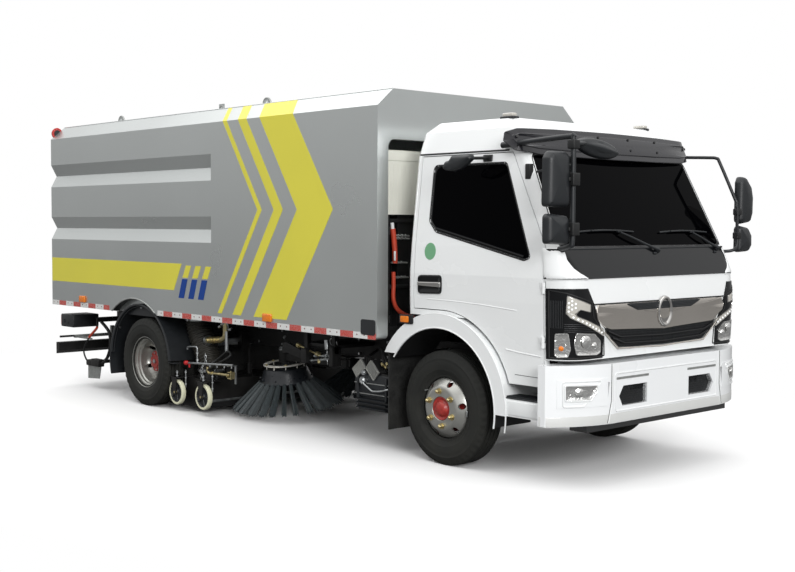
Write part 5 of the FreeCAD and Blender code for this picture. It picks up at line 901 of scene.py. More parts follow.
@dataclass
class Hopper:
    """The tipping body: paint, films, tape, trims, markers and warning lamps.

    Attributes:
        side: Half the body's width.
        floor: Level of the body's lower edge.
        eave: Level where the side turns into the chamfer.
        roof: Level of the roof.
        ridge: Half width of the roof's flat.
        rear: Where the body ends.
        nose: Where it starts behind the cab.
        film: Thickness of the films, drawn thicker than real so that they show.
        arch: Middle of the wheel arch and half its length.
    """

    side: float = 1.105
    floor: float = 0.85
    eave: float = 2.543
    roof: float = 2.672
    ridge: float = 0.953
    rear: float = -3.4
    nose: float = 1.662
    film: float = 0.0012
    arch: Flat = (REAR_AXLE, 0.56)

    def wrap(self, x: float, level: float, lift: float) -> Point:
        """Carry a flat outline's point round the side and onto the chamfer.

        Args:
            x: Along the vehicle.
            level: Distance up the unrolled side.
            lift: How far the film stands off.

        Returns:
            The point on the right side.
        """
        if level <= self.eave:
            return x, -(self.side + lift), level
        run = self.side - self.ridge
        rise = self.roof - self.eave
        share = min((level - self.eave) / math.hypot(run, rise), 1.0)
        slope = Vector((0, -rise, run)).normalized() * lift
        return x, -self.side + run * share + slope.y, self.eave + rise * share + slope.z

    def films(self, name: str, outlines: Sequence[Sequence[Flat]], finish: Paint) -> None:
        """Lay films on both sides.

        Args:
            name: The piece's name.
            outlines: Four-sided outlines as (x, level) pairs.
            finish: Their colour.
        """
        shape = Shape()
        for a, b, c, d in outlines:
            levels = [a[1], d[1]]
            steps = [0.0, 1.0]
            if levels[0] < self.eave < levels[1]:
                steps = [0.0, (self.eave - levels[0]) / (levels[1] - levels[0]), 1.0]
            rows = []
            for t in steps:
                low = Vector(a).lerp(Vector(d), t)
                high = Vector(b).lerp(Vector(c), t)
                rows.append([self.wrap(low.x, low.y, self.film), self.wrap(high.x, high.y, self.film)])
            shape.skin(rows, self.film * 0.8)
        shape.mirrored().place(name, "hopper", finish)

    def livery(self) -> None:
        """Nested arrowheads, the long low band and the slanted bars."""
        top = self.eave + math.hypot(self.side - self.ridge, self.roof - self.eave) - 0.004
        tip = 1.80
        low = 0.93
        arrows = []
        for start, width in ((0.72, 0.44), (0.42, 0.12), (0.20, 0.06)):
            lean = 0.62
            for end in (top, low):
                rise = abs(end - tip) / (top - tip)
                foot = start - lean * rise
                level_low, level_high = (tip, end) if end > tip else (end, tip)
                near, far = (start, foot) if end > tip else (foot, start)
                arrows.append([(near, level_low), (near + width, level_low), (far + width, level_high),
                        (far, level_high)])
        self.films("livery_arrows", arrows, Paint.FILM_YELLOW)
        slant = -0.13
        band = [[(self.rear + 0.004, 1.095), (-1.063, 1.095), (-1.063 - slant, 1.334), (self.rear + 0.004, 1.334)]]
        tips = []
        bars = []
        for step in range(3):
            x = -0.985 + 0.155 * step
            split = 1.20
            lean = 0.06
            bars.append([(x, 1.03), (x + 0.085, 1.03), (x + 0.085 + lean, split), (x + lean, split)])
            tips.append([(x + lean + 0.004, split + 0.012), (x + 0.089 + lean, split + 0.012), (x + 0.085 + 2 * lean,
                        1.32), (x + 2 * lean, 1.32)])
        self.films("livery_band", band + tips, Paint.FILM_YELLOW)
        self.films("livery_bars", bars, Paint.FILM_BLUE)

    def tape(self) -> None:
        """Reflective tape along the lower edge, broken by the wheel arch, and round the rear."""
        centre, half = self.arch
        runs = (("rear", self.rear + 0.01, centre - half - 0.06, Paint.TAPE_REAR, 0.305, -3.245),
            ("front", centre + half - 0.30, self.nose - 0.012, Paint.TAPE, 0.311, 0.005))
        points: list[Point] = []
        for word, start, end, finish, repeat, first in runs:
            strip = Shape().box((start, -self.side - 0.0016, 0.852), (end, -self.side, 0.898), 0.0)
            strip.mirrored().place(f"marking_tape_{word}", "hopper", finish)
            count = math.ceil((start - first) / repeat)
            low = first + repeat * count
            for share in (0.62, 0.88):
                spots = [low + repeat * (k + share - 1) for k in range(round((end - low) / repeat) + 2)]
                points += [(x, side * (self.side + 0.002), 0.878) for x in spots if start < x < end for side in (-1,
                        1)]
        shape = Shape()
        for side in (-1, 1):
            shape.box((self.rear - 0.0016, side * 0.52, 0.862), (self.rear, side * 1.0, 0.912))
        shape.place("marking_tape_tail", "hopper", Paint.TAPE)
        rivets = Tree("tape_rivets", Radius=0.0065)
        spots = rivets.add("GeometryNodeMeshToPoints", {0: rivets.entry.outputs["Geometry"]})
        head = rivets.add("GeometryNodeMeshUVSphere", {"Segments": 8, "Rings": 4, "Radius": rivets.size("Radius")})
        instances = rivets.add("GeometryNodeInstanceOnPoints", {"Points": spots.outputs[0],
                "Instance": head.outputs[0], "Scale": (1.0, 0.35, 1.0)})
        rivets.finish(instances.outputs[0], Paint.RIVET)
        seed = bpy.data.meshes.new("tape_rivet_spots")
        seed.from_pydata(points, [], [])
        rivets.grow("tape_rivets", seed, "hopper")

    def trims(self) -> None:
        """Edging of the wheel arch with a black sheet inside it as painted shade, roof seams, side markers and the
        blank plaque.
        """
        x, half = self.arch
        edge = {(round(v.co.x, 4), round(v.co.z, 4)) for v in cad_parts["hopper_body"].data.vertices
                if abs(v.co.y + self.side) < 0.002 and abs(v.co.x - x) < half + 0.25 and 0.845 < v.co.z < 1.2}
        rim = sorted(p for p in edge if p[1] > self.floor + 0.0005 or abs(p[0] - x) > half - 0.25)
        trim, liner = Shape(), Shape()
        middle = Vector((x, self.floor))
        inset = [Vector(p) + (middle - Vector(p)).normalized() * 0.004 for p in rim]
        trim.sweep([(p.x, -self.side - 0.001, p.y) for p in inset], 0.0065, 8)
        trim.mirrored().place("arch_trim", "hopper", Paint.GALVANISED, "grey_paint")
        # A black sheet inside the arch paints the shade that fills it.
        liner.skin([[(p.x, -self.side + 0.012, p.y) for p in inset], [(p.x, -0.56, p.y) for p in inset]], 0.002)
        liner.mirrored().place("arch_liner", "hopper", Paint.CHASSIS_BLACK, "black_paint")
        for side, label in ((-1, "right"), (1, "left")):
            mark = Shape()
            for at in (-2.745, 0.338):
                mark.box((at - 0.060, side * 1.104, 0.900), (at + 0.060, side * 1.122, 0.966), 0.012)
            mark.place(f"side_markers_{label}", "hopper", Paint.AMBER, "lamp_lens")
        seams = Shape()
        for x in (-2.41, -1.41, -0.41, 0.6):
            seams.sweep([(x, -self.ridge, self.roof), (x, self.ridge, self.roof)], 0.006, 6)
        for side in (-1, 1):
            seams.sweep([(self.rear + 0.01, side * self.ridge, self.roof - 0.001),
                    (self.nose - 0.01, side * self.ridge, self.roof - 0.001)], 0.005, 6)
        seams.place("roof_seams", "hopper", Paint.BODY_GREY)
        eyes = Shape()
        for share, size in ((0.21, 1.0), (0.55, 0.62), (0.68, 1.0)):
            x = self.rear + (self.nose - self.rear) * share
            for side in (-1, 1):
                y = side * 0.891
                arc = [(x + 0.050 * size * math.cos(a), y, 2.676 + 0.050 * size * math.sin(a)) for a
                    in (math.pi * k / 12 for k in range(13))]
                eyes.sweep(arc, 0.009, 8)
                eyes.box((x - 0.075 * size, y - 0.03, 2.670), (x + 0.075 * size, y + 0.03, 2.679), 0.003)
        eyes.place("lifting_rings", "hopper", Paint.GALVANISED, "grey_paint")
        plaque = Shape()
        plaque.prism(rounded([(1.486, 0.881), (1.644, 0.881), (1.644, 0.994), (1.486, 0.994)], 0.02), 1,
            -self.side - 0.004, -self.side, 0.0)
        plaque.place("blank_plaque", "hopper", Paint.GRAINED)

    def beacons(self) -> None:
        """Half-round warning lamps in red and clear on black feet at the rear corners."""
        for side, label in ((-1, "right"), (1, "left")):
            middle = Vector((self.rear, side * (self.side + self.ridge) / 2, (self.eave + self.roof) / 2))
            reach = self.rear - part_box("rear_beacons")[0].x
            base = Shape().lathe([(0, 0.001), (0.034, 0.001), (0.037, -0.003), (0.037, -0.014), (0.034, -0.02),
                    (0, -0.02)], tuple(middle), (1, 0, 0), 36)
            dome = Shape()
            profile = [(0.060 * math.cos(a), -0.008 - (reach - 0.010) * math.sin(a)) for a in (math.pi / 2 * k / 8
                    for k in range(9))]
            dome.lathe([(0, -0.004), (0.058, -0.004), *profile], tuple(middle), (1, 0, 0), 36)
            slots = Shape()
            for step in range(5):
                turn = math.pi * (step + 0.5) / 5
                spot = middle + Vector((-0.034, 0.047 * math.cos(turn), 0.047 * math.sin(turn)))
                slots.rod(tuple(spot), tuple(spot + Vector((-0.012, 0.001, 0.001))), 0.007, 10)
            stands = ("rear_beacons",) if side < 0 else ()
            base.place(f"beacon_base_{label}", "hopper", Paint.GRAINED, "lamp_lens", stands)
            dome.place(f"beacon_dome_{label}", "hopper", Paint.RED_LENS, "lamp_lens")
            slots.place(f"beacon_dots_{label}", "hopper", Paint.DIODE, "lamp_lens")

    def build(self) -> None:
        """Make every piece of the body."""
        dress("hopper_body", Paint.BODY_GREY)
        self.livery()
        self.tape()
        self.trims()
        self.beacons()


@dataclass
class RearDoor:
    """The discharge door: ribs, seal, clamps, an inspection hatch and marking tape."""

    def __post_init__(self) -> None:
        """Take the outer face, the lower and upper edge and half the width from the CAD door."""
        lo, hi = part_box("rear_door")
        self.face = lo.x
        self.low, self.high, self.half = lo.z + 0.02, hi.z - 0.09, hi.y - 0.03

    def build(self) -> None:
        """Make every piece of the door."""
        dress("rear_door", Paint.BODY_GREY)
        skin = 0.006
        ribs = Shape()
        for level in (self.low + 0.35, self.low + 0.75, self.low + 1.15):
            ribs.prism([(self.face - skin, level - 0.045), (self.face, level - 0.06), (self.face, level + 0.06),
                    (self.face - skin, level + 0.045)], 1, -self.half + 0.08, self.half - 0.08)
        for y in (-0.62, 0.62):
            ribs.box((self.face - skin, y - 0.03, self.low + 0.02), (self.face, y + 0.03, self.high - 0.02), 0.002)
        ribs.place("rear_door_ribs", "rear_door", Paint.BODY_GREY, "grey_paint")
        seal = Shape()
        path = [(self.face + 0.012, y, z) for y, z in rounded([(-self.half, self.low), (self.half, self.low),
                    (self.half, self.high), (-self.half, self.high)], 0.05)]
        seal.sweep(path, 0.009, 8, ring=True)
        seal.place("rear_door_seal", "rear_door", Paint.SEAL, "black_rubber")
        clamps = Shape()
        for y in (-0.78, -0.26, 0.26, 0.78):
            clamps.box((self.face - 0.012, y - 0.035, self.low + 0.03), (self.face, y + 0.035, self.low + 0.11),
                0.004)
            clamps.rod((self.face - 0.014, y, self.low + 0.07), (self.face, y, self.low + 0.07), 0.016, 12)
        hatch = [(-0.22, self.low + 0.52), (0.22, self.low + 0.52), (0.22, self.low + 0.72), (-0.22, self.low + 0.72)]
        clamps.prism(rounded(hatch, 0.03), 0, self.face - 0.008, self.face)
        clamps.place("rear_door_clamps", "rear_door", Paint.GALVANISED, "bright_steel")
        tape = Shape()
        for side in (-1, 1):
            tape.box((self.face - 0.0076, side * 0.3, self.low + 0.9), (self.face - 0.0062, side * 0.9,
                    self.low + 0.95))
        tape.place("rear_door_tape", "rear_door", Paint.TAPE)


# ---------------------------------------------------------------- wheels


def carve(solid: Shape, tool: Shape) -> Shape:
    """Cut one closed shape out of another.

    Args:
        solid: What is cut.
        tool: What is taken away.

    Returns:
        The cut shape.
    """
    items = []
    for shape in (solid, tool):
        mesh = bpy.data.meshes.new("carve")
        shape.bm.to_mesh(mesh)
        shape.bm.free()
        item = bpy.data.objects.new("carve", mesh)
        bpy.context.scene.collection.objects.link(item)
        items.append(item)
    cut = items[0].modifiers.new("cut", "BOOLEAN")
    cut.operation = "DIFFERENCE"
    cut.solver = "EXACT"
    cut.object = items[1]
    graph = bpy.context.evaluated_depsgraph_get()
    result = Shape()
    made = bpy.data.meshes.new_from_object(items[0].evaluated_get(graph), depsgraph=graph)
    result.bm.from_mesh(made)
    for item in items:
        bpy.data.objects.remove(item)
    return result


class Side(Enum):
    """Which side of the vehicle a piece is on, as seen by the driver."""

    LEFT = 1
    RIGHT = -1

    @property
    def word(self) -> str:
        """The side's name as the bodies use it."""
        return self.name.lower()


@dataclass
class Tyre:
    """A ribbed truck tyre with zigzag grooves, shoulder notches and wall rings.

    Attributes:
        radius: Outside radius.
        half: Half the section's width.
        bead: Radius where it meets the rim.
        groove: Depth of the tread's grooves.
        steps: Sides of the tyre.
    """

    radius: float = 0.404
    half: float = 0.106
    bead: float = 0.216
    groove: float = 0.009
    steps: int = 180

    def section(self, step: int) -> list[Flat]:
        """Radius and side distance round the tyre's section at one step.

        Args:
            step: Counts round the tyre.

        Returns:
            The section from one bead to the other.
        """
        crown = self.radius
        notch = 0.005 if step % 4 < 2 else 0.0
        sway = 0.0026 * (abs(step % 12 - 6) / 3 - 1)
        wall = [(self.bead, 0.074), (self.bead + 0.008, 0.079), (self.bead + 0.018, 0.080),
            (self.bead + 0.021, 0.0835), (self.bead + 0.026, 0.0855), (self.bead + 0.036, 0.0925),
            (self.bead + 0.052, 0.0985), (self.bead + 0.054, 0.1), (self.bead + 0.057, 0.1), (self.bead + 0.059, 0.1),
            (self.bead + 0.076, 0.1042), (self.bead + 0.094, self.half - 0.0008),
            (self.bead + 0.112, self.half - 0.0014), (self.bead + 0.128, 0.1015), (self.bead + 0.130, 0.1025),
            (self.bead + 0.134, 0.1018), (self.bead + 0.136, 0.1), (crown - 0.038, 0.0965),
            (crown - 0.024, 0.0915 - notch), (crown - 0.012, 0.0855 - notch), (crown - 0.004 - notch, 0.0795),
            (crown - 0.001, 0.0755)]
        tread = []
        for middle, width in ((0.051, 0.010), (0.0175, 0.009)):
            tread += [(crown, middle + width / 2 + sway), (crown - self.groove, middle + width / 2 - 0.0015 + sway),
                      (crown - self.groove, middle - width / 2 + 0.0015 + sway), (crown, middle - width / 2 + sway)]
        half = wall + tread
        return [(r, y) for r, y in half] + [(r, -y) for r, y in reversed(half)]

    def add(self, shape: Shape, centre: Point) -> None:
        """Add the tyre to a shape.

        Args:
            shape: What it is added to.
            centre: The wheel's middle.
        """
        rings = []
        for step in range(self.steps):
            angle = 2 * math.pi * step / self.steps
            rings.append([shape.bm.verts.new((centre[0] + r * math.cos(angle), centre[1] + y,
                            centre[2] + r * math.sin(angle))) for r, y in self.section(step)])
        for step in range(self.steps):
            here, there = rings[step], rings[(step + 1) % self.steps]
            for i in range(len(here)):
                j = (i + 1) % len(here)
                shape.bm.faces.new((here[i], here[j], there[j], there[i]))
        shape.round_off([v for ring in rings for v in ring], 0)


@dataclass
class Wheel:
    """What the front and the rear wheels share.

    Attributes:
        side: Which side of the vehicle.
        x: Where the axle is.
        tyres: Distances of the tyres' middles from the vehicle's middle.
        lip: Distance of the rim's outer lip from the vehicle's middle.
        height: Level of the axle.
    """

    side: Side
    x: float
    tyres: tuple[float, ...]
    lip: float
    height: float = 0.404

    def at(self, out: float) -> Point:
        """A point on the axle at a distance from the vehicle's middle."""
        return self.x, self.side.value * out, self.height

    def round(self, profile: Sequence[Flat], steps: int = 72, closed: bool = True,
            shape: Shape | None = None) -> Shape:
        """Turn a profile of radius and distance outwards from the lip."""
        return (shape or Shape()).lathe(profile, self.at(self.lip), (0, self.side.value, 0), steps, closed)

    def spots(self, radius: float, out: float, count: int, start: float) -> list[Vector]:
        """Points round the axle.

        Args:
            radius: Of their circle.
            out: Distance outwards from the lip.
            count: How many.
            start: Angle of the first, in degrees from forwards to up.

        Returns:
            The points.
        """
        turns = [math.radians(start + 360 * k / count) for k in range(count)]
        return [Vector((self.x + radius * math.cos(a), self.side.value * (self.lip + out), self.height + radius
                    * math.sin(a))) for a in turns]

    def tyre_piece(self, name: str, body: str, node: str) -> None:
        """Make the tyres of this wheel as one piece.

        Args:
            name: The piece's name.
            body: The body that it rides on.
            node: The CAD node that it takes the place of.
        """
        shape = Shape()
        for out in self.tyres:
            Tyre().add(shape, self.at(out))
        shape.place(name, body, Paint.TYRE, "tyre_rubber", (node,), 38)

    def nuts(self, name: str, body: str, radius: float, out: float, start: float, finish: Paint,
            size: float = 0.0165) -> None:
        """Six domed nuts on their seats, grown from points round the axle.

        Args:
            name: The piece's name.
            body: The body that it rides on.
            radius: Of the nut circle.
            out: Distance of the seats from the lip.
            start: Angle of the first nut.
            finish: What they wear.
            size: Half width of a nut.
        """
        tree = Tree(name + "_tree", Size=size, Rise=size * 1.35)
        turn = tree.add("FunctionNodeAlignRotationToVector", {"Vector": (0.0, float(self.side.value), 0.0)}, axis="Z")
        washer = tree.add("GeometryNodeMeshCylinder", {"Vertices": 20, "Radius": tree.add("ShaderNodeMath",
                    {0: tree.size("Size"), 1: 1.35}, operation="MULTIPLY").outputs[0], "Depth": 0.005})
        flats = tree.add("GeometryNodeMeshCylinder", {"Vertices": 6, "Radius": tree.size("Size"),
                "Depth": tree.size("Rise")})
        half = tree.add("ShaderNodeMath", {0: tree.size("Rise"), 1: 0.5}, operation="MULTIPLY").outputs[0]
        raised = tree.add("GeometryNodeTransform",
            {0: flats.outputs[0], "Translation": tree.add("ShaderNodeCombineXYZ", {2: half}).outputs[0]})
        ball = tree.add("GeometryNodeMeshUVSphere", {"Segments": 16, "Rings": 10, "Radius": tree.add("ShaderNodeMath",
                    {0: tree.size("Size"), 1: 0.8}, operation="MULTIPLY").outputs[0]})
        capped = tree.add("GeometryNodeTransform",
            {0: ball.outputs[0], "Translation": tree.add("ShaderNodeCombineXYZ", {2: tree.size("Rise")}).outputs[0]})
        whole = tree.add("GeometryNodeJoinGeometry")
        for part in (washer, raised, capped):
            tree.group.links.new(part.outputs[0], whole.inputs[0])
        placed = tree.add("GeometryNodeInstanceOnPoints", {"Points": tree.entry.outputs["Geometry"],
                "Instance": whole.outputs[0], "Rotation": turn.outputs[0]})
        tree.finish(placed.outputs[0], finish)
        seed = bpy.data.meshes.new(name)
        seed.from_pydata([tuple(p) for p in self.spots(radius, out, 6, start)], [], [])
        tree.grow(name, seed, body, "bright_steel")


@dataclass
class FrontWheel(Wheel):
    """A single wheel whose disc is dished outwards, with acorn nuts round a red hub."""

    def build(self) -> None:
        """Make the tyre, the rim, the disc with its hand holes, the nuts and the hub."""
        word = self.side.word
        body = f"wheel_front_{word}"
        self.tyre_piece(f"front_tyre_{word}", body, f"tyre_front_{word}")
        rim = self.round([(0.2305, -0.155), (0.2335, -0.150), (0.2335, -0.147), (0.2185, -0.143), (0.2165, -0.105),
                (0.196, -0.098), (0.196, -0.062), (0.2165, -0.030), (0.2185, -0.012), (0.226, -0.006),
                (0.2325, -0.0005), (0.2345, 0.002), (0.2352, 0.0), (0.235, -0.005), (0.2315, -0.0105),
                (0.2215, -0.016), (0.2205, -0.032), (0.2, -0.064), (0.2, -0.097), (0.2205, -0.108), (0.2225, -0.141)])
        rim.place(f"front_rim_{word}", body, Paint.WHEEL_SILVER, "wheel_silver", (f"rim_front_{word}",))
        face = 0.043
        disc = self.round([(0.2155, -0.046), (0.2145, -0.026), (0.2085, -0.010), (0.199, 0.001), (0.176, 0.022),
                (0.160, 0.036), (0.150, face), (0.138, face + 0.001), (0.086, face + 0.001), (0.0835, face - 0.002),
                (0.0835, face - 0.013), (0.138, face - 0.011), (0.150, face - 0.013), (0.172, 0.010), (0.194, -0.010),
                (0.203, -0.022), (0.206, -0.046)], 96)
        holes = Shape()
        for spot in self.spots(0.183, 0.0, 6, 10.0):
            out = Vector((0, self.side.value, 0))
            holes.rod(tuple(spot - out * 0.05), tuple(spot + out * 0.06), 0.0215, 24)
        carve(disc, holes).place(f"front_disc_{word}", body, Paint.WHEEL_SILVER, "wheel_silver")
        self.nuts(f"front_nuts_{word}", body, 0.122, face + 0.003, 37.0, Paint.YELLOW_ZINC)
        hub = self.round([(0.083, face - 0.012), (0.0815, face - 0.004), (0.078, face - 0.002), (0.066, face - 0.010),
                (0.060, face - 0.012), (0.052, face - 0.004), (0.047, face + 0.006), (0.040, face + 0.013),
                (0.026, face + 0.0175), (0.0, face + 0.0185)], 48, False)
        drum = self.round([(0.0, -0.11), (0.165, -0.11), (0.170, -0.105), (0.170, -0.050), (0.150, -0.035),
                (0.118, -0.03), (0.118, 0.022), (0.0835, 0.029), (0, 0.029)], 48, False, hub)
        drum.place(f"front_hub_{word}", body, Paint.HUB_RED, "wheel_silver")
        bits = Shape()
        for spot in self.spots(0.221, 0.008, 1, -4.0):
            bits.box(tuple(spot - Vector((0.004, 0.006, 0.022))), tuple(spot + Vector((0.008, 0.006, 0.022))), 0.003)
        valve = self.spots(0.208, -0.004, 1, 148.0)[0]
        bits.rod(tuple(valve), (valve.x, valve.y + self.side.value * 0.03, valve.z), 0.0045, 10)
        bits.place(f"front_weight_{word}", body, Paint.ZINC, "bright_steel")


@dataclass
class RearWheels(Wheel):
    """Twin wheels: the outer rim is a deep bowl with the red hub far inside."""

    def build(self) -> None:
        """Make both tyres, both rims, the disc, the nuts and the hub."""
        word = self.side.word
        body = f"wheels_rear_{word}"
        self.tyre_piece(f"rear_tyres_{word}", body, f"tyres_rear_{word}")
        rims = Shape()
        for shift in (0.0, -0.25):
            flip = -1 if shift else 1
            middle = -0.082 + shift
            outline = [(0.2335, 0.078), (0.2352, 0.082), (0.2325, 0.0825), (0.226, 0.076), (0.2165, 0.069),
                (0.2145, 0.052), (0.2035, 0.043), (0.2015, 0.026), (0.192, 0.016), (0.190, -0.02), (0.198, -0.045),
                (0.205, -0.060), (0.2145, -0.066), (0.226, -0.074), (0.2325, -0.0815), (0.2352, -0.080),
                (0.231, -0.072), (0.219, -0.062), (0.209, -0.056), (0.202, -0.042), (0.194, -0.02), (0.196, 0.016),
                (0.2055, 0.024), (0.2075, 0.043), (0.2185, 0.052), (0.2205, 0.068)]
            self.round([(r, middle + flip * out) for r, out in outline], 96, True, rims)
        rims.place(f"rear_rims_{word}", body, Paint.WHEEL_SILVER, "wheel_silver", (f"rims_rear_{word}",))
        face = -0.190
        disc = self.round([(0.191, -0.085), (0.189, -0.115), (0.180, -0.140), (0.160, -0.168), (0.146, face),
                (0.086, face), (0.086, face - 0.012), (0.150, face - 0.012), (0.165, -0.182), (0.186, -0.150),
                (0.197, -0.115), (0.198, -0.085)], 96)
        holes = Shape()
        for spot in self.spots(0.171, -0.15, 6, 20.0):
            out = Vector((0, self.side.value, 0))
            holes.rod(tuple(spot - out * 0.08), tuple(spot + out * 0.08), 0.021, 24)
        carve(disc, holes).place(f"rear_disc_{word}", body, Paint.WHEEL_SILVER, "wheel_silver")
        self.nuts(f"rear_nuts_{word}", body, 0.119, face + 0.004, 47.0, Paint.ZINC)
        hub = self.round([(0.0, -0.30), (0.186, -0.30), (0.186, face - 0.05), (0.15, face - 0.02),
                (0.085, face - 0.016), (0.085, face + 0.055), (0.0825, face + 0.064), (0.094, face + 0.066),
                (0.094, face + 0.078), (0.062, face + 0.082), (0.056, face + 0.090), (0.0, face + 0.092)], 48, False)
        hub.place(f"rear_hub_{word}", body, Paint.HUB_RED, "wheel_silver")
        bolts = Shape()
        for spot in self.spots(0.077, face + 0.078, 8, 12.0):
            out = Vector((0, self.side.value, 0))
            bolts.rod(tuple(spot), tuple(spot + out * 0.010), 0.0085, 6)
        centre = Vector(self.at(self.lip + face + 0.09))
        bolts.rod(tuple(centre), (centre.x, centre.y + self.side.value * 0.012, centre.z), 0.021, 6)
        bolts.place(f"rear_hub_bolts_{word}", body, Paint.ZINC, "bright_steel")


# ---------------------------------------------------------------- laying pieces on the skin


class Skin:
    """The outside of some CAD nodes, for laying details on."""

    def __init__(self, *nodes: str) -> None:
        """Gather the nodes' faces.

        Args:
            *nodes: CAD nodes that count as the surface.
        """
        points: list[Vector] = []
        loops: list[list[int]] = []
        for node in nodes:
            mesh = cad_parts[node].data
            first = len(points)
            points += [v.co.copy() for v in mesh.vertices]
            loops += [[first + i for i in face.vertices] for face in mesh.polygons]
        self.tree = BVHTree.FromPolygons(points, loops)

    def cast(self, start: Vector, aim: Vector, lift: float = 0.0) -> Vector:
        """Where a line from outside meets the surface.

        Args:
            start: A point outside.
            aim: Direction towards the surface.
            lift: How far the result stands off.

        Returns:
            The point.

        Raises:
            ValueError: If the line meets nothing.
        """
        spot = self.tree.ray_cast(start, aim)[0]
        if spot is None:
            raise ValueError(f"nothing under {tuple(start)}")
        return spot - aim * lift

    def front(self, y: float, z: float, lift: float = 0.0) -> Vector:
        """The point in front of the vehicle at one place across and up."""
        return self.cast(Vector((6.0, y, z)), Vector((-1, 0, 0)), lift)

    def side(self, x: float, z: float, lift: float = 0.0) -> Vector:
        """The point on the right side at one place along and up."""
        return self.cast(Vector((x, -3.0, z)), Vector((0, 1, 0)), lift)


class Girth(Skin):
    """A surface measured round its plan: distance from the middle at one level, then height."""

    def __init__(self, level: float, *nodes: str, upright: bool = False) -> None:
        """Measure the plan.

        Args:
            level: Height of the plan that is measured.
            *nodes: CAD nodes that count as the surface.
            upright: Whether the plan is the same at every height.
        """
        super().__init__(*nodes)
        self.upright = upright
        middle = Vector((2.6, 0.0, level))
        aims = [Vector((math.cos(a), -math.sin(a), 0)) for a in (math.radians(0.5 * k) for k in range(240))]
        self.plan: list[tuple[float, Vector]] = []
        run = 0.0
        for aim in aims:
            spot = self.tree.ray_cast(middle + aim * 4, -aim)[0]
            if spot is None:
                break
            if self.plan:
                run += (spot - self.plan[-1][1]).length
            self.plan.append((run, spot))

    def at(self, girth: float, z: float, lift: float = 0.0) -> Vector:
        """A point on the surface.

        Args:
            girth: Distance from the middle round the plan, on the right.
            z: Height.
            lift: How far it stands off.

        Returns:
            The point.
        """
        index = next((i for i, (run, _) in enumerate(self.plan) if run >= girth), len(self.plan) - 1)
        index = max(index, 1)
        (run_a, a), (run_b, b) = self.plan[index - 1], self.plan[index]
        spot = a.lerp(b, (girth - run_a) / max(run_b - run_a, 1e-9))
        wide_a, wide_b = self.plan[max(index - 4, 0)][1], self.plan[min(index + 3, len(self.plan) - 1)][1]
        out = (wide_a - wide_b).normalized().cross(Vector((0, 0, 1))).normalized()
        if out.dot(spot - Vector((2.6, 0, spot.z))) < 0:
            out = -out
        foot = Vector((spot.x, spot.y, z))
        if self.upright:
            return foot + out * lift
        found = self.tree.ray_cast(foot + out * 0.4, -out)[0]
        return (found or foot) + out * lift


def nested(outline: Sequence[Flat], inset: float) -> list[Flat]:
    """Move a closed outline inwards by a distance.

    Args:
        outline: Corners in order, either way round.
        inset: How far, outwards when below zero.

    Returns:
        The moved outline, with as many corners.
    """
    spots = [Vector(p) for p in outline]
    area = sum(a.x * b.y - b.x * a.y for a, b in zip(spots, spots[1:] + spots[:1]))
    way = 1 if area > 0 else -1
    moved = []
    for i, spot in enumerate(spots):
        back = (spot - spots[i - 1])
        ahead = (spots[(i + 1) % len(spots)] - spot)
        normals = [Vector((-edge.y, edge.x)).normalized() * way for edge in (back, ahead) if edge.length > 1e-7]
        mean = sum(normals, Vector((0, 0)))
        if mean.length < 1e-6:
            mean = normals[0].copy()
        mean.normalize()
        moved.append(tuple(spot + mean * (inset / max(mean.dot(normals[0]), 0.45))))
    return moved


def dense(outline: Sequence[Flat], step: float) -> list[Flat]:
    """Put more corners on a closed outline's long edges.

    Args:
        outline: Its corners.
        step: Longest edge wanted.

    Returns:
        The outline with short edges.
    """
    line: list[Flat] = []
    for a, b in zip(outline, [*outline[1:], outline[0]]):
        start, end = Vector(a), Vector(b)
        count = max(1, math.ceil((end - start).length / step))
        line += [tuple(start.lerp(end, k / count)) for k in range(count)]
    return line


Onto = Callable[[float, float, float], Vector]


def stud(shape: Shape, onto: Onto, at: Flat, profile: Sequence[Flat], steps: int, lift: float = 0.0) -> None:
    """Stand a small turned form on a surface, square to it.

    Args:
        shape: What it is added to.
        onto: Carries points to the surface with a lift.
        at: Where it stands, in the surface's two sizes.
        profile: Radius and height, from the foot to the tip.
        steps: Sides of the turned form.
        lift: How far its foot stands off.
    """
    foot = onto(*at, lift)
    ahead = (onto(*at, 0.02) - foot).normalized()
    shape.lathe(profile, tuple(foot), tuple(ahead), steps, False)


def pad(shape: Shape, outline: Sequence[Flat], onto: Onto, profile: Sequence[Flat], sunk: float = 0.002,
        crown: float = 0.0, sheet: bool = False) -> Shape:
    """Raise a closed pad with an edge profile on a surface.

    Args:
        shape: What it is added to.
        outline: Its outline on the surface, convex or nearly so.
        onto: Carries outline points to the surface with a lift.
        profile: Inset from the outline and lift, from the edge inwards.
        sunk: How far its closed back reaches into the surface.
        crown: More lift in the middle.
        sheet: Whether the back follows the surface too, for a free panel.

    Returns:
        The shape.
    """
    middle = sum((Vector(p) for p in outline), Vector((0, 0))) / len(outline)
    rings = [[onto(u, v, -sunk) for u, v in outline]]
    rings += [[onto(u, v, lift) for u, v in nested(outline, inset)] for inset, lift in profile]
    last_inset, last_lift = profile[-1]
    inner = [Vector(p) for p in nested(outline, last_inset)]
    for share in (0.8, 0.6, 0.4, 0.2, 0.06):
        rise = last_lift + crown * (1 - share**2)
        rings.append([onto(*(middle + (p - middle) * share), rise) for p in inner])
    if sheet:
        rims = [Vector(p) for p in outline]
        rings = [[onto(*(middle + (p - middle) * share), -sunk) for p in rims] for share in (0.06, 0.2, 0.4, 0.6,
                0.8)] + rings
    verts = [[shape.bm.verts.new(p) for p in ring] for ring in rings]
    count = len(outline)
    for here, there in zip(verts, verts[1:]):
        for k in range(count):
            shape.bm.faces.new((here[k], here[(k + 1) % count], there[(k + 1) % count], there[k]))
    shape.bm.faces.new(verts[-1])
    shape.bm.faces.new(verts[0][::-1])
    return shape.round_off([v for ring in verts for v in ring], 0)


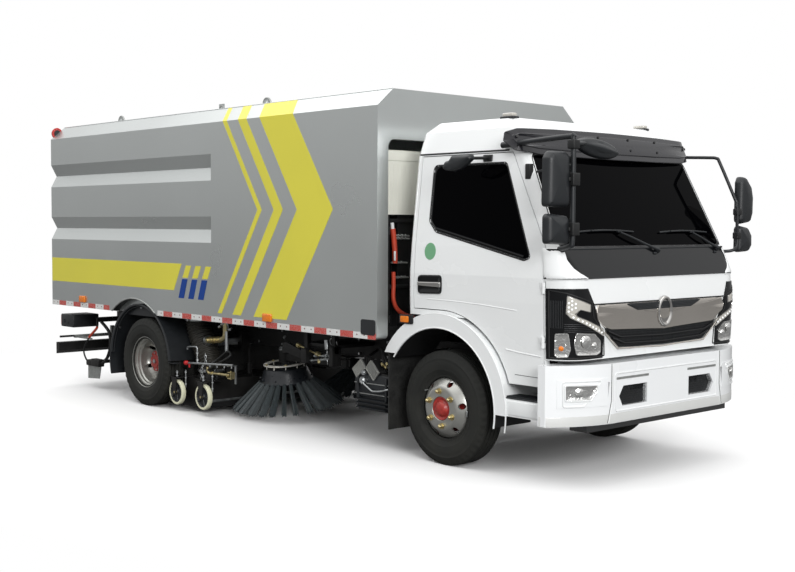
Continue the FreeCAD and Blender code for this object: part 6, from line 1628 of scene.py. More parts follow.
def trim(shape: Shape, outline: Sequence[Flat], onto: Onto, section: Sequence[Flat]) -> Shape:
    """Run a closed section round an outline on a surface.

    Args:
        shape: What it is added to.
        outline: The outline on the surface.
        onto: Carries outline points to the surface with a lift.
        section: Inset and lift round the section.

    Returns:
        The shape.
    """
    rings = [[shape.bm.verts.new(onto(u, v, lift)) for u, v in nested(outline, inset)] for inset, lift in section]
    count = len(outline)
    for here, there in zip(rings, [*rings[1:], rings[0]]):
        for k in range(count):
            shape.bm.faces.new((here[k], here[(k + 1) % count], there[(k + 1) % count], there[k]))
    return shape.round_off([v for ring in rings for v in ring], 0)


def line_on(points: Sequence[Flat], onto: Onto, lift: float, steps: int = 6) -> list[Vector]:
    """Lay an open line on a surface.

    Args:
        points: Points of the line in the surface's two sizes.
        onto: Carries them to the surface with a lift.
        lift: How far the line stands off.
        steps: Short runs between each two points.

    Returns:
        Points along the line.
    """
    line = []
    for a, b in zip(points, points[1:]):
        line += [onto(*(Vector(a).lerp(Vector(b), k / steps)), lift) for k in range(steps)]
    return [*line, onto(*points[-1], lift)]


def both_sides(wrap: Girth, flat: float = 0.13) -> Onto:
    """A surface that reaches across the middle.

    Args:
        wrap: The right-hand surface.
        flat: Half the width in the middle that is taken as flat across.

    Returns:
        A rule that takes distances to the left as below zero.
    """

    def onto(girth: float, z: float, lift: float = 0.0) -> Vector:
        """Take one point to the body.

        Args:
            girth: Distance round the body from its middle, below zero on the left.
            z: Its height.
            lift: How far it stands off the surface.

        Returns:
            The point in space.
        """
        spot = wrap.at(max(abs(girth), flat), z, lift)
        if abs(girth) < flat:
            return Vector((spot.x, -girth, spot.z))
        return spot if girth >= 0 else Vector((spot.x, -spot.y, spot.z))
    return onto


# ---------------------------------------------------------------- cab front


@dataclass
class Headlamp:
    """One headlamp: a black housing with a strip of diodes, an indicator and a main bowl."""

    def build(self, wrap: Girth) -> None:
        """Make both lamps.

        Args:
            wrap: The surface of the lamps and the panels round them.
        """
        dress("headlamps", Paint.HOUSING)
        rim = dense(rounded([(1.105, 0.838), (0.645, 0.842), (0.655, 0.972), (0.775, 1.10), (0.793, 1.196),
                    (0.985, 1.262), (1.105, 1.28)], 0.012), 0.03)
        edge = trim(Shape(), rim, wrap.at, [(0.0, 0.001), (0.001, 0.004), (0.006, 0.004), (0.009, 0.001)])
        edge.mirrored().place("headlamp_edges", "chassis", Paint.SEAL, "lamp_lens")
        self.strip(wrap)
        self.bowls(wrap)
        self.ribs(wrap)

    def strip(self, wrap: Girth) -> None:
        """The bent light guide with its row of diodes.

        Args:
            wrap: The surface of the lamps and the panels round them.
        """
        bar = dense(rounded([(0.985, 1.248), (0.815, 1.184), (0.812, 1.130), (0.9, 1.150), (0.93, 1.118),
                    (0.668, 1.022), (0.662, 0.965), (0.962, 1.098), (0.992, 1.13)], 0.012, 3), 0.03)
        guide = trim(Shape(), bar, wrap.at, [(0.0, 0.001), (0.0015, 0.006), (0.005, 0.006), (0.007, 0.001)])
        guide.mirrored().place("headlamp_guides_rim", "chassis", Paint.CHROME, "lamp_lens")
        glow = Shape()
        for corners in ([(0.98, 1.243), (0.82, 1.18), (0.817, 1.134), (0.905, 1.153), (0.935, 1.125), (0.985, 1.135)],
                [(0.985, 1.135), (0.935, 1.125), (0.9, 1.103), (0.676, 1.018), (0.668, 0.972), (0.962, 1.104)]):
            pad(glow, dense(corners, 0.03), wrap.at, [(0.0, 0.003), (0.002, 0.004)])
        glow.mirrored().place("headlamp_guides", "chassis", Paint.GUIDE, "lamp_lens")
        dots = Shape()
        lower = [(0.694 + 0.031 * k, 0.999 + 0.0132 * k) for k in range(9)]
        upper = [(0.972, 1.142), (0.972, 1.168), (0.972, 1.195), (0.952, 1.155), (0.952, 1.182), (0.952, 1.208),
            (0.93, 1.165), (0.93, 1.19)]
        for u, z in (*lower, *upper):
            stud(dots, wrap.at, (u, z), [(0.0075, 0), (0.0068, 0.0025), (0.004, 0.0045), (0, 0.005)], 10, 0.004)
        dots.mirrored().place("headlamp_diodes", "chassis", Paint.DIODE, "lamp_lens")

    def bowls(self, wrap: Girth) -> None:
        """The indicator chamber with its amber bulb and the main reflector.

        Args:
            wrap: The surface of the lamps and the panels round them.
        """
        bowl = Shape()
        chamber = dense(rounded([(1.062, 0.86), (1.058, 1.0), (0.972, 1.004), (0.955, 0.90), (0.972, 0.850),
                    (1.04, 0.846)], 0.014, 4), 0.02)
        main = dense(rounded([(0.918, 0.862), (0.935, 0.93), (0.925, 1.005), (0.77, 0.995), (0.705, 0.945),
                    (0.70, 0.872), (0.74, 0.856)], 0.02, 4), 0.02)
        for outline in (chamber, main):
            pad(bowl, outline, wrap.at, [(0.0, 0.006), (0.004, 0.0065), (0.008, 0.004), (0.02, 0.0012)],
                crown=-0.0008)
        bowl.mirrored().place("headlamp_bowls", "chassis", Paint.REFLECTOR, "lamp_lens")
        bulbs = Shape()
        size = 0.017
        stud(bulbs, wrap.at, (1.018, 0.905), [(size, 0), (size * 0.95, 0.006), (size * 0.6, 0.014), (0, 0.018)], 20)
        bulbs.mirrored().place("indicator_bulbs", "chassis", Paint.AMBER, "lamp_lens")
        lens = Shape()
        for u, z, size in ((0.845, 0.945, 0.040), (0.762, 0.918, 0.022)):
            profile = [(size, 0), (size, 0.004), (size * 0.92, 0.006), (size * 0.55, 0.012), (0, 0.014)]
            stud(lens, wrap.at, (u, z), profile, 32, 0.001)
        lens.mirrored().place("headlamp_lenses", "chassis", Paint.REFLECTOR, "lamp_lens")

    def ribs(self, wrap: Girth) -> None:
        """Fine upright ribs and cross lines in the housing's outer part.

        Args:
            wrap: The surface of the lamps and the panels round them.
        """
        ribs = Shape()
        for k in range(9):
            u = 1.012 + 0.011 * k
            ribs.sweep(line_on([(u, 1.035), (u, 1.21)], wrap.at, 0.001, 4), 0.0022, 6)
        for k in range(5):
            z = 1.012 + 0.012 * k
            ribs.sweep(line_on([(0.76 + 0.03 * k, z), (1.0, z)], wrap.at, 0.001, 5), 0.0018, 6)
        ribs.mirrored().place("headlamp_ribs", "chassis", Paint.GRAINED, "lamp_lens")


@dataclass
class Grille:
    """Smoked-chrome band with a blank oval badge over a dark meshed grille with two bars.

    Attributes:
        badge_level: Level of the badge's middle.
        badge_half: Half its width and height.
        rows: Rows of wire across the mesh.
        posts: Upright wires in the mesh.
    """

    badge_level: float = 1.108
    badge_half: Flat = (0.0815, 0.105)
    rows: int = 9
    posts: int = 81

    def build(self, wrap: Girth) -> None:
        """Make the band, the badge, the mesh, its bars and its lower edge.

        Args:
            wrap: The surface of the grille and the panels round it.
        """
        dress("grille", Paint.GRAINED)
        band = Shape()
        outline = dense(rounded([(0.735, 1.178), (0.755, 1.130), (0.742, 1.085), (0.655, 1.026), (0.60, 1.012),
                    (0.0, 0.988), (-0.60, 1.012), (-0.655, 1.026), (-0.742, 1.085), (-0.755, 1.130), (-0.735, 1.178),
                    (0.0, 1.178)], 0.008, 3), 0.035)
        both = both_sides(wrap)
        pad(band, outline, both, [(0.0, 0.005), (0.003, 0.009), (0.008, 0.010)], crown=0.004)
        band.place("grille_band", "chassis", Paint.DARK_CHROME, "chrome_trim", ("grille",))
        inset = Shape()
        slot = dense(rounded([(0.46, 1.176), (0.38, 1.146), (0.33, 1.128), (-0.33, 1.128), (-0.38, 1.146),
                    (-0.46, 1.176)], 0.012, 3), 0.03)
        pad(inset, slot, both, [(0.0, 0.0138), (0.003, 0.0145)], crown=0.001)
        for k in range(4):
            z = 1.138 + 0.010 * k
            reach = 0.34 + 0.028 * k
            inset.sweep(line_on([(reach, z), (-reach, z)], both, 0.0155, 14), 0.0024, 6)
        inset.place("grille_inset", "chassis", Paint.GRAINED, "black_plastic")
        self.mesh(both)
        self.badge(both)

    def mesh(self, both: Onto) -> None:
        """The dark mesh, its bars and the light edge beneath.

        Args:
            both: The surface that reaches across the middle.
        """
        back = Shape()
        outline = dense([(0.655, 1.022), (0.640, 0.985), (0.51, 0.896), (0.0, 0.880), (-0.51, 0.896), (-0.640, 0.985),
                (-0.655, 1.022), (0.0, 0.995)], 0.035)
        pad(back, outline, both, [(0.0, 0.001), (0.002, 0.0015)])
        back.place("grille_ground", "chassis", Paint.SEAL, "black_plastic")
        cells = Shape()
        dip = 0.016
        for row in range(self.rows):
            z = 0.893 + 0.0145 * row
            half = 0.505 + 0.0145 * row
            line = [(-half, z), (-half * 0.5, z - dip * 0.3), (0.0, z - dip * 0.5), (half * 0.5, z - dip * 0.3),
                (half, z)]
            cells.sweep(line_on(line, both, 0.003, 8), 0.0016, 4)
        for k in range(self.posts):
            y = -0.6 + 0.015 * k
            low = 0.884 + max(abs(y) - 0.5, 0) * 0.75
            cells.sweep(line_on([(y, low), (y + 0.002, 1.006)], both, 0.003, 5), 0.0016, 4)
        cells.place("grille_mesh", "chassis", Paint.GRAINED, "black_plastic")
        bars = Shape()
        for level, reach, drop in ((0.990, 0.632, 0.030), (0.945, 0.585, 0.028)):
            line = [(-reach, level + 0.012), (-reach + 0.13, level - drop), (0.0, level - drop - 0.012),
                (reach - 0.13, level - drop), (reach, level + 0.012)]
            bars.sweep(line_on(line, both, 0.006, 8), 0.008, 8)
        bars.place("grille_bars", "chassis", Paint.PIANO_BLACK, "black_plastic")
        edge = Shape()
        line = [(-0.662, 0.998), (-0.515, 0.886), (0.0, 0.870), (0.515, 0.886), (0.662, 0.998)]
        edge.sweep(line_on(line, both, 0.004, 10), 0.006, 8)
        edge.place("grille_edge", "chassis", Paint.DARK_CHROME, "chrome_trim")
        joint = Shape().sweep(line_on([(-0.78, 1.182), (0.0, 1.182), (0.78, 1.182)], both, 0.002, 16), 0.0045, 6)
        joint.place("grille_joint", "chassis", Paint.SEAL, "black_rubber")

    def badge(self, both: Onto) -> None:
        """A plain oval ring with a plain dished middle.

        Args:
            both: The surface that reaches across the middle.
        """
        ring = Shape()
        level, (half_y, half_z) = self.badge_level, self.badge_half
        middle = both(0.0, level, 0.0)
        rows = []
        angles = turns(48)
        for wide, out in ((1.0, 0.004), (1.0, 0.017), (0.96, 0.024), (0.88, 0.027), (0.80, 0.024), (0.76, 0.017),
                (0.74, 0.0135), (0.4, 0.0115), (0.05, 0.011)):
            rows.append([Vector((middle.x + out, half_y * wide * math.cos(a), level + half_z * wide * math.sin(a)))
                    for a in angles])
        verts = [[ring.bm.verts.new(p) for p in row] for row in rows]
        for here, there in zip(verts, verts[1:]):
            for k in range(48):
                ring.bm.faces.new((here[k], here[(k + 1) % 48], there[(k + 1) % 48], there[k]))
        ring.bm.faces.new(verts[-1])
        ring.bm.faces.new(verts[0][::-1])
        ring.round_off([v for row in verts for v in row], 0)
        ring.place("grille_badge", "chassis", Paint.CHROME, "chrome_trim")


@dataclass
class Bumper:
    """The bumper's trims, meshes, fog lamps and seams.

    Attributes:
        mesh_front: Where the meshes stand, along the vehicle.
        pitch: Distance between two cells of a mesh.
        cell: Radius of a cell.
        wall: Radius of the wire round it.
    """

    mesh_front: float = 3.386
    pitch: float = 0.0175
    cell: float = 0.0095
    wall: float = 0.0016

    def build(self) -> None:
        """Make every detail of the bumper."""
        dress("front_bumper", Paint.BUMPER)
        wrap = Girth(0.75, "front_bumper", upright=True)
        both = both_sides(wrap)
        trims = Shape()
        pad(trims, dense([(0.225, 0.690), (0.225, 0.706), (0.575, 0.706), (0.575, 0.690)], 0.05), both,
            [(0.0, 0.0012), (0.001, 0.0016)])
        trims.mirrored().place("bumper_slots", "chassis", Paint.GALVANISED, "grey_paint")
        panel = Shape()
        trim(panel, dense(rounded([(-0.585, 0.482), (-0.585, 0.735), (0.585, 0.735), (0.585, 0.482)], 0.02), 0.06),
            both, [(0.0, -0.001), (0.0, 0.004), (0.006, 0.004), (0.010, -0.001)])
        for side in (1, -1):
            panel.sweep(line_on([(side * 0.612, 0.797), (side * 0.612, 0.56), (side * 0.648, 0.415)], both, 0.0, 5),
                0.004, 6)
        panel.place("bumper_creases", "chassis", Paint.CAB_WHITE, "white_paint")
        seams = Shape()
        seams.sweep(line_on([(0.624, 0.797), (0.624, 0.56), (0.66, 0.415)], both, 0.0, 5), 0.0025, 6)
        seams.mirrored().place("bumper_seams", "chassis", Paint.SEAL, "black_rubber")
        band = Shape()
        rows = [[both(u, z, lift) for u in [1.16 - 0.058 * k for k in range(41)]] for z, lift in ((0.412, -0.001),
                (0.412, 0.0015), (0.470, 0.0015), (0.476, -0.001))]
        band.skin(rows)
        band.place("bumper_lower_band", "chassis", Paint.BUMPER_BAND, "white_paint")
        self.meshes()
        self.fog_lamps(wrap)

    def meshes(self) -> None:
        """Honeycomb meshes in the two openings, grown on a grid of points."""
        tree = Tree("bumper_honeycomb", Cell=self.cell, Wall=self.wall)
        cell = tree.add("GeometryNodeMeshCircle", {"Vertices": 6, "Radius": tree.size("Cell")}, fill_type="NONE")
        wire = tree.add("GeometryNodeCurveToMesh",
            {0: tree.add("GeometryNodeMeshToCurve", {0: cell.outputs[0]}).outputs[0],
                1: tree.add("GeometryNodeCurvePrimitiveCircle",
                    {"Resolution": 4, "Radius": tree.size("Wall")}).outputs[0]})
        turned = tree.add("FunctionNodeAlignRotationToVector", {"Vector": (1.0, 0.0, 0.0)}, axis="Z")
        placed = tree.add("GeometryNodeInstanceOnPoints", {"Points": tree.entry.outputs["Geometry"],
                "Instance": wire.outputs[0], "Rotation": turned.outputs[0]})
        tree.finish(placed.outputs[0], Paint.GRAINED)
        seed = bpy.data.meshes.new("honeycomb_points")
        outline = [(0.246, 0.520), (0.500, 0.520), (0.538, 0.580), (0.494, 0.640), (0.246, 0.640)]
        points = []
        for row in range(9):
            for column in range(19):
                y = 0.250 + self.pitch * column + (self.pitch / 2 if row % 2 else 0)
                z = 0.522 + self.pitch * 0.87 * row
                limit = 0.500 + 0.038 * (1 - abs(z - 0.58) / 0.06)
                if y < limit - 0.004:
                    points += [(self.mesh_front, y, z), (self.mesh_front, -y, z)]
        seed.from_pydata(points, [], [])
        tree.grow("bumper_meshes", seed, "chassis", "black_plastic")
        back = Shape()
        back.prism(outline, 0, self.mesh_front - 0.024, self.mesh_front - 0.016)
        back.mirrored().place("bumper_mesh_grounds", "chassis", Paint.SEAL, "black_plastic")

    def fog_lamps(self, wrap: Girth) -> None:
        """Fog lamps in their openings, and the wide V-shaped moulding round each.

        Args:
            wrap: The bumper's surface on the right.
        """
        across = [1.035 - 0.0125 * k for k in range(31)]
        panel = Shape().skin([[wrap.at(u, z, 0.003) for u in across] for z in (0.530, 0.620, 0.710)], 0.004)
        panel.mirrored().place("fog_lamp_panels", "chassis", Paint.BUMPER, "white_paint")
        bowl = Shape()
        outline = dense(rounded([(0.978, 0.579), (0.98, 0.674), (0.748, 0.669), (0.757, 0.630), (0.803, 0.574)],
                0.012, 4), 0.02)
        pad(bowl, outline, wrap.at, [(0.0, 0.006), (0.004, 0.009), (0.010, 0.007), (0.02, 0.0045)], sunk=0.004)
        bowl.mirrored().place("fog_lamp_bowls", "chassis", Paint.REFLECTOR, "lamp_lens")
        bezel = Shape()
        trim(bezel, outline, wrap.at, [(-0.010, 0.002), (-0.008, 0.008), (-0.002, 0.010), (0.003, 0.007),
                (0.0, 0.002)])
        bezel.mirrored().place("fog_lamp_bezels", "chassis", Paint.CAB_WHITE, "white_paint")
        bulb = Shape()
        stud(bulb, wrap.at, (0.885, 0.624), [(0.03, 0), (0.03, 0.004), (0.024, 0.008), (0.0, 0.011)], 28, 0.005)
        bulb.mirrored().place("fog_lamp_lenses", "chassis", Paint.REFLECTOR, "lamp_lens")
        brow = Shape()
        wide = dense(rounded([(1.000, 0.530), (1.005, 0.705), (0.722, 0.704), (0.715, 0.68), (0.845, 0.530)], 0.025,
                4), 0.03)
        trim(brow, wide, wrap.at, [(0.0, 0.001), (0.004, 0.0075), (0.010, 0.0075), (0.018, 0.001)])
        brow.mirrored().place("fog_lamp_brows", "chassis", Paint.CAB_WHITE, "white_paint")


@dataclass
class Windscreen:
    """Glass with its black edge, the wipers, the dark panel below and the visor above.

    Attributes:
        nearly_flat: Half the width in which the visor bows only a little.
        corner: Radius of its swept ends.
    """

    nearly_flat: float = 0.86
    corner: float = 0.15

    def build(self) -> None:
        """Make everything round the windscreen."""
        dress("windscreen", Paint.GLASS)
        dress("front_mask", Paint.PIANO_BLACK)
        skin = Skin("cab_shell", "windscreen", "front_mask")
        seal = Shape()
        outline = dense(rounded([(-0.918, 1.546), (-0.853, 2.150), (0.853, 2.150), (0.918, 1.546)], 0.05, 5), 0.04)
        trim(seal, outline, self.over(skin), [(-0.012, 0.0), (-0.010, 0.0035), (0.004, 0.0035), (0.008, -0.006)])
        seal.place("windscreen_seal", "chassis", Paint.SEAL, "black_rubber")
        self.wipers(skin)
        self.mask_trim(skin)
        self.visor()

    def over(self, skin: Skin) -> Onto:
        """Reach over the glass's edge, where the skin steps back.

        Args:
            skin: The cab's front.

        Returns:
            A rule for points across and up.
        """

        def onto(y: float, z: float, lift: float = 0.0) -> Vector:
            """Take one point to the skin's front, off it by the lift."""
            reach = min(abs(y), 0.985) * (1 if y > 0 else -1)
            return skin.front(reach, z, lift)
        return onto

    def wipers(self, skin: Skin) -> None:
        """Two wipers: a pivot on the dark panel, a tapered arm and a blade on its bridge.

        Args:
            skin: The cab's front.
        """
        wiper = Shape()
        for pivot, elbow, (low, high) in (((0.094, 1.518), (-0.252, 1.640), (-0.679, -0.086)),
                ((0.835, 1.526), (0.600, 1.636), (0.216, 0.800))):
            base = skin.front(*pivot, 0.0)
            wiper.lathe([(0.0, -0.01), (0.02, -0.01), (0.02, 0.012), (0.014, 0.02), (0, 0.022)], tuple(base),
                (1, 0, 0.12), 20, False)
            arm = [skin.front(*pivot, 0.022), skin.front(pivot[0] * 0.7 + elbow[0] * 0.3, pivot[1] * 0.7 + elbow[1]
                    * 0.3, 0.03), skin.front(pivot[0] * 0.3 + elbow[0] * 0.7, pivot[1] * 0.3 + elbow[1] * 0.7, 0.032),
                skin.front(*elbow, 0.026)]
            wiper.sweep(smooth_path(arm, 4), lambda t: 0.0105 - 0.004 * t, 8)
            level = elbow[1] + 0.004
            steps = [low + (high - low) * k / 14 for k in range(15)]
            wiper.sweep([skin.front(y, level + 0.01 * math.sin(k * math.pi / 14), 0.010) for k,
                    y in enumerate(steps)], 0.0065, 6)
            wiper.sweep([skin.front(y, level + 0.01 * math.sin(k * math.pi / 14), 0.020) for k, y in enumerate(steps)
                    if 3 <= k <= 11], 0.0055, 6)
            wiper.box(tuple(skin.front(elbow[0], level + 0.004, 0.014) - Vector((0.008, 0.022, 0.009))),
                      tuple(skin.front(elbow[0], level + 0.004, 0.014) + Vector((0.014, 0.022, 0.009))), 0.003)
        wiper.place("wipers", "chassis", Paint.GRAINED, "black_plastic")

    def mask_trim(self, skin: Skin) -> None:
        """Washer nozzles and the ledge over the dark panel.

        Args:
            skin: The cab's front.
        """
        bits = Shape()
        for y in (0.05, 0.79):
            spot = skin.front(y, 1.497, 0.0)
            bits.box(tuple(spot - Vector((0.01, 0.016, 0.006))), tuple(spot + Vector((0.010, 0.016, 0.008))), 0.004)
        steps = [-0.93 + 1.86 * k / 40 for k in range(41)]
        bits.sweep([skin.front(y, 1.5335, 0.001) for y in steps], 0.005, 8)
        bits.place("washer_nozzles", "chassis", Paint.GRAINED, "black_plastic")
        girth = Girth(1.45, "cab_shell", "front_mask", "windscreen")
        corner = [(0.916, 1.540), (0.910, 1.469), (0.878, 1.413), (0.84, 1.382), (0.788, 1.352), (0.788, 1.336),
            (1.06, 1.336), (1.085, 1.540)]
        panel = pad(Shape(), dense(corner, 0.03), girth.at, [(0.0, 0.0), (0.001, 0.003), (0.003, 0.004)])
        panel.mirrored().place("mask_corner_panels", "chassis", Paint.CAB_WHITE, "white_paint")

    def visor(self) -> None:
        """The smoked visor: a bowed panel with swept ends, a crease, screws and its stays."""
        flat, corner = self.nearly_flat, self.corner

        def onto(y: float, z: float, lift: float = 0.0) -> Vector:
            """Take one point to the bent glass.

            Args:
                y: Its place across.
                z: Its height.
                lift: How far it stands off the glass.

            Returns:
                The point in space.
            """
            past = min(max(abs(y) - flat, 0.0), 0.148)
            rest = math.sqrt(corner**2 - past**2)
            sag = 0.04 * y * y + corner - rest
            slope = math.copysign(0.08 * abs(y) + past / rest, y)
            out = Vector((1.0, slope, 0.33)).normalized()
            return Vector((2.942 - sag - 0.35 * (z - 2.16), y, z)) + out * lift

        panel = Shape()
        half = [(0.0, 2.140), (0.45, 2.143), (0.80, 2.150), (0.97, 2.172), (1.0, 2.235), (0.99, 2.296), (0.93, 2.320),
            (0.60, 2.328), (0.0, 2.332)]
        outline = half + [(-y, z) for y, z in reversed(half[1:-1])]
        pad(panel, dense(rounded(outline, 0.02, 3), 0.03), onto, [(0.0, 0.001), (0.003, 0.005), (0.034, 0.006),
                (0.040, 0.012)], sunk=0.004, crown=0.003, sheet=True)
        panel.place("sun_visor_panel", "chassis", Paint.SMOKED, "black_plastic", ("sun_visor",))
        bits = Shape()
        for y in (-0.94, -0.50, -0.17, 0.17, 0.50, 0.94):
            for z in ((2.262,) if abs(y) > 0.9 else (2.212, 2.288)):
                spot = onto(y, z, 0.010)
                bits.rod(tuple(spot), tuple(onto(y, z, 0.0185)), 0.009, 14)
        skin = Skin("cab_shell")
        for y in (-0.62, 0.0, 0.62):
            root = skin.front(y, 2.236, -0.004)
            bits.sweep([root, root + Vector((0.05, 0, 0.004)), onto(y, 2.24, -0.002)], 0.008, 8)
            bits.box((root.x - 0.004, y - 0.02, 2.216), (root.x + 0.012, y + 0.02, 2.256), 0.003)
        bits.place("visor_fixings", "chassis", Paint.SEAL, "black_plastic")


@dataclass
class Roof:
    """The cab's shell with the marker lamps on its roof.

    Attributes:
        along: Where the lamps stand, along the vehicle.
        out: How far out they stand.
        above: A level over the roof, from which its surface is found.
    """

    along: float = 2.60
    out: float = 0.74
    above: float = 4.0

    def build(self) -> None:
        """Make the roof's pieces."""
        dress("cab_shell", Paint.CAB_WHITE)
        top = Skin("cab_shell")
        base = Shape()
        lens = Shape()
        for y in (-self.out, self.out):
            spot = top.cast(Vector((self.along, y, self.above)), Vector((0, 0, -1)))
            x, z = spot.x, spot.z
            for shape, half_x, half_y, low, high in ((base, 0.062, 0.034, -0.006, 0.014), (lens, 0.048, 0.026, 0.006,
                        0.036)):
                shape.box((x - half_x, y - half_y, z + low), (x + half_x, y + half_y, z + high), 0.009)
        base.place("marker_lamp_feet", "chassis", Paint.GRAINED, "black_plastic")
        lens.place("marker_lamps", "chassis", Paint.GUIDE, "lamp_lens")


# ---------------------------------------------------------------- cab side and mirrors


def band(shape: Shape, outer: Sequence[Flat], inner: Sequence[Flat], onto: Onto, section: Sequence[Flat],
        steps: int = 4) -> Shape:
    """Lay a closed frame of changing width between two outlines with as many corners.

    Args:
        shape: What it is added to.
        outer: Its outer edge.
        inner: Its inner edge.
        onto: Carries outline points to the surface with a lift.
        section: Share from the outer to the inner edge and lift, round the section.
        steps: Short runs per edge.

    Returns:
        The shape.
    """
    rings = []
    for share, lift in section:
        corners = [Vector(a).lerp(Vector(b), share) for a, b in zip(outer, inner)]
        spots = [a.lerp(b, k / steps) for a, b in zip(corners, corners[1:] + corners[:1]) for k in range(steps)]
        rings.append([shape.bm.verts.new(onto(*spot, lift)) for spot in spots])
    count = len(rings[0])
    for here, there in zip(rings, [*rings[1:], rings[0]]):
        for k in range(count):
            shape.bm.faces.new((here[k], here[(k + 1) % count], there[(k + 1) % count], there[k]))
    return shape.round_off([v for ring in rings for v in ring], 0)


@dataclass
class CabSide:
    """One side of the cab: the door's seals, handle and creases, the arch and the step.

    Attributes:
        side: Which side of the vehicle.
        centre: Middle of the front arch, along and up.
    """

    side: Side
    centre: Flat = (FRONT_AXLE, 0.43)

    def __post_init__(self) -> None:
        """Gather the door's skin; everything is drawn on the right and flipped for the left."""
        self.skin = Skin("cab_shell", "cab_door_right", "cab_window_right")

    def settle(self, shape: Shape, name: str, body: str, finish: Paint, slot: str) -> None:
        """Place a piece drawn on the right, or its twin on the left.

        Args:
            shape: The piece.
            name: Its name without the side.
            body: The body that it rides on.
            finish: What it wears.
            slot: Its material slot.
        """
        if self.side is Side.LEFT:
            shape.flip()
        shape.place(f"{name}_{self.side.word}", body, finish, slot)

    def window(self) -> None:
        """The pane's black edge with rounded corners and the sill's wiping strip."""
        door = f"cab_door_{self.side.word}"
        corners = [(2.05, 1.712), (2.053, 2.097), (2.73, 2.097), (2.997, 1.478), (2.95, 1.462), (2.12, 1.64)]
        outer = rounded(nested(corners, -0.010), 0.045, 6)
        inner = rounded(nested(corners, 0.020), 0.085, 6)
        seal = band(Shape(), outer, inner, self.skin.side, [(0.0, 0.001), (0.08, 0.0035), (0.30, 0.0035),
                (0.42, -0.003), (0.95, -0.0062), (1.0, -0.0078)])
        self.settle(seal, "window_seal", door, Paint.SEAL, "black_rubber")
        strip = Shape().sweep(line_on([(2.115, 1.661), (2.945, 1.482)], self.skin.side, 0.004, 12), 0.008, 8)
        self.settle(strip, "window_sill_strip", door, Paint.PIANO_BLACK, "black_rubber")

    def handle(self) -> None:
        """The handle's dark shell with its two hollows and a chrome bar across."""
        door = f"cab_door_{self.side.word}"
        outline = dense(rounded([(1.966, 1.198), (1.966, 1.332), (2.204, 1.338), (2.204, 1.205)], 0.032, 5), 0.03)
        shell = pad(Shape(), outline, self.skin.side, [(0.0, 0.001), (0.003, 0.008), (0.010, 0.011), (0.018, 0.009),
                (0.030, 0.002)], crown=-0.001)
        self.settle(shell, "door_handle_shell", door, Paint.PIANO_BLACK, "black_plastic")
        bar = Shape()
        grip = dense(rounded([(1.972, 1.256), (1.972, 1.286), (2.198, 1.290), (2.198, 1.250)], 0.008, 3), 0.03)
        pad(bar, grip, self.skin.side, [(0.0, 0.013), (0.003, 0.018), (0.008, 0.020)])
        self.settle(bar, "door_handle_bar", door, Paint.CHROME, "chrome_trim")
        label = Shape()
        disc = [(2.075 + 0.056 * math.cos(a), 1.50 + 0.060 * math.sin(a)) for a in turns(40)]
        pad(label, disc, self.skin.side, [(0.0, 0.0004), (0.0005, 0.0012)])
        self.settle(label, "door_disc", door, Paint.FILM_GREEN, "white_paint")

    def creases(self) -> None:
        """The pressed lines low on the door, drawn as fine ridges and a dark seam."""
        door = f"cab_door_{self.side.word}"
        ridge = Shape()
        low = line_on([(2.80, 0.868), (2.90, 0.856), (3.10, 0.842)], self.skin.side, -0.003, 5)
        ridge.sweep(low, 0.0065, 8)
        belt = line_on([(2.06, 1.165), (2.32, 1.162), (2.60, 1.150), (2.90, 1.128)], self.skin.side, -0.0035, 5)
        ridge.sweep(belt, 0.006, 8)
        self.settle(ridge, "door_ridges", door, Paint.CAB_WHITE, "white_paint")
        seam = Shape().sweep(line_on([(2.88, 0.708), (3.11, 0.704)], self.skin.side, 0.0, 6), 0.002, 6)
        self.settle(seam, "door_sill_seam", door, Paint.SEAL, "black_rubber")

    def rail(self) -> None:
        """The drip rail over the door."""
        rail = Shape()
        rail.sweep([self.skin.side(x, z, 0.0015) for x, z in [(1.895 + 0.0425 * k, 2.183) for k in range(21)]], 0.006,
            8)
        self.settle(rail, "drip_rail", "chassis", Paint.SEAL, "black_rubber")

    def repeater(self) -> None:
        """The arch's indicator: an amber lens in its dark frame."""
        surround, lens = Shape(), Shape()
        surround.prism(rounded([(1.815, 0.980), (1.815, 1.045), (1.955, 1.047), (1.955, 0.980)], 0.014), 1, -1.029,
            -1.015, 0.002)
        lens.prism(rounded([(1.832, 0.991), (1.832, 1.035), (1.915, 1.036), (1.915, 0.991)], 0.010), 1, -1.034, -1.02,
            0.003)
        self.settle(surround, "repeater_frame", "chassis", Paint.SEAL, "black_plastic")
        self.settle(lens, "repeater_lens", "chassis", Paint.AMBER, "lamp_lens")

    def arc(self, radius: float) -> list[Flat]:
        """Points over the front wheel, from behind it to its front.

        Args:
            radius: Of the arc.

        Returns:
            The points, along and up.
        """
        x, z = self.centre
        return [(x + radius * math.cos(a), z + radius * math.sin(a)) for a in (math.radians(-10 + 5.2 * k) for k
                in range(31))]

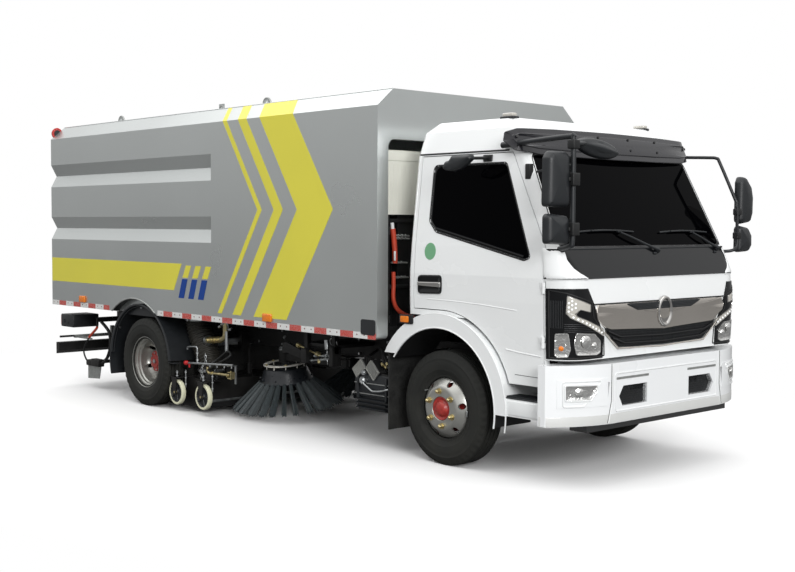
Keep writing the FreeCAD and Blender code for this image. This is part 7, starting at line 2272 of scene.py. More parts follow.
    def arch(self) -> None:
        """The arch moulding: a rolled outer lip, a raised inner bead and the ribbed step."""
        lip = Shape()
        inner, outer, back = (self.arc(radius) for radius in (0.542, 0.640, 0.536))
        lip.sweep([Vector((x, -1.018, z)) for x, z in inner], 0.006, 8)
        lip.sweep([Vector((x, -1.016, z)) for x, z in outer], 0.005, 8)
        self.settle(lip, "arch_lips", "chassis", Paint.CAB_WHITE, "white_paint")
        liner = Shape()
        liner.skin([[(x, -1.012, z) for x, z in back], [(x, -0.64, z) for x, z in back]], 0.003)
        self.settle(liner, "arch_liner", "chassis", Paint.SEAL, "black_plastic")
        step = Shape()
        step.box((2.815, -1.003, 0.546), (3.118, -0.86, 0.557), 0.004)
        for k in range(17):
            x = 2.828 + 0.0175 * k
            step.box((x, -0.998, 0.555), (x + 0.009, -0.866, 0.566), 0.002)
        self.settle(step, "step_tread", "chassis", Paint.GRAINED, "black_plastic")
        edge = Shape().box((2.80, -1.006, 0.44), (3.12, -0.99, 0.537), 0.006)
        self.settle(edge, "step_face", "chassis", Paint.CAB_WHITE, "white_paint")

    def build(self) -> None:
        """Make every piece of this side."""
        word = self.side.word
        dress(f"cab_door_{word}", Paint.CAB_WHITE)
        dress(f"cab_window_{word}", Paint.GLASS)
        for step in (self.window, self.handle, self.creases, self.rail, self.repeater, self.arch):
            step()


@dataclass
class Mirrors:
    """Door mirrors on bent tubes, the front-view mirror and the kerb mirror.

    Attributes:
        tube: Radius of the left arm's tube.
        bar: Radius of the right arm's tube.
    """

    tube: float = 0.012
    bar: float = 0.017

    def head(self, shape: Shape, glass: Shape, outline: Sequence[Flat], back: float, deep: float,
            bulge: float = 0.012) -> None:
        """Add a mirror's shell, domed to the front, with its glass at the rear.

        Args:
            shape: Gets the shell.
            glass: Gets the mirror plate.
            outline: Corners across and up.
            back: Where the shell's rear edge is.
            deep: From there to its front.
            bulge: How far its middle stands out further.
        """

        def onto(y: float, z: float, lift: float = 0.0) -> Vector:
            """Stand one point on the upright plane, ahead of it by the lift."""
            return Vector((back + lift, y, z))

        edge = dense(outline, 0.03)
        pad(shape, edge, onto, [(-0.001, 0.004), (-0.001, deep * 0.35), (0.004, deep * 0.68), (0.014, deep * 0.9),
                (0.03, deep)], sunk=0.0, crown=bulge)
        pad(glass, dense(nested(outline, 0.009), 0.04), onto, [(0.0, 0.004)], sunk=0.003)

    def clamp(self, shape: Shape, spot: Point, half: Point) -> None:
        """A moulded clamp that grips the tube.

        Args:
            shape: What it is added to.
            spot: Its middle.
            half: Half its size each way.
        """
        low = tuple(a - b for a, b in zip(spot, half))
        high = tuple(a + b for a, b in zip(spot, half))
        shape.box(low, high, 0.006)

    def right(self) -> None:
        """The right arm with two heads and the oval front-view mirror."""
        arm, shells, plates = Shape(), Shape(), Shape()
        bends = [(2.70, -0.915, 2.215), (3.05, -0.962, 2.229), (3.315, -0.956, 2.241), (3.333, -0.958, 2.225),
            (3.334, -0.958, 1.95), (3.334, -0.958, 1.66), (3.332, -0.958, 1.575), (3.315, -0.956, 1.556),
            (3.20, -0.923, 1.535)]
        arm.sweep(smooth_path(bends, 5), self.bar, 14)
        arm.rod((2.70, -0.914, 2.215), (2.80, -0.928, 2.219), 0.021, 20)
        arm.sweep(smooth_path([(3.33, -0.958, 2.06), (3.18, -0.908, 2.06), (3.0, -0.915, 2.03)], 5), 0.008, 10)
        arm.place("right_mirror_arm", "chassis", Paint.GRAINED, "black_plastic", ("mirrors",))
        upper = rounded([(-1.186, 1.80), (-1.180, 2.10), (-1.148, 2.142), (-1.018, 2.145), (-0.978, 2.12),
                (-0.976, 1.80)], 0.03, 4)
        lower = rounded([(-1.181, 1.572), (-1.183, 1.74), (-1.158, 1.757), (-0.998, 1.745), (-0.978, 1.725),
                (-0.976, 1.565)], 0.026, 4)
        self.head(shells, plates, upper, 3.272, 0.068)
        self.head(shells, plates, lower, 3.278, 0.060)
        oval = [(-0.655 + 0.205 * math.cos(a), 2.180 + 0.060 * math.sin(a) - 0.024 * math.cos(a)) for a in turns(36)]
        self.head(shells, plates, oval, 3.262, 0.052, 0.022)
        shells.sweep([(3.334, -0.958, 2.195), (3.33, -0.888, 2.198), (3.30, -0.798, 2.205)], 0.014, 10)
        shells.place("right_mirror_shells", "chassis", Paint.GRAINED, "black_plastic")
        plates.place("right_mirror_glass", "chassis", Paint.CHROME, "window_glass")
        clamps = Shape()
        for z in (1.972, 1.662):
            self.clamp(clamps, (3.334, -0.958, z), (0.032, 0.034, 0.040))
            clamps.box((3.32, -1.008, z - 0.012), (3.348, -0.978, z + 0.012), 0.004)
        self.clamp(clamps, (3.334, -0.956, 2.19), (0.028, 0.030, 0.028))
        spot = Skin("cab_shell").front(-0.905, 2.03)
        clamps.box((spot.x - 0.03, -0.925, 1.985), (spot.x + 0.012, -0.885, 2.085), 0.006)
        clamps.box((3.17, -0.933, 1.515), (3.235, -0.903, 1.548), 0.008)
        clamps.place("right_mirror_clamps", "chassis", Paint.SEAL, "black_plastic")

    def left(self) -> None:
        """The left arm with its two rounded heads and a loop of cable."""
        arm, shells, plates = Shape(), Shape(), Shape()
        bends = [(2.70, 0.915, 2.215), (2.85, 0.970, 2.205), (3.02, 1.0, 2.198), (3.10, 1.008, 2.190),
            (3.13, 1.012, 2.150), (3.245, 1.038, 1.885), (3.258, 1.045, 1.84), (3.262, 1.045, 1.68),
            (3.262, 1.044, 1.54), (3.25, 1.0, 1.505), (3.185, 0.95, 1.497)]
        arm.sweep(smooth_path(bends, 5), self.tube, 14)
        arm.rod((2.695, 0.912, 2.215), (2.765, 0.968, 2.215), 0.021, 20)
        arm.sweep(smooth_path([(3.235, 1.045, 1.89), (3.28, 1.02, 1.80), (3.29, 1.0, 1.66), (3.272, 1.04, 1.60)], 6),
            0.0055, 8)
        arm.place("left_mirror_arm", "chassis", Paint.GRAINED, "black_plastic")
        upper = rounded([(1.074, 1.72), (1.080, 2.01), (1.105, 2.052), (1.16, 2.05), (1.235, 1.98), (1.258, 1.90),
                (1.255, 1.78), (1.225, 1.715), (1.12, 1.702)], 0.03, 4)
        lower = rounded([(1.068, 1.50), (1.070, 1.67), (1.10, 1.688), (1.20, 1.675), (1.248, 1.62), (1.25, 1.54),
                (1.215, 1.497), (1.10, 1.492)], 0.026, 4)
        self.head(shells, plates, upper, 3.215, 0.062)
        self.head(shells, plates, lower, 3.219, 0.056)
        shells.place("left_mirror_shells", "chassis", Paint.GRAINED, "black_plastic")
        plates.place("left_mirror_glass", "chassis", Paint.CHROME, "window_glass")
        clamps = Shape()
        for z in (1.79, 1.615):
            self.clamp(clamps, (3.262, 1.046, z), (0.022, 0.028, 0.024))
        clamps.place("left_mirror_clamps", "chassis", Paint.SEAL, "black_plastic")

    def kerb(self) -> None:
        """The kerb mirror: a leaf-shaped hood over the right window, on a short stalk."""

        def onto(x: float, z: float, lift: float = 0.0) -> Vector:
            """Stand one point on the plane beside the window, out from it by the lift."""
            return Vector((x, -1.075 - lift, z))

        leaf = rounded([(2.352, 2.076), (2.372, 2.112), (2.405, 2.118), (2.43, 2.149), (2.588, 2.150), (2.598, 2.122),
                (2.56, 2.094), (2.50, 2.058), (2.43, 2.045), (2.36, 2.058)], 0.012, 3)
        wide = [(x - 0.02 * (2.6 - x) / 0.25, z) for x, z in leaf]
        shell = pad(Shape(), dense(wide, 0.02), onto, [(-0.001, 0.006), (0.0, 0.030), (0.006, 0.042), (0.016, 0.050)],
            sunk=0.0, crown=0.004)
        shell.place("kerb_mirror_shell", "cab_door_right", Paint.GRAINED, "black_plastic", ("kerb_mirror",))
        glass = pad(Shape(), dense(nested(wide, 0.008), 0.03), lambda x, z, lift=0.0: Vector((x, -1.075 + lift, z)),
            [(0.0, 0.002)], sunk=0.001)
        glass.place("kerb_mirror_glass", "cab_door_right", Paint.CHROME, "window_glass")
        foot = Skin("cab_shell", "cab_door_right").side(2.56, 2.135)
        stalk = Shape().sweep([tuple(foot + Vector((0, 0.004, 0))), (2.565, foot.y - 0.05, 2.134),
                (2.56, -1.09, 2.128)], 0.011, 12)
        stalk.box((2.52, foot.y - 0.012, 2.112), (2.60, foot.y + 0.006, 2.158), 0.006)
        stalk.place("kerb_mirror_stalk", "cab_door_right", Paint.SEAL, "black_plastic")

    def build(self) -> None:
        """Make all the mirrors."""
        for part in (self.right, self.left, self.kerb):
            part()


# ---------------------------------------------------------------- sweeping gear


@dataclass
class Broom:
    """A gutter broom on its swinging arm: spoked ring, hood, tufts, motor and linkage.

    Attributes:
        side: Which side of the vehicle.
        centre: Top of the hub, as distances along, out and up.
        lean: Outward lean of its axis in degrees.
        bridges: Pairs of bridges and bolts round the ring.
        tuft_count: Tufts round the hood.
        bristle: Length of a bristle.
    """

    side: Side
    centre: Point = (-0.23, 0.5, 0.47)
    lean: float = 6.0
    bridges: int = 10
    tuft_count: int = 26
    bristle: float = 0.345

    def stand(self) -> Matrix:
        """From the broom's own frame, upright at its hub, to the vehicle's.

        Returns:
            The matrix.
        """
        sign = self.side.value
        along, out, up = self.centre
        return Matrix.Translation((along, sign * out, up)) @ Matrix.Rotation(math.radians(-sign * self.lean), 4, "X")

    def settle(self, shape: Shape, name: str, finish: Paint, slot: str, stands_for: Sequence[str] = ()) -> None:
        """Place a piece drawn upright round the hub.

        Args:
            shape: The piece.
            name: Its name without the side.
            finish: What it wears.
            slot: Its material slot.
            stands_for: CAD nodes that it takes the place of.
        """
        bmesh.ops.transform(shape.bm, matrix=self.stand(), verts=shape.bm.verts)
        shape.place(f"{name}_{self.side.word}", f"broom_{self.side.word}", finish, slot, stands_for)

    def ring(self) -> None:
        """The welded double ring with its bridges and the bolts that hold it."""
        shape = Shape()
        for radius, wide in ((0.184, 0.007), (0.156, 0.006)):
            shape.lathe([(radius - wide, -0.004), (radius + wide, -0.004), (radius + wide, 0.004),
                    (radius - wide, 0.004)], (0, 0, 0.002), (0, 0, 1), 48)
        for turn in turns(self.bridges):
            way = Vector((math.cos(turn), math.sin(turn), 0))
            shape.rod(tuple(way * 0.152 + Vector((0, 0, 0.002))), tuple(way * 0.186 + Vector((0, 0, 0.002))), 0.006,
                8)
            shape.rod(tuple(way * 0.17 + Vector((0, 0, -0.03))), tuple(way * 0.17 + Vector((0, 0, 0.003))), 0.0045, 8)
        self.settle(shape, "broom_ring", Paint.RING_WHITE, "bright_steel")
        bolts = Shape()
        for turn in turns(5, 0.5):
            spot = Vector((0.17 * math.cos(turn), 0.17 * math.sin(turn), 0.004))
            bolts.rod(tuple(spot), tuple(spot + Vector((0, 0, 0.012))), 0.010, 6)
        self.settle(bolts, "broom_bolts", Paint.YELLOW_ZINC, "bright_steel")

    def hood(self) -> None:
        """The hub plate, the collar on the shaft and the conical hood over the tufts' roots."""
        shape = Shape().lathe([(0.0, -0.012), (0.055, -0.012), (0.06, -0.028), (0.184, -0.034), (0.192, -0.045),
                (0.200, -0.070), (0.236, -0.150), (0.232, -0.160), (0.222, -0.156), (0.188, -0.078), (0.178, -0.05),
                (0.06, -0.046), (0.0, -0.05)], (0, 0, 0), (0, 0, 1), 20, False)
        shape.rod((0, 0, -0.02), (0, 0, 0.012), 0.03, 20)
        for turn in turns(self.bridges, 0.25):
            way = Vector((math.cos(turn), math.sin(turn), 0))
            shape.rod(tuple(way * 0.217 + Vector((0, 0, -0.118))), tuple(way * 0.232 + Vector((0, 0, -0.112))), 0.008,
                6)
        self.settle(shape, "broom_hood", Paint.HOOD, "broom_bristle", (f"broom_{self.side.word}",))

    def tufts(self) -> None:
        """Flat ragged tufts round the hood, each a sheaf of bristles."""
        tree = Tree(f"broom_tufts_{self.side.word}_tree", Tufts=self.tuft_count, Root=0.205, Width=0.020, Depth=0.066,
            Length=self.bristle, Thick=0.0036)
        sheaf = tree.add("GeometryNodeMeshGrid", {"Size X": tree.size("Depth"), "Size Y": tree.size("Width"),
                "Vertices X": 11, "Vertices Y": 4})
        place = tree.add("GeometryNodeInputPosition")
        fan = tree.add("ShaderNodeVectorMath", {0: place.outputs[0], 1: (1.5, 0.8, 0.0)},
            operation="MULTIPLY").outputs[0]
        aim = tree.add("ShaderNodeVectorMath", {0: fan, 1: (0.735, 0.0, -0.68)}, operation="ADD").outputs[0]
        stray = tree.add("FunctionNodeRandomValue", {"Min": (-0.016, -0.016, -0.016), "Max": (0.016, 0.016, 0.016),
                "Seed": 11}, data_type="FLOAT_VECTOR").outputs[0]
        bent = tree.add("ShaderNodeVectorMath", {0: aim, 1: stray}, operation="ADD").outputs[0]
        turn = tree.add("FunctionNodeAlignRotationToVector", {"Vector": bent}, axis="Z")
        bristle = tree.add("GeometryNodeMeshCone", {"Vertices": 4, "Radius Top": tree.size("Thick"),
                "Radius Bottom": tree.size("Thick"), "Depth": tree.size("Length")})
        ragged = tree.add("FunctionNodeRandomValue", {2: 0.90, 3: 1.0, "Seed": 4}, data_type="FLOAT").outputs[1]
        scale = tree.add("ShaderNodeCombineXYZ", {0: 1.0, 1: 1.0, 2: ragged}).outputs[0]
        bunch = tree.add("GeometryNodeInstanceOnPoints", {"Points": sheaf.outputs[0], "Instance": bristle.outputs[0],
                "Rotation": turn.outputs[0], "Scale": scale})
        out = tree.add("ShaderNodeCombineXYZ", {0: tree.size("Root"), 2: -0.142}).outputs[0]
        moved = tree.add("GeometryNodeTransform", {0: bunch.outputs[0], "Translation": out})
        spots = tree.add("GeometryNodePoints", {"Count": tree.size("Tufts")})
        part = tree.add("ShaderNodeMath", {0: 2 * math.pi, 1: tree.size("Tufts")}, operation="DIVIDE").outputs[0]
        angle = tree.add("ShaderNodeMath", {0: tree.add("GeometryNodeInputIndex").outputs[0], 1: part},
            operation="MULTIPLY").outputs[0]
        lean = tree.add("FunctionNodeRandomValue", {2: -0.05, 3: 0.05, "Seed": 9}, data_type="FLOAT").outputs[1]
        turned = tree.add("ShaderNodeCombineXYZ", {0: lean, 2: angle}).outputs[0]
        placed = tree.add("GeometryNodeInstanceOnPoints", {"Points": spots.outputs[0], "Instance": moved.outputs[0],
                "Rotation": turned})
        tree.finish(placed.outputs[0], Paint.BRISTLE)
        seed = bpy.data.meshes.new("broom_seed")
        seed.from_pydata([(0, 0, 0)], [], [])
        tree.grow(f"broom_tufts_{self.side.word}", seed, f"broom_{self.side.word}", "broom_bristle",
            move=self.stand())

    def arm(self) -> None:
        """The motor's cap and the hoses along the arm."""
        word = self.side.word
        sign = self.side.value
        body = f"broom_arm_{word}"
        dress(body, Paint.CHASSIS_BLACK)
        along, out, _ = self.centre
        motor = Shape()
        motor.lathe([(0.0, 0.568), (0.045, 0.568), (0.052, 0.575), (0.052, 0.596), (0.045, 0.603), (0.0, 0.603)],
            (along, sign * (out + 0.008), 0.0), (0, 0, 1), 28, False)
        for k in range(4):
            turn = math.pi / 4 + math.pi * k / 2
            spot = Vector((along + 0.036 * math.cos(turn), sign * (out + 0.008) + 0.036 * math.sin(turn), 0.60))
            motor.rod(tuple(spot), tuple(spot + Vector((0, 0, 0.012))), 0.007, 6)
        motor.place(f"broom_motor_{word}", body, Paint.ZINC, "bright_steel")
        hoses = Shape()
        for shift in (0.0, 0.022):
            path = [(along + 0.03, sign * (out - 0.03 + shift), 0.595), (along + 0.08, sign * (out - 0.02 + shift),
                    0.625), (along + 0.25, sign * (out + shift), 0.600 - shift),
                (along + 0.42, sign * (out + 0.03 - shift), 0.612), (0.36, sign * (out - 0.02), 0.60)]
            hoses.sweep(smooth_path(path, 8), 0.009, 8)
        hoses.place(f"broom_hoses_{word}", body, Paint.SEAL, "black_rubber")

    def build(self) -> None:
        """Make the broom and its arm's details."""
        for part in (self.ring, self.hood, self.tufts, self.arm):
            part()


def chain(shape: Shape, start: Point, end: Point, link: float = 0.030, wire: float = 0.0026) -> Shape:
    """Hang a chain of oval links between two points.

    Args:
        shape: What it is added to.
        start: Its upper end.
        end: Its lower end.
        link: Length of a link.
        wire: Radius of its wire.

    Returns:
        The shape.
    """
    run = Vector(end) - Vector(start)
    way = run.normalized()
    side = way.orthogonal().normalized()
    count = max(2, round(run.length / (link * 0.72)))
    for k in range(count):
        across = side if k % 2 else way.cross(side)
        middle = Vector(start) + run * ((k + 0.5) / count)
        ring = [middle + way * (link / 2 * math.cos(a)) + across * (link * 0.30 * math.sin(a)) for a in turns(10)]
        shape.sweep(ring, wire, 6, ring=True)
    return shape


@dataclass
class Caster:
    """An ivory-tyred caster between the nozzle's fork plates.

    Attributes:
        name: Its body.
        spot: Middle of the wheel.
        spokes: Spokes between its hub and its rim.
    """

    name: str
    spot: Point
    spokes: int = 5

    def build(self) -> None:
        """Make the tread, the spoked wheel and the axle bolt."""
        sign = 1 if self.spot[1] > 0 else -1
        tread = Shape().lathe([(0.092, -0.0195), (0.108, -0.0195), (0.1135, -0.015), (0.115, -0.006), (0.115, 0.006),
                (0.1135, 0.015), (0.108, 0.0195), (0.092, 0.0195)], self.spot, (0, 1, 0), 56)
        tread.place(f"{self.name}_tread", self.name, Paint.IVORY, "cream_tread", (self.name,))
        wheel = Shape().lathe([(0.012, -0.0185), (0.026, -0.0185), (0.030, -0.010), (0.036, -0.006), (0.078, -0.006),
                (0.083, -0.016), (0.0925, -0.017), (0.0925, 0.017), (0.083, 0.016), (0.078, 0.006), (0.036, 0.006),
                (0.030, 0.010), (0.026, 0.0185), (0.012, 0.0185)], self.spot, (0, 1, 0), 40)
        middle = Vector(self.spot)
        for turn in turns(self.spokes):
            way = Vector((math.cos(turn), 0, math.sin(turn)))
            for out in (-0.011, 0.011):
                wheel.rod(tuple(middle + way * 0.027 + Vector((0, out, 0))),
                    tuple(middle + way * 0.085 + Vector((0, out, 0))), 0.006, 8)
        wheel.place(f"{self.name}_wheel", self.name, Paint.GRAINED, "black_plastic")
        bolt = Shape()
        head = middle + Vector((0, sign * 0.0185, 0))
        bolt.rod(tuple(head), (head.x, head.y + sign * 0.004, head.z), 0.0165, 20)
        bolt.rod(tuple(head), (head.x, head.y + sign * 0.018, head.z), 0.0115, 6)
        bolt.place(f"{self.name}_bolt", self.name, Paint.YELLOW_ZINC, "bright_steel")


@dataclass
class Nozzle:
    """The suction nozzle: skirts, fork stems, spray bar, links and chains.

    Attributes:
        front: Where the front casters stand, along the vehicle.
        rear: Where the rear casters stand.
        track: How far out they stand.
        hub: Level of their axles.
    """

    front: float = -0.705
    rear: float = -1.13
    track: float = 1.03
    hub: float = 0.172

    def skirts(self) -> None:
        """Rubber skirts along the nozzle's edges with their clamping strips and bolts."""
        rubber, steel = Shape(), Shape()
        for x, low in ((-0.757, 0.040), (-1.194, 0.020)):
            rubber.box((x - 0.004, -0.925, low + 0.02), (x + 0.004, 0.925, 0.135), 0.0)
            steel.box((x - 0.007, -0.92, 0.105), (x + 0.007, 0.92, 0.128), 0.002)
            for k in range(13):
                y = -0.87 + 0.145 * k
                out = 0.012 if x > -1 else -0.012
                steel.rod((x, y, 0.1165), (x + out, y, 0.1165), 0.009, 6)
        for side in (-1, 1):
            y = side * 0.934
            rubber.box((-1.18, y, 0.04), (-0.765, y + side * 0.008, 0.13), 0.0)
        rubber.place("nozzle_skirts", "nozzle", Paint.SEAL, "black_rubber")
        steel.place("nozzle_strips", "nozzle", Paint.ZINC, "bright_steel")

    def ribs(self) -> None:
        """Pressed ribs over the nozzle's roof and its lifting lugs."""
        shape = Shape()
        for k in range(9):
            y = -0.86 + 0.215 * k
            shape.box((-1.12, y - 0.012, 0.298), (-0.80, y + 0.012, 0.312), 0.004)
        for y in (-0.62, 0.62):
            shape.box((-1.02, y - 0.006, 0.30), (-0.94, y + 0.006, 0.372), 0.003)
            shape.rod((-0.98, y - 0.012, 0.352), (-0.98, y + 0.012, 0.352), 0.012, 12)
        shape.place("nozzle_ribs", "nozzle", Paint.CHASSIS_BLACK, "black_paint")

    def stems(self) -> None:
        """The caster forks' mounting plates with threaded stems and nuts."""
        plates, steel = Shape(), Shape()
        for side in (-1, 1):
            for x in (self.rear, self.front):
                y = side * self.track
                plates.box((x - 0.075, y - 0.030, 0.300), (x + 0.062, y + 0.030, 0.310), 0.003)
                plates.prism(rounded([(x - 0.030, 0.300), (x + 0.030, 0.300), (x + 0.017, 0.150), (x - 0.017, 0.150)],
                        0.008), 1, min(y + side * 0.0265, y + side * 0.0315), max(y + side * 0.0265,
                        y + side * 0.0315))
                steel.rod((x - 0.005, y, 0.306), (x - 0.005, y, 0.365), 0.007, 10)
                for level in (0.312, 0.345):
                    steel.rod((x - 0.005, y, level), (x - 0.005, y, level + 0.009), 0.0125, 6)
                steel.rod((x + 0.09, y - side * 0.03, 0.22), (x + 0.09, y - side * 0.03, 0.375), 0.006, 10)
                for level in (0.245, 0.300, 0.352):
                    steel.rod((x + 0.09, y - side * 0.03, level), (x + 0.09, y - side * 0.03, level + 0.009), 0.011,
                        6)
        plates.place("caster_plates", "nozzle", Paint.CHASSIS_BLACK, "black_paint")
        steel.place("caster_stems", "nozzle", Paint.ZINC, "bright_steel")

    def plumbing(self) -> None:
        """Spray bars with jets, their red taps and the bent feed pipes."""
        pipe, tap = Shape(), Shape()
        for side in (-1, 1):
            y = side * 0.975
            pipe.rod((-1.04, y, 0.437), (-0.335, y, 0.478), 0.0105, 14)
            pipe.sweep(smooth_path([(-0.89, y, 0.447), (-0.889, y, 0.56), (-0.893, y, 0.586), (-0.915, y, 0.592),
                        (-1.03, y, 0.583), (-1.046, y, 0.572), (-1.048, y, 0.558)], 4), 0.0085, 12)
            for z in (0.47, 0.53):
                pipe.rod((-0.889, y, z), (-0.889, y, z + 0.014), 0.0125, 6)
            for k in range(5):
                x = -0.80 + 0.11 * k
                z = 0.437 + (x + 1.04) * 0.058
                pipe.rod((x, y, z - 0.028), (x, y, z), 0.006, 8)
            for x in (-0.72, -0.42):
                z = 0.437 + (x + 1.04) * 0.058
                pipe.box((x - 0.012, y, z - 0.014), (x + 0.012, y - side * 0.09, z - 0.008), 0.0)
                pipe.box((x - 0.010, y - side * 0.08, 0.30), (x + 0.010, y - side * 0.09, z - 0.008), 0.0)
            tap.lathe([(0.0, -0.045), (0.014, -0.045), (0.021, -0.036), (0.021, -0.018), (0.013, -0.008),
                    (0.013, 0.012), (0.0, 0.012)], (-1.045, y, 0.4365), (1, 0, 0.058), 18, False)
            tap.box((-1.03, y - 0.005, 0.395), (-1.012, y + 0.005, 0.436), 0.004)
        pipe.place("spray_bars", "nozzle", Paint.ZINC, "bright_steel")
        tap.place("spray_taps", "nozzle", Paint.TAP_RED, "black_plastic")

    def links(self) -> None:
        """The drag links that hold the nozzle level, and the chains that carry it."""
        brass, steel, black = Shape(), Shape(), Shape()
        for side in (-1, 1):
            y = side * 0.95
            brass.rod((-0.742, y, 0.372), (-0.42, y, 0.382), 0.0125, 16)
            brass.sweep([(-0.762, y, 0.425), (-0.762, y, 0.39), (-0.742, y, 0.372)], 0.013, 12)
            for x in (-0.70, -0.455):
                brass.rod((x, y, 0.374), (x + 0.016, y, 0.375), 0.019, 6)
            brass.box((-0.43, y - 0.022, 0.352), (-0.38, y + 0.022, 0.360), 0.002)
            brass.box((-0.43, y - 0.022, 0.404), (-0.38, y + 0.022, 0.412), 0.002)
            brass.box((-0.385, y - 0.022, 0.352), (-0.378, y + 0.022, 0.412), 0.0)
            brass.rod((-0.408, y, 0.345), (-0.408, y, 0.42), 0.007, 10)
            chain(steel, (-0.855, y, 0.425), (-0.862, y, 0.302))
            chain(steel, (-0.80, y, 0.54), (-0.795, y, 0.455))
            black.sweep(smooth_path([(-0.74, y + side * 0.01, 0.40), (-0.66, y + side * 0.02, 0.436),
                        (-0.50, y, 0.51), (-0.45, y - side * 0.03, 0.555), (-0.53, y - side * 0.05, 0.575),
                        (-0.66, y - side * 0.04, 0.50), (-0.70, y, 0.46)], 6), 0.010, 10)
            black.box((-0.80, y, 0.300), (-0.73, y - side * 0.05, 0.43), 0.004)
        brass.place("nozzle_links", "nozzle", Paint.YELLOW_ZINC, "bright_steel")
        steel.place("nozzle_chains", "nozzle", Paint.ZINC, "bright_steel")
        black.place("nozzle_hoses", "nozzle", Paint.SEAL, "black_rubber")

    def build(self) -> None:
        """Make the nozzle's details and its four casters."""
        dress("suction_nozzle", Paint.CHASSIS_BLACK)
        for part in (self.skirts, self.ribs, self.stems, self.plumbing, self.links):
            part()
        for word, sign in (("left", 1), ("right", -1)):
            for end, x in (("front", self.front), ("rear", self.rear)):
                Caster(f"caster_{end}_{word}", (x, sign * self.track, self.hub)).build()


@dataclass
class SuctionHose:
    """The corrugated suction hose between the body's floor and the nozzle, with its pipes.

    Attributes:
        radius: Of the hose, halfway up its corrugations.
        pitch: Distance between two corrugations.
        line: How far out its middle line runs, to the right.
    """

    radius: float = 0.108
    pitch: float = 0.026
    line: float = -0.80

    def build(self) -> None:
        """Make the hose, its collars and bracket, and the pipes beside it."""
        line, pipe, gear = self.line, self.line - 0.04, self.line - 0.06
        path = smooth_path([(-1.145, line, 0.842), (-1.142, line, 0.79), (-1.105, line, 0.69), (-1.03, line, 0.57),
                (-0.965, line, 0.47), (-0.935, line, 0.40), (-0.93, line, 0.35)], 40)
        length = sum((b - a).length for a, b in zip(path, path[1:]))
        waves = length / self.pitch
        hose = Shape().sweep(path, lambda t: self.radius + 0.006 * math.sin(2 * math.pi * waves * t), 40)
        hose.place("suction_hose_wall", "chassis", Paint.HOSE, "black_rubber", ("suction_hose",), 60)
        steel = Shape()
        for centre, axis in (((-1.1445, line, 0.818), (0, 0, 1)), ((-0.93, line, 0.372), (0, 0, 1))):
            steel.lathe([(0.113, -0.012), (0.119, -0.012), (0.121, 0), (0.119, 0.012), (0.113, 0.012)], centre, axis,
                40)
            steel.box((centre[0] + 0.012, -0.94, centre[2] - 0.012), (centre[0] + 0.045, -0.915, centre[2] + 0.012),
                0.004)
        steel.box((-1.02, -0.70, 0.60), (-0.98, -0.39, 0.64), 0.004)
        steel.place("suction_hose_clamps", "chassis", Paint.ZINC, "bright_steel")
        brass = Shape()
        elbow = smooth_path([(-0.935, pipe, 0.640), (-0.80, pipe, 0.655), (-0.70, pipe, 0.668), (-0.655, pipe, 0.69),
                (-0.642, pipe, 0.73), (-0.642, pipe, 0.79), (-0.642, pipe, 0.845)], 6)
        brass.sweep(elbow, 0.0265, 20)
        for k in range(7):
            x = -0.90 + 0.028 * k
            brass.rod((x, pipe, 0.644 + (x + 0.90) * 0.1), (x + 0.008, pipe, 0.645 + (x + 0.90) * 0.1), 0.030, 20)
        brass.place("water_elbow", "chassis", Paint.YELLOW_ZINC, "bright_steel")
        bits = Shape()
        bits.rod((-0.935, pipe, 0.640), (-0.905, pipe, 0.643), 0.043, 20)
        bits.rod((-0.60, gear, 0.565), (-0.60, gear, 0.745), 0.0155, 16)
        bits.sweep(ring_of((-0.61, gear, 0.79), 0.035, (0, 1, 0.3), 20), 0.006, 8, ring=True)
        for x, z in ((-0.72, 0.775), (-0.68, 0.80), (-0.56, 0.76)):
            bits.rod((x, gear, z), (x + 0.035, gear, z + 0.012), 0.012, 6)
        bits.place("water_fittings", "chassis", Paint.ZINC, "bright_steel")


# ---------------------------------------------------------------- underbody, rear end and the gap behind the cab


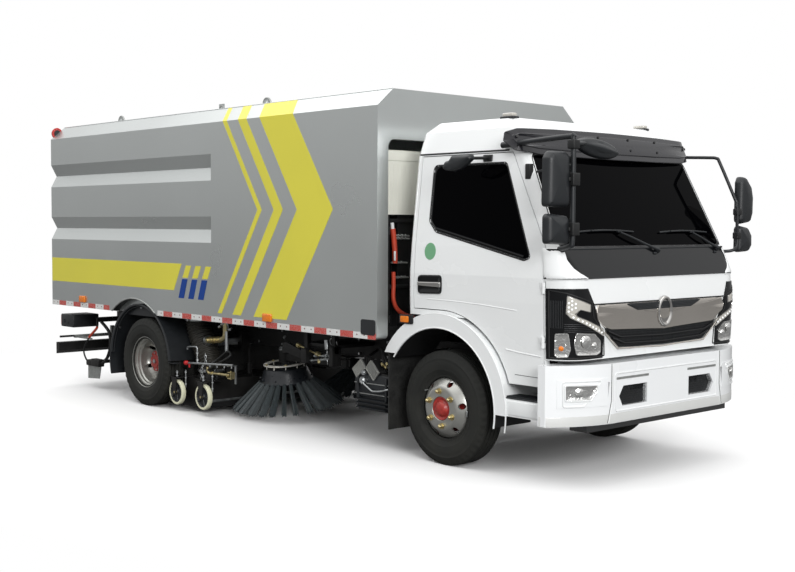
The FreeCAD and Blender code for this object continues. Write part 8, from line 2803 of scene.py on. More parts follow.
@dataclass
class CoolerBank:
    """Two finned oil coolers set in a vee over the electrics' louvred box, with taps and a bent pipe.

    Attributes:
        face: How far out the finned faces stand on the right side.
        depth: Thickness of the coolers.
    """

    face: float = -0.972
    depth: float = 0.10

    def slab(self, shape: Shape, corners: Sequence[Flat], near: float, far: float) -> None:
        """Add a slab with the given outline in the vertical plane along the vehicle."""
        shape.prism(list(corners), 1, near, far)

    def coolers(self) -> None:
        """The two coolers: frames, fins and dark bodies."""
        cores, fins, cases = Shape(), Shape(), Shape()
        for foot, top, out in (((1.279, 0.535), (1.371, 0.612), -1), ((1.383, 0.612), (1.469, 0.527), 1)):
            low, high = Vector((foot[0], 0, foot[1])), Vector((top[0], 0, top[1]))
            run = high - low
            rise = Vector((-0.048, 0, 0.060)) if out < 0 else Vector((0.055, 0, 0.060))
            corners = [low, high, high + rise, low + rise]
            self.slab(cores, [(p.x, p.z) for p in corners], self.face + 0.006, self.face + 0.02)
            middle = sum(corners, Vector()) / 4
            bigger = [middle + (p - middle) * 1.08 for p in corners]
            self.slab(cases, [(p.x, p.z) for p in bigger], self.face + 0.02, self.face + self.depth)
            for k in range(9):
                start = low + run * ((k + 0.5) / 9)
                fins.rod((start.x, self.face + 0.004, start.z), ((start + rise).x, self.face + 0.004,
                        (start + rise).z), 0.0032, 6)
            for a, b in zip(corners, corners[1:] + corners[:1]):
                fins.rod((a.x, self.face + 0.005, a.z), (b.x, self.face + 0.005, b.z), 0.0045, 6)
        for k in range(4):
            x = 1.335 + 0.022 * k
            cases.box((x, self.face + 0.03, 0.60), (x + 0.006, self.face + 0.09, 0.70 - 0.010 * k), 0.0)
        cases.prism(rounded([(1.50, 0.50), (1.62, 0.52), (1.62, 0.575), (1.545, 0.585)], 0.01), 1, self.face + 0.02,
            self.face + 0.12, 0.004)
        cores.place("cooler_cores", "chassis", Paint.GALVANISED, "bright_steel")
        fins.place("cooler_fins", "chassis", Paint.WHEEL_SILVER, "bright_steel")
        cases.place("cooler_cases", "chassis", Paint.CHASSIS_BLACK, "black_plastic")

    def box(self) -> None:
        """The louvred electrics box under the coolers."""
        lo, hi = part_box("battery_box")
        shape = Shape().box((lo.x, lo.y + 0.025, lo.z + 0.07), (hi.x, hi.y, hi.z - 0.10), 0.012)
        shape.box((lo.x + 0.01, lo.y + 0.045, lo.z - 0.04), (hi.x - 0.02, hi.y, lo.z + 0.07), 0.01)
        for k in range(5):
            z = lo.z - 0.030 + 0.032 * k
            shape.prism([(lo.y + 0.048, z), (lo.y + 0.020, z + 0.004), (lo.y + 0.018, z + 0.011),
                    (lo.y + 0.048, z + 0.020)], 0, lo.x + 0.02 + 0.018 * (k == 4), hi.x - 0.06)
        for x in (lo.x + 0.04, hi.x - 0.06):
            shape.box((x, lo.y + 0.01, lo.z + 0.05), (x + 0.02, lo.y + 0.05, hi.z - 0.12), 0.003)
        shape.place("electrics_box", "chassis", Paint.GRAINED, "black_plastic", ("battery_box",))
        edges = Shape()
        for z in (lo.z + 0.085, lo.z + 0.165):
            edges.rod((lo.x, lo.y + 0.024, z), (hi.x - 0.03, lo.y + 0.024, z + 0.004), 0.004, 6)
        edges.place("electrics_box_edges", "chassis", Paint.GALVANISED, "bright_steel")

    def pipework(self) -> None:
        """Filter heads between the coolers and the bent pipe that leaves them."""
        shape = Shape()
        y = self.face
        shape.lathe([(0.0, -0.012), (0.017, -0.012), (0.020, -0.006), (0.020, 0.04), (0.0, 0.04)], (1.366, y, 0.578),
            (0, 1, 0), 24, False)
        shape.rod((1.366, y - 0.016, 0.578), (1.366, y, 0.578), 0.007, 10)
        shape.lathe([(0.0, -0.02), (0.022, -0.02), (0.029, -0.010), (0.029, 0.02), (0.024, 0.03), (0.024, 0.08),
                (0.0, 0.08)], (1.358, y, 0.520), (0, 1, 0), 24, False)
        for k in range(6):
            turn = math.pi * k / 3
            shape.rod((1.358 + 0.021 * math.cos(turn), y - 0.018, 0.520 + 0.021 * math.sin(turn)),
                (1.358 + 0.021 * math.cos(turn), y - 0.01, 0.520 + 0.021 * math.sin(turn)), 0.004, 6)
        path = smooth_path([(1.354, y - 0.012, 0.508), (1.395, y - 0.010, 0.485), (1.445, y, 0.452),
                (1.475, y, 0.446), (1.56, y, 0.455), (1.625, y, 0.472), (1.64, y + 0.05, 0.478)], 6)
        shape.sweep(path, 0.0075, 12)
        shape.rod((1.350, y - 0.014, 0.512), (1.366, y - 0.010, 0.498), 0.013, 6)
        shape.place("cooler_pipework", "chassis", Paint.ZINC, "bright_steel")
        bits = Shape()
        for at in ((1.52, -0.93, 0.655), (1.545, -0.92, 0.635), (1.595, -0.95, 0.665), (1.64, -0.96, 0.635)):
            bits.rod(at, (at[0] + 0.022, at[1] - 0.006, at[2] - 0.014), 0.011, 6)
        bits.place("hose_ends", "chassis", Paint.YELLOW_ZINC, "bright_steel")
        hoses = Shape()
        for start, middle, end in (((1.40, -0.80, 0.72), (1.46, -0.86, 0.745), (1.53, -0.92, 0.652)),
                ((1.47, -0.70, 0.76), (1.60, -0.86, 0.79), (1.65, -0.95, 0.63)),
                ((1.30, -0.70, 0.66), (1.40, -0.82, 0.75), (1.60, -0.94, 0.66)),
                ((1.10, -0.6, 0.70), (1.18, -0.80, 0.64), (1.26, -0.86, 0.60))):
            hoses.sweep(smooth_path([start, middle, end], 10), 0.012, 10)
        hoses.place("cooler_hoses", "chassis", Paint.SEAL, "black_rubber")

    def build(self) -> None:
        """Make every piece."""
        for part in (self.coolers, self.box, self.pipework):
            part()


@dataclass
class SubframeBits:
    """Small gear seen between the body's lower edge and the brooms, on both sides.

    Attributes:
        line: How far out it hangs.
    """

    line: float = 0.80

    def build(self) -> None:
        """Make the threaded rods, the spring and chain, the brass pipes and the brackets."""
        zinc, brass, black = Shape(), Shape(), Shape()
        for side in (-1, 1):
            y = side * self.line
            for (x0, z0), (x1, z1) in (((0.50, 0.580), (0.80, 0.620)), ((0.55, 0.622), (0.80, 0.643))):
                zinc.rod((x0, y, z0), (x1, y, z1), 0.0075, 10)
                for share in (0.06, 0.5, 0.62, 0.93):
                    x, z = x0 + (x1 - x0) * share, z0 + (z1 - z0) * share
                    zinc.rod((x, y, z), (x + 0.016, y, z + 0.0015), 0.014, 6)
            zinc.rod((0.712, y, 0.762), (0.722, y, 0.688), 0.021, 14)
            zinc.rod((0.722, y, 0.690), (0.726, y, 0.655), 0.007, 8)
            chain(zinc, (0.727, y - 0.006, 0.68), (0.733, y - 0.006, 0.575), 0.05, 0.0035)
            zinc.sweep(ring_of((0.80, y, 0.745), 0.04, (0, 1, 0.4), 18), 0.004, 6, ring=True)
            brass.sweep(smooth_path([(0.35, y, 0.69), (0.44, y, 0.675), (0.53, y, 0.652), (0.60, y, 0.642)], 6),
                0.0075, 10)
            brass.rod((0.335, y, 0.694), (0.365, y, 0.688), 0.019, 8)
            brass.rod((0.588, y, 0.644), (0.620, y, 0.638), 0.021, 10)
            brass.rod((0.615, y, 0.57), (0.615, y, 0.60), 0.012, 6)
            black.prism(rounded([(0.131, 0.612), (0.15, 0.70), (0.20, 0.708), (0.456, 0.640), (0.462, 0.592),
                        (0.43, 0.582), (0.20, 0.62)], 0.02), 1, y - 0.012, y + 0.012, 0.004)
            black.box((0.44, y - 0.05, 0.56), (0.50, y + 0.05, 0.68), 0.006)
            black.box((0.80, y - 0.05, 0.56), (0.84, y + 0.05, 0.72), 0.006)
            black.box((0.44, y, 0.70), (0.84, side * 0.40, 0.73), 0.006)
            for x in (0.47, 0.82):
                black.box((x - 0.02, y - 0.02, 0.66), (x + 0.02, y + 0.02, 0.845), 0.0)
            for x, z in ((0.10, 0.735), (0.155, 0.665), (0.05, 0.64), (0.47, 0.71)):
                zinc.rod((x, y + 0.04, z), (x + 0.024, y + 0.03, z + 0.012), 0.011, 6)
        zinc.place("subframe_fittings", "chassis", Paint.ZINC, "bright_steel")
        brass.place("subframe_brass", "chassis", Paint.YELLOW_ZINC, "bright_steel")
        black.place("subframe_brackets", "chassis", Paint.CHASSIS_BLACK, "black_paint")


@dataclass
class RearEnd:
    """Tail lamps, the bar between them, mudguard lips, the cable loop and the plate below it.

    Attributes:
        lamp_inner: How far out the lamps start.
        lamp_outer: How far out they end.
        guard_radius: Outer radius of the mudguards.
        guard_centre: Middle of their arc, along and up.
        loop: How far out the cable loops hang.
    """

    lamp_inner: float = 0.74
    lamp_outer: float = 1.03
    guard_radius: float = 0.515
    guard_centre: Flat = (-1.69, 0.415)
    loop: float = 0.90

    def lamps(self) -> None:
        """Each lamp: a black case with red, amber and clear lenses facing the rear."""
        lo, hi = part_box("tail_lamps")
        case, red, amber, clear, rims = Shape(), Shape(), Shape(), Shape(), Shape()
        for side in (-1, 1):
            inner, outer = side * self.lamp_inner, side * self.lamp_outer
            case.box((lo.x + 0.012, inner, lo.z), (hi.x, outer, hi.z), 0.008)
            for shape, start, end in ((red, 0.0, 0.36), (amber, 0.38, 0.62), (clear, 0.64, 0.80), (red, 0.82, 1.0)):
                a = outer + (inner - outer) * start - side * 0.004 * (start > 0)
                b = outer + (inner - outer) * end
                shape.box((lo.x, min(a, b) + 0.004, lo.z + 0.014), (lo.x + 0.018, max(a, b) - 0.004, hi.z - 0.014),
                    0.005)
            for z in (lo.z + 0.045, lo.z + 0.085):
                for share in (0.1, 0.24, 0.5, 0.72):
                    y = outer + (inner - outer) * share
                    rims.rod((lo.x - 0.001, y, z), (lo.x + 0.006, y, z), 0.013, 16)
            case.rod((lo.x + 0.08, outer, lo.z + 0.06), (lo.x + 0.08, outer + side * 0.006, lo.z + 0.06), 0.018, 16)
            case.rod((lo.x + 0.16, outer, lo.z + 0.045), (lo.x + 0.16, outer + side * 0.005, lo.z + 0.045), 0.011, 12)
            case.box((hi.x - 0.06, side * 0.46, lo.z + 0.04), (hi.x - 0.02, side * 0.75, lo.z + 0.09), 0.004)
        case.place("tail_lamp_cases", "chassis", Paint.GRAINED, "lamp_lens", ("tail_lamps",))
        red.place("tail_lamp_red", "chassis", Paint.RED_LENS, "lamp_lens")
        amber.place("tail_lamp_amber", "chassis", Paint.AMBER, "lamp_lens")
        clear.place("tail_lamp_clear", "chassis", Paint.LENS, "lamp_lens")
        rims.place("tail_lamp_rims", "chassis", Paint.DIODE, "lamp_lens")

    def bars(self) -> None:
        """The plain steel bar over the underrun bar with its posts, the marking tape and the blank plate."""
        dress("rear_underrun_bar", Paint.CHASSIS_BLACK)
        bar = Shape().box((-3.35, -0.90, 0.492), (-3.31, 0.90, 0.524), 0.005)
        for side in (-1, 1):
            bar.box((-3.345, side * 0.44, 0.45), (-3.315, side * 0.48, 0.60), 0.003)
            bar.box((-3.33, side * 0.895, 0.498), (-2.95, side * 0.90, 0.518), 0.0)
        bar.place("plate_bar", "chassis", Paint.GALVANISED, "bright_steel")
        tape = Shape()
        for side in (-1, 1):
            tape.box((-3.3962, side * 0.25, 0.375), (-3.3945, side * 0.95, 0.42))
        tape.place("underrun_tape", "chassis", Paint.TAPE, "lamp_lens")
        plate = Shape().box((-3.352, -0.24, 0.375), (-3.346, 0.24, 0.49), 0.0)
        plate.box((-3.350, -0.10, 0.48), (-3.340, 0.10, 0.52), 0.0)
        plate.place("blank_number_plate", "chassis", Paint.GALVANISED, "bright_steel")

    def guards(self) -> None:
        """Rolled lips on the rear mudguards, their flanges and stay bolts."""
        dress("rear_mudguards", Paint.GRAINED)
        lip, bolts = Shape(), Shape()
        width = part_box("rear_mudguards")[1].y
        radius, centre = self.guard_radius, self.guard_centre
        for side in (-1, 1):
            y = side * (width - 0.006)
            arc = [(centre[0] + radius * math.cos(a), y, centre[1] + radius * math.sin(a)) for a
                in (math.radians(4 + 172 * k / 40) for k in range(41))]
            lip.sweep(arc, 0.010, 10)
            inner = [(p[0] * 0.965 + centre[0] * 0.035, y - side * 0.012, p[2] * 0.965 + centre[1] * 0.035) for p
                in arc]
            lip.sweep(inner, 0.005, 8)
            lip.box((centre[0] + radius - 0.02, y, 0.43), (centre[0] + radius + 0.09, y - side * 0.06, 0.437), 0.0)
            for angle in (35, 90, 145):
                a = math.radians(angle)
                at = (centre[0] + (radius - 0.03) * math.cos(a), y - side * 0.03, centre[1] + (radius - 0.03)
                    * math.sin(a))
                bolts.rod(at, (at[0], at[1] + side * 0.012, at[2]), 0.010, 6)
        lip.place("mudguard_lips", "chassis", Paint.GRAINED, "black_plastic")
        bolts.place("mudguard_bolts", "chassis", Paint.ZINC, "bright_steel")

    def cable(self) -> None:
        """The sleeved cable loop at the right, the dark bracket and the silver plate under it."""
        cable, sleeve, plate, bracket = Shape(), Shape(), Shape(), Shape()
        for side in (-1, 1):
            y = side * self.loop
            path = smooth_path([(-2.83, y, 0.74), (-2.845, y, 0.68), (-2.85, y, 0.626), (-2.99, y, 0.534),
                    (-3.10, y, 0.43), (-3.125, y, 0.357), (-3.07, y, 0.285), (-2.98, y, 0.255)], 8)
            cable.sweep(path, 0.0085, 10)
            cable.sweep(smooth_path([(-2.80, y, 0.26), (-2.70, y + 0.02, 0.33), (-2.62, y + 0.05, 0.42),
                        (-2.60, y + 0.05, 0.52)], 6), 0.0085, 10)
            sleeve.sweep([path[k] for k in range(14, 26)], 0.013, 12)
            bracket.box((-3.03, y - 0.03, 0.235), (-2.92, y + 0.03, 0.295), 0.012)
            bracket.box((-2.92, y - 0.035, 0.238), (-2.76, y + 0.035, 0.312), 0.008)
            bracket.box((-2.84, y, 0.27), (-2.78, side * 0.46, 0.30), 0.004)
            bracket.box((-2.84, side * 0.44, 0.27), (-2.78, side * 0.47, 0.62), 0.004)
            bracket.sweep(smooth_path([(-2.72, y + side * 0.02, 0.70), (-2.60, y, 0.60), (-2.58, y, 0.45),
                        (-2.66, y, 0.32), (-2.76, y, 0.27)], 8), 0.016, 10)
            plate.prism([(-3.03, 0.10), (-2.80, 0.115), (-2.765, 0.24), (-3.03, 0.24)], 1, y - 0.004, y + 0.004)
            plate.rod((-2.90, y - 0.006, 0.17), (-2.90, y + 0.006, 0.17), 0.010, 6)
        cable.place("rear_cables", "chassis", Paint.SEAL, "black_rubber")
        sleeve.place("rear_cable_sleeves", "chassis", Paint.CONDUIT, "black_plastic")
        bracket.place("rear_brackets", "chassis", Paint.CHASSIS_BLACK, "black_paint")
        plate.place("rear_guard_plates", "chassis", Paint.GALVANISED, "bright_steel")

    def build(self) -> None:
        """Make every piece."""
        for part in (self.lamps, self.bars, self.guards, self.cable):
            part()


@dataclass
class Gap:
    """What shows between the cab and the body: the beige fan cover, red hoses and small pipes.

    Attributes:
        plane: Where the hoses hang, along the vehicle.
        ribs: Number of ribs on the cover's front.
    """

    plane: float = 1.57
    ribs: int = 46

    def build(self) -> None:
        """Make the cover's ribs and frame, the hoses with their white tags, and the pipes."""
        dress("fan_cover", Paint.COVER_BEIGE)
        dress("auxiliary_engine", Paint.CHASSIS_BLACK)
        lo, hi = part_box("fan_cover")
        ribs = Shape()
        for k in range(self.ribs):
            y = lo.y + 0.045 + (hi.y - lo.y - 0.09) * k / (self.ribs - 1)
            ribs.box((hi.x - 0.002, y - 0.004, lo.z + 0.02), (hi.x + 0.0025, y + 0.004, hi.z - 0.10), 0.0)
        ribs.box((hi.x - 0.002, lo.y + 0.01, hi.z - 0.075), (hi.x + 0.006, hi.y - 0.01, hi.z - 0.004), 0.003)
        ribs.box((lo.x + 0.05, lo.y + 0.06, hi.z - 0.002), (hi.x - 0.05, hi.y - 0.06, hi.z + 0.008), 0.004)
        for start, end in ((lo.y + 0.08, -0.04), (0.04, hi.y - 0.08)):
            ribs.box((lo.x - 0.006, start, lo.z + 0.06), (lo.x + 0.002, end, hi.z - 0.06), 0.003)
            for k in range(6):
                z = lo.z + 0.12 + 0.05 * k
                ribs.prism([(lo.x - 0.004, z + 0.03), (lo.x - 0.016, z), (lo.x - 0.004, z)], 1, start + 0.06,
                    end - 0.06)
        for y in (lo.y, hi.y):
            ribs.box((lo.x + 0.06, y - 0.005, lo.z + 0.06), (hi.x - 0.06, y + 0.005, hi.z - 0.06), 0.003)
        ribs.place("fan_cover_ribs", "chassis", Paint.COVER_BEIGE, "beige_paint")
        self.engine_housing()
        hoses, tags, pipes, frame_bars = Shape(), Shape(), Shape(), Shape()
        for side in (-1, 1):
            y = side * 0.862
            hoses.sweep(smooth_path([(self.plane, y + side * 0.008, 1.655), (self.plane, y, 1.60),
                        (self.plane, y - side * 0.010, 1.52), (self.plane, y - side * 0.016, 1.40)], 6), 0.020, 12)
            hoses.sweep(smooth_path([(self.plane, y, 1.336), (self.plane, y - side * 0.002, 1.24),
                        (self.plane, y, 1.14), (self.plane, y - side * 0.03, 1.07), (self.plane, y - side * 0.10,
                            1.02), (self.plane, y - side * 0.20, 0.99)], 6), 0.016, 12)
            tags.rod((self.plane, y + side * 0.008, 1.64), (self.plane, y + side * 0.016, 1.70), 0.0135, 10)
            tags.box((1.584, y - side * 0.006, 1.42), (1.592, y + side * 0.012, 1.49), 0.003)
            for z, start, end in ((1.605, 0.84, 0.70), (1.585, 0.84, 0.70), (1.405, 0.88, 0.72), (1.295, 0.84, 0.71)):
                pipes.rod((1.565, side * start, z), (1.565, side * end, z - 0.004), 0.007, 8)
                for k in range(3):
                    at = side * (start - 0.02 - 0.035 * k)
                    pipes.rod((1.565, at, z), (1.565, at - side * 0.012, z), 0.012, 6)
            frame_bars.box((1.548, side * 0.90, 0.86), (1.572, side * 0.925, 1.758), 0.004)
        for z in (0.90, 1.21, 1.70):
            frame_bars.box((1.548, -0.92, z), (1.566, 0.92, z + 0.03), 0.003)
        hoses.place("gap_hoses", "chassis", Paint.CONDUIT, "black_rubber")
        tags.place("gap_hose_tags", "chassis", Paint.CAB_WHITE, "white_paint")
        pipes.place("gap_pipes", "chassis", Paint.GALVANISED, "bright_steel")
        frame_bars.place("gap_frame", "chassis", Paint.CHASSIS_BLACK, "black_paint")

    def engine_housing(self) -> None:
        """Doors, louvres and latches of the auxiliary engine's box, seen when the body is tipped."""
        lo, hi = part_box("auxiliary_engine")
        doors, louvres, latches = Shape(), Shape(), Shape()
        for start, end in ((lo.x + 0.05, lo.x + 0.49), (lo.x + 0.53, hi.x - 0.06)):
            doors.box((start, lo.y - 0.004, lo.z + 0.05), (end, lo.y + 0.002, hi.z - 0.05), 0.002)
            for k in range(9):
                z = lo.z + 0.22 + 0.05 * k
                louvres.prism([(lo.y + 0.001, z + 0.03), (lo.y - 0.012, z), (lo.y + 0.001, z)], 0, start + 0.05,
                    end - 0.05)
            for z in (lo.z + 0.10, hi.z - 0.15):
                latches.box((end - 0.045, lo.y - 0.014, z), (end - 0.015, lo.y, z + 0.06), 0.004)
        for shape in (doors, louvres, latches):
            shape.mirrored()
        doors.box((lo.x - 0.004, lo.y + 0.10, lo.z + 0.06), (lo.x + 0.002, hi.y - 0.10, hi.z - 0.06), 0.002)
        for k in range(12):
            z = lo.z + 0.14 + 0.055 * k
            for start, end in ((lo.y + 0.15, -0.02), (0.02, hi.y - 0.15)):
                louvres.prism([(lo.x + 0.001, z + 0.032), (lo.x - 0.012, z), (lo.x + 0.001, z)], 1, start, end)
        doors.place("engine_box_doors", "chassis", Paint.CHASSIS_BLACK, "black_paint")
        louvres.place("engine_box_louvres", "chassis", Paint.CHASSIS_BLACK, "black_paint")
        latches.place("engine_box_latches", "chassis", Paint.ZINC, "bright_steel")


@dataclass
class Running:
    """Axles, springs, frame, cylinders, tank and the other parts under the body.

    Attributes:
        rail: How far out the bolt heads sit on the frame rails.
        bolt_rows: Levels of the two rows of bolts along them.
        curtain_half: Half the splash curtain's width.
    """

    rail: float = 0.4015
    bolt_rows: Flat = (0.62, 0.74)
    curtain_half: float = 0.62

    def springs(self) -> None:
        """The clamps that hold each pack of leaves to its axle."""
        dress("leaf_springs", Paint.CHASSIS_BLACK)
        clamps = Shape()
        for x in (FRONT_AXLE, REAR_AXLE):
            for side in (-1, 1):
                for shift in (-0.055, 0.055):
                    clamps.sweep([(x + shift, side * 0.375, 0.43), (x + shift, side * 0.375, 0.575),
                            (x + shift, side * 0.465, 0.575), (x + shift, side * 0.465, 0.43)], 0.009, 8)
        clamps.place("spring_clamps", "chassis", Paint.ZINC, "bright_steel")

    def rods(self) -> None:
        """The tipping cylinders: enamelled barrels and chromed rods."""
        dress("tip_barrels", Paint.CHASSIS_BLACK)
        dress("tip_rods", Paint.CHROME)

    def tank(self) -> None:
        """Straps and cap of the fuel tank."""
        dress("fuel_tank", Paint.GALVANISED)
        lo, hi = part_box("fuel_tank")
        straps = Shape()
        for x in (lo.x + 0.14, hi.x - 0.18):
            outline = rounded([(lo.y - 0.004, lo.z - 0.004), (hi.y + 0.004, lo.z - 0.004),
                    (hi.y + 0.004, hi.z + 0.004), (lo.y - 0.004, hi.z + 0.004)], 0.06)
            straps.skin([[(x, y, z) for y, z in outline], [(x + 0.04, y, z) for y, z in outline]], 0.003, ring=True)
        straps.place("tank_straps", "chassis", Paint.CHASSIS_BLACK, "black_paint")
        cap = Shape().lathe([(0.0, 0.05), (0.04, 0.05), (0.048, 0.042), (0.048, 0.012), (0.035, 0.008),
                (0.035, -0.01), (0.0, -0.01)], (hi.x - 0.32, hi.y - 0.10, hi.z), (0, 0, 1), 28, False)
        cap.place("tank_cap", "chassis", Paint.GRAINED, "black_plastic")

    def curtain(self) -> None:
        """A rubber splash curtain across the frame ahead of the rear axle, held by a steel strip."""
        half = self.curtain_half
        sheet = Shape().box((-1.235, -half, 0.23), (-1.229, half, 0.585), 0.002)
        sheet.place("splash_curtain", "chassis", Paint.FLAP, "black_rubber")
        strip = Shape().box((-1.229, -half, 0.545), (-1.224, half, 0.585), 0.001)
        for k in range(7):
            strip.rod((-1.2245, -0.54 + 0.18 * k, 0.565), (-1.217, -0.54 + 0.18 * k, 0.565), 0.009, 6)
        strip.place("splash_curtain_strip", "chassis", Paint.ZINC, "bright_steel")

    def frame_bolts(self) -> None:
        """Bolt heads along the frame rails."""
        seed = bpy.data.meshes.new("rail_bolt_lines")
        points = []
        for side in (-1, 1):
            for z in self.bolt_rows:
                points += [(-3.2, side * self.rail, z), (2.4, side * self.rail, z)]
        seed.from_pydata(points, [(i, i + 1) for i in range(0, len(points), 2)], [])
        tree = Tree("rail_bolts", Spacing=0.35, Radius=0.011, Height=0.012)
        line = tree.add("GeometryNodeMeshToCurve", {0: tree.entry.outputs["Geometry"]})
        spots = tree.add("GeometryNodeCurveToPoints", {0: line.outputs[0], "Length": tree.size("Spacing")},
            mode="LENGTH")
        head = tree.add("GeometryNodeMeshCylinder", {"Vertices": 6, "Radius": tree.size("Radius"),
                "Depth": tree.size("Height")})
        turned = tree.add("GeometryNodeTransform", {0: head.outputs[0], "Rotation": (math.pi / 2, 0.0, 0.0)})
        bunch = tree.add("GeometryNodeInstanceOnPoints", {"Points": spots.outputs[0], "Instance": turned.outputs[0]})
        tree.finish(bunch.outputs[0], Paint.ZINC)
        tree.grow("rail_bolt_heads", seed, "chassis", "bright_steel")

    def build(self) -> None:
        """Dress and detail every part."""
        for node in ("chassis_frame", "crossmembers", "front_axle", "rear_axle", "engine_block", "knuckle_left",
                "knuckle_right"):
            dress(node, Paint.CHASSIS_BLACK)
        dress("front_mudflaps", Paint.FLAP)
        for part in (self.springs, self.rods, self.tank, self.curtain, self.frame_bolts):
            part()


# ---------------------------------------------------------------- cab interior


def puffed(shape: Shape, name: str, cap: float, frames: int = 20) -> bpy.types.Mesh:
    """Swell a closed form as foam under cloth does, by a short cloth run.

    Args:
        shape: A slightly smaller form; it is used up.
        name: The mesh's name.
        cap: How far a point may move, in metres.
        frames: Frames that the cloth runs for.

    Returns:
        The swollen mesh.
    """
    mesh = bpy.data.meshes.new(name)
    shape.bm.to_mesh(mesh)
    shape.bm.free()
    item = bpy.data.objects.new(name, mesh)
    scene = bpy.context.scene
    scene.collection.objects.link(item)
    mould = item.modifiers.new("mould", "REMESH")
    mould.mode = "VOXEL"
    mould.voxel_size = 0.009
    rest = bpy.data.meshes.new_from_object(item.evaluated_get(bpy.context.evaluated_depsgraph_get()))
    item.modifiers.clear()
    item.data = rest
    start = [v.co.copy() for v in rest.vertices]
    cloth = item.modifiers.new("cloth", "CLOTH")
    cloth.settings.use_pressure = True
    cloth.settings.uniform_pressure_force = 4.0
    cloth.settings.effector_weights.gravity = 0.0
    cloth.settings.quality = 5
    cloth.point_cache.frame_end = frames
    for step in range(1, frames + 1):
        scene.frame_set(step)
    swollen = bpy.data.meshes.new_from_object(item.evaluated_get(bpy.context.evaluated_depsgraph_get()))
    item.modifiers.clear()
    for vert, was in zip(swollen.vertices, start):
        move = vert.co - was
        vert.co = was + move * min(1.0, cap / max(move.length, 1e-9))
    item.data = swollen
    scene.frame_set(1)
    finer = item.modifiers.new("finer", "SUBSURF")
    finer.levels = 1
    item.data = bpy.data.meshes.new_from_object(item.evaluated_get(bpy.context.evaluated_depsgraph_get()))
    item.modifiers.clear()
    result = item.data
    bpy.data.objects.remove(item)
    return result


@dataclass
class Seats:
    """Two front seats: boxed bases, swollen cushions and backs with piped seams, and headrests.

    Attributes:
        middles: Distance of each seat's middle line from the vehicle's.
        half: Half a cushion's width.
        low: Underside of the cushion.
        top: Top of the cushion.
    """

    middles: tuple[float, float] = (-0.47, 0.43)
    half: float = 0.24
    low: float = 1.27
    top: float = 1.42

    def pad(self, name: str, outline: Sequence[Flat], half: float, cap: float,
            stands_for: Sequence[str] = ()) -> None:
        """Swell one padded form and copy it to both seats.

        Args:
            name: The piece's name.
            outline: Its section along the vehicle as (x, z) pairs.
            half: Half its width.
            cap: How far it may swell.
            stands_for: CAD nodes that the pads take the place of.
        """
        form = Shape().prism(rounded(list(outline), 0.035), 1, -half + cap * 0.5, half - cap * 0.5, 0.03)
        mesh = puffed(form, f"{name}_form", cap)
        for word, middle in zip(("right", "left"), self.middles):
            copy = Shape()
            copy.bm.from_mesh(mesh)
            bmesh.ops.translate(copy.bm, verts=copy.bm.verts, vec=(0.0, middle, 0.0))
            item = copy.place(f"{name}_{word}", "chassis", Paint.SEAT_CLOTH, "seat_fabric", stands_for if word
                == "right" else (), 180)

    def build(self) -> None:
        """Make the pads, their piping, the bases and the headrest posts."""
        self.pad("seat_cushion", [(2.165, self.low + 0.01), (2.635, self.low + 0.02), (2.635, self.top - 0.012),
                (2.165, self.top - 0.02)], self.half, 0.018, ("seats",))
        self.pad("seat_back", [(2.190, 1.43), (2.270, 1.43), (2.185, 1.86), (2.108, 1.86)], 0.23, 0.016)
        self.pad("headrest", [(2.095, 1.90), (2.165, 1.90), (2.148, 2.055), (2.090, 2.055)], 0.13, 0.012)
        bases, piping, posts = Shape(), Shape(), Shape()
        for middle in self.middles:
            bases.box((2.20, middle - 0.18, 1.09), (2.61, middle + 0.18, 1.275), 0.02)
            bases.box((2.19, middle - 0.225, 1.262), (2.63, middle + 0.225, 1.284), 0.008)
            for side in (-1, 1):
                bases.prism(rounded([(2.16, 1.29), (2.26, 1.29), (2.25, 1.47), (2.18, 1.47)], 0.02), 1,
                    middle + side * 0.245 - 0.008, middle + side * 0.245 + 0.008, 0.003)
                posts.rod((2.135, middle + side * 0.06, 1.84), (2.122, middle + side * 0.06, 1.93), 0.006, 10)
                y = middle + side * 0.15
                piping.sweep(smooth_path([(2.62, y, 1.36), (2.60, y, 1.418), (2.55, y, 1.430), (2.40, y, 1.432),
                            (2.25, y, 1.428)], 5), 0.0035, 6)
                piping.sweep(smooth_path([(2.29, y, 1.46), (2.268, y, 1.58), (2.238, y, 1.72), (2.205, y, 1.85)], 5),
                    0.0035, 6)
        bases.place("seat_bases", "chassis", Paint.GRAINED, "black_plastic")
        piping.place("seat_piping", "chassis", Paint.SEAL, "seat_fabric")
        posts.place("headrest_posts", "chassis", Paint.CHROME, "bright_steel")


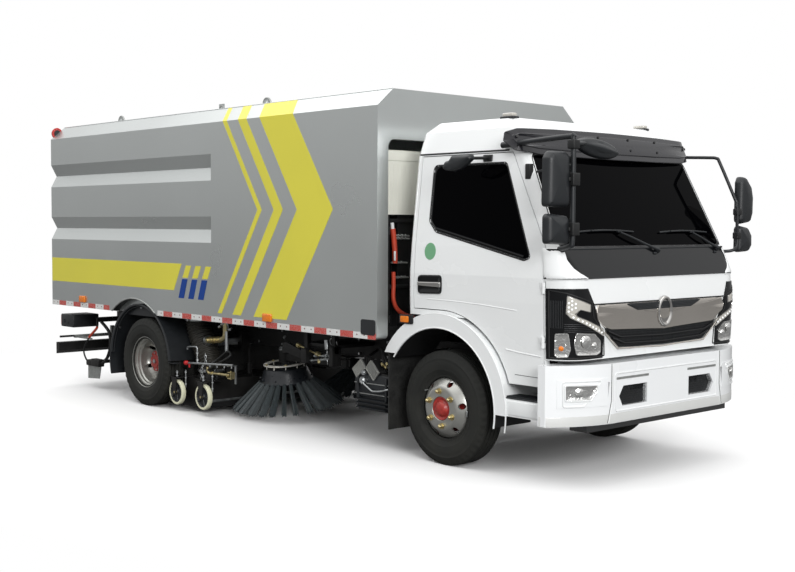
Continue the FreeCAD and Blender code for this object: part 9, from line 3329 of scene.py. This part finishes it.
@dataclass
class Dashboard:
    """Dashboard trim: instrument hood, vents, knobs, a steering wheel pad and stalks.

    Attributes:
        hub: Middle of the steering wheel.
        lean: Way that its column points.
    """

    hub: Point = (2.76, 0.43, 1.62)
    lean: Point = (-0.5, 0.0, 0.8660254)

    def build(self) -> None:
        """Dress the CAD dashboard and add its fittings."""
        dress("dashboard", Paint.GRAINED)
        hub, up = Vector(self.hub), Vector(self.lean)
        pad = Shape().lathe([(0.0, 0.030), (0.045, 0.028), (0.062, 0.020), (0.066, 0.006), (0.0, 0.006)], self.hub,
            tuple(up), 32, False)
        pad.place("steering_pad", "chassis", Paint.GRAINED, "black_plastic")
        stalks = Shape()
        for side in (-1, 1):
            start = hub - up * 0.06 + Vector((0.0, side * 0.03, 0.0))
            stalks.rod(tuple(start), tuple(start + Vector((0.0, side * 0.12, 0.03))), 0.008, 10)
        hood = rounded([(2.80, 1.49), (3.02, 1.49), (3.00, 1.585), (2.86, 1.605), (2.79, 1.55)], 0.02)
        stalks.prism(hood, 1, 0.23, 0.63, 0.012)
        for y in (-0.70, -0.45, 0.0, 0.78):
            stalks.box((2.836, y - 0.07, 1.35), (2.842, y + 0.07, 1.43), 0.004)
            for k in range(4):
                stalks.box((2.828, y - 0.06, 1.362 + 0.016 * k), (2.838, y + 0.06, 1.367 + 0.016 * k), 0.0)
        stalks.rod((2.70, 0.06, 1.05), (2.62, 0.06, 1.36), 0.010, 12)
        stalks.lathe([(0.0, 0.05), (0.02, 0.045), (0.026, 0.02), (0.018, -0.02), (0.0, -0.02)], (2.62, 0.06, 1.36),
            (0, 0, 1), 20, False)
        stalks.place("dashboard_fittings", "chassis", Paint.SEAL, "black_plastic")
        knobs = Shape()
        for y in (-0.14, -0.05, 0.04):
            knobs.rod((2.845, y, 1.30), (2.826, y, 1.30), 0.020, 20)
        knobs.place("dashboard_knobs", "chassis", Paint.CHROME, "chrome_trim")


# ---------------------------------------------------------------- studio


@dataclass
class Studio:
    """Pale floor, white surround, soft lamps and the camera.

    Attributes:
        spread: Half the floor's width.
        near: Where the floor starts to fade into the surround.
        far: Where it is lost in it.
        eye: Where the camera stands.
        turn: Its heading, pitch and roll in degrees.
        lens: Focal length on a 36 mm sensor.
    """

    spread: float = 60.0
    near: float = 1.5
    far: float = 4.2
    eye: Point = (8.0892, -6.8026, 1.6866)
    turn: Point = (47.4596, 87.0477, 0.2402)
    lens: float = 53.996

    def surround(self) -> None:
        """White to the camera, a softer grey to everything that it lights."""
        world = bpy.data.worlds.new("white_surround")
        bpy.context.scene.world = world
        world.use_nodes = True
        tree = world.node_tree
        shader = tree.nodes["Background"]
        seen = add_node(tree, "ShaderNodeLightPath").outputs["Is Camera Ray"]
        way = add_node(tree, "ShaderNodeTexCoord").outputs["Generated"]
        height = add_node(tree, "ShaderNodeSeparateXYZ", {0: way}).outputs[2]
        sky = add_node(tree, "ShaderNodeMapRange", {"Value": height, "From Min": 0.0, "From Max": 0.7, "To Min": 0.42,
                "To Max": 1.15}).outputs[0]
        level = add_node(tree, "ShaderNodeMapRange", {"Value": seen, "To Min": sky, "To Max": 1.0})
        shader.inputs["Color"].default_value = (1.0, 1.0, 1.0, 1.0)
        tree.links.new(level.outputs[0], shader.inputs["Strength"])

    def floor(self) -> None:
        """A pale floor that keeps the vehicle's shadow and is lost in the surround further out."""
        half = self.spread
        mesh = bpy.data.meshes.new("studio_floor")
        mesh.from_pydata([(-half, -half, 0.0), (half, -half, 0.0), (half, half, 0.0), (-half, half, 0.0)], [],
            [(0, 1, 2, 3)])
        paper = Finish("studio_floor", "#f4f4f4", 0.9, mottle=0.0).build()
        tree = paper.node_tree
        place = add_node(tree, "ShaderNodeTexCoord").outputs["Object"]
        flat = add_node(tree, "ShaderNodeVectorMath", {0: place, 1: (0.62, 1.0, 0.0)}, operation="MULTIPLY").outputs[
            0]
        reach = add_node(tree, "ShaderNodeVectorMath", {0: flat}, operation="LENGTH").outputs["Value"]
        fade = add_node(tree, "ShaderNodeMapRange", {"Value": reach, "From Min": self.near, "From Max": self.far},
            interpolation_type="SMOOTHSTEP").outputs[0]
        seen = add_node(tree, "ShaderNodeLightPath").outputs["Is Camera Ray"]
        bounce = blend(tree, seen, linear("#747474"), linear("#f6f6f6"))
        tree.links.new(bounce, tree.nodes["Principled BSDF"].inputs["Base Color"])
        share = maths(tree, "MULTIPLY", fade, seen)
        white = add_node(tree, "ShaderNodeEmission").outputs[0]
        plain = tree.nodes["Principled BSDF"].outputs[0]
        both = add_node(tree, "ShaderNodeMixShader", {0: share, 1: plain, 2: white}).outputs[0]
        tree.links.new(both, tree.nodes["Material Output"].inputs["Surface"])
        mesh.materials.append(paper)
        item = bpy.data.objects.new("studio_floor", mesh)
        bpy.context.scene.collection.objects.link(item)

    def lamp(self, name: str, kind: str, place: Point, aim: Point, power: float, size: float) -> None:
        """Add one lamp.

        Args:
            name: Its name.
            kind: AREA or SUN.
            place: Where it hangs.
            aim: What it points at.
            power: Watts, or sun strength.
            size: Width, or the sun's angle in radians.
        """
        data = bpy.data.lights.new(name, kind)
        data.energy = power
        if kind == "AREA":
            data.shape = "SQUARE"
            data.size = size
        else:
            data.angle = size
        item = bpy.data.objects.new(name, data)
        item.location = place
        item.rotation_euler = (Vector(aim) - Vector(place)).to_track_quat("-Z", "Y").to_euler()
        bpy.context.scene.collection.objects.link(item)

    def camera(self) -> None:
        """Stand the camera at its place."""
        data = bpy.data.cameras.new("studio_camera")
        data.sensor_width = 36.0
        data.lens = self.lens
        data.clip_end = 200.0
        item = bpy.data.objects.new("studio_camera", data)
        heading, pitch, roll = (math.radians(a) for a in self.turn)
        item.matrix_world = Matrix.Translation(self.eye) @ (Matrix.Rotation(heading, 3, "Z") @ Matrix.Rotation(pitch,
                3, "X") @ Matrix.Rotation(roll, 3, "Z")).to_4x4()
        bpy.context.scene.collection.objects.link(item)
        bpy.context.scene.camera = item

    def build(self) -> None:
        """Set up everything round the vehicle."""
        self.surround()
        self.floor()
        self.lamp("overhead", "AREA", (-1.8, -1.5, 8.0), (-1.8, -1.5, 1.0), 420.0, 12.0)
        self.lamp("front_fill", "AREA", (19.0, -9.0, 7.5), (1.0, -0.5, 1.3), 2350.0, 7.0)
        self.camera()
        bpy.context.scene.view_settings.view_transform = "Standard"


def main() -> None:
    """Build the looks round the frame."""
    logging.basicConfig(level=logging.INFO, format="%(message)s")
    Hopper().build()
    RearDoor().build()
    for side in Side:
        FrontWheel(side, FRONT_AXLE, (0.863,), 0.941).build()
        RearWheels(side, REAR_AXLE, (0.748, 0.998), 1.08).build()
        CabSide(side).build()
        Broom(side).build()
    wrap = Girth(1.06, "cab_shell", "headlamps", "grille", "front_mask")
    for part in (Headlamp(), Grille()):
        part.build(wrap)
    for part in (Bumper(), Windscreen(), Roof()):
        part.build()
    dress("front_fenders", Paint.FENDER)
    for part in (Seats(), Dashboard()):
        part.build()
    for part in (Mirrors(), Nozzle(), SuctionHose(), CoolerBank(), SubframeBits(), RearEnd(), Gap(), Running()):
        part.build()
    Studio().build()
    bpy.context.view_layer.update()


if __name__ == "__main__":
    main()
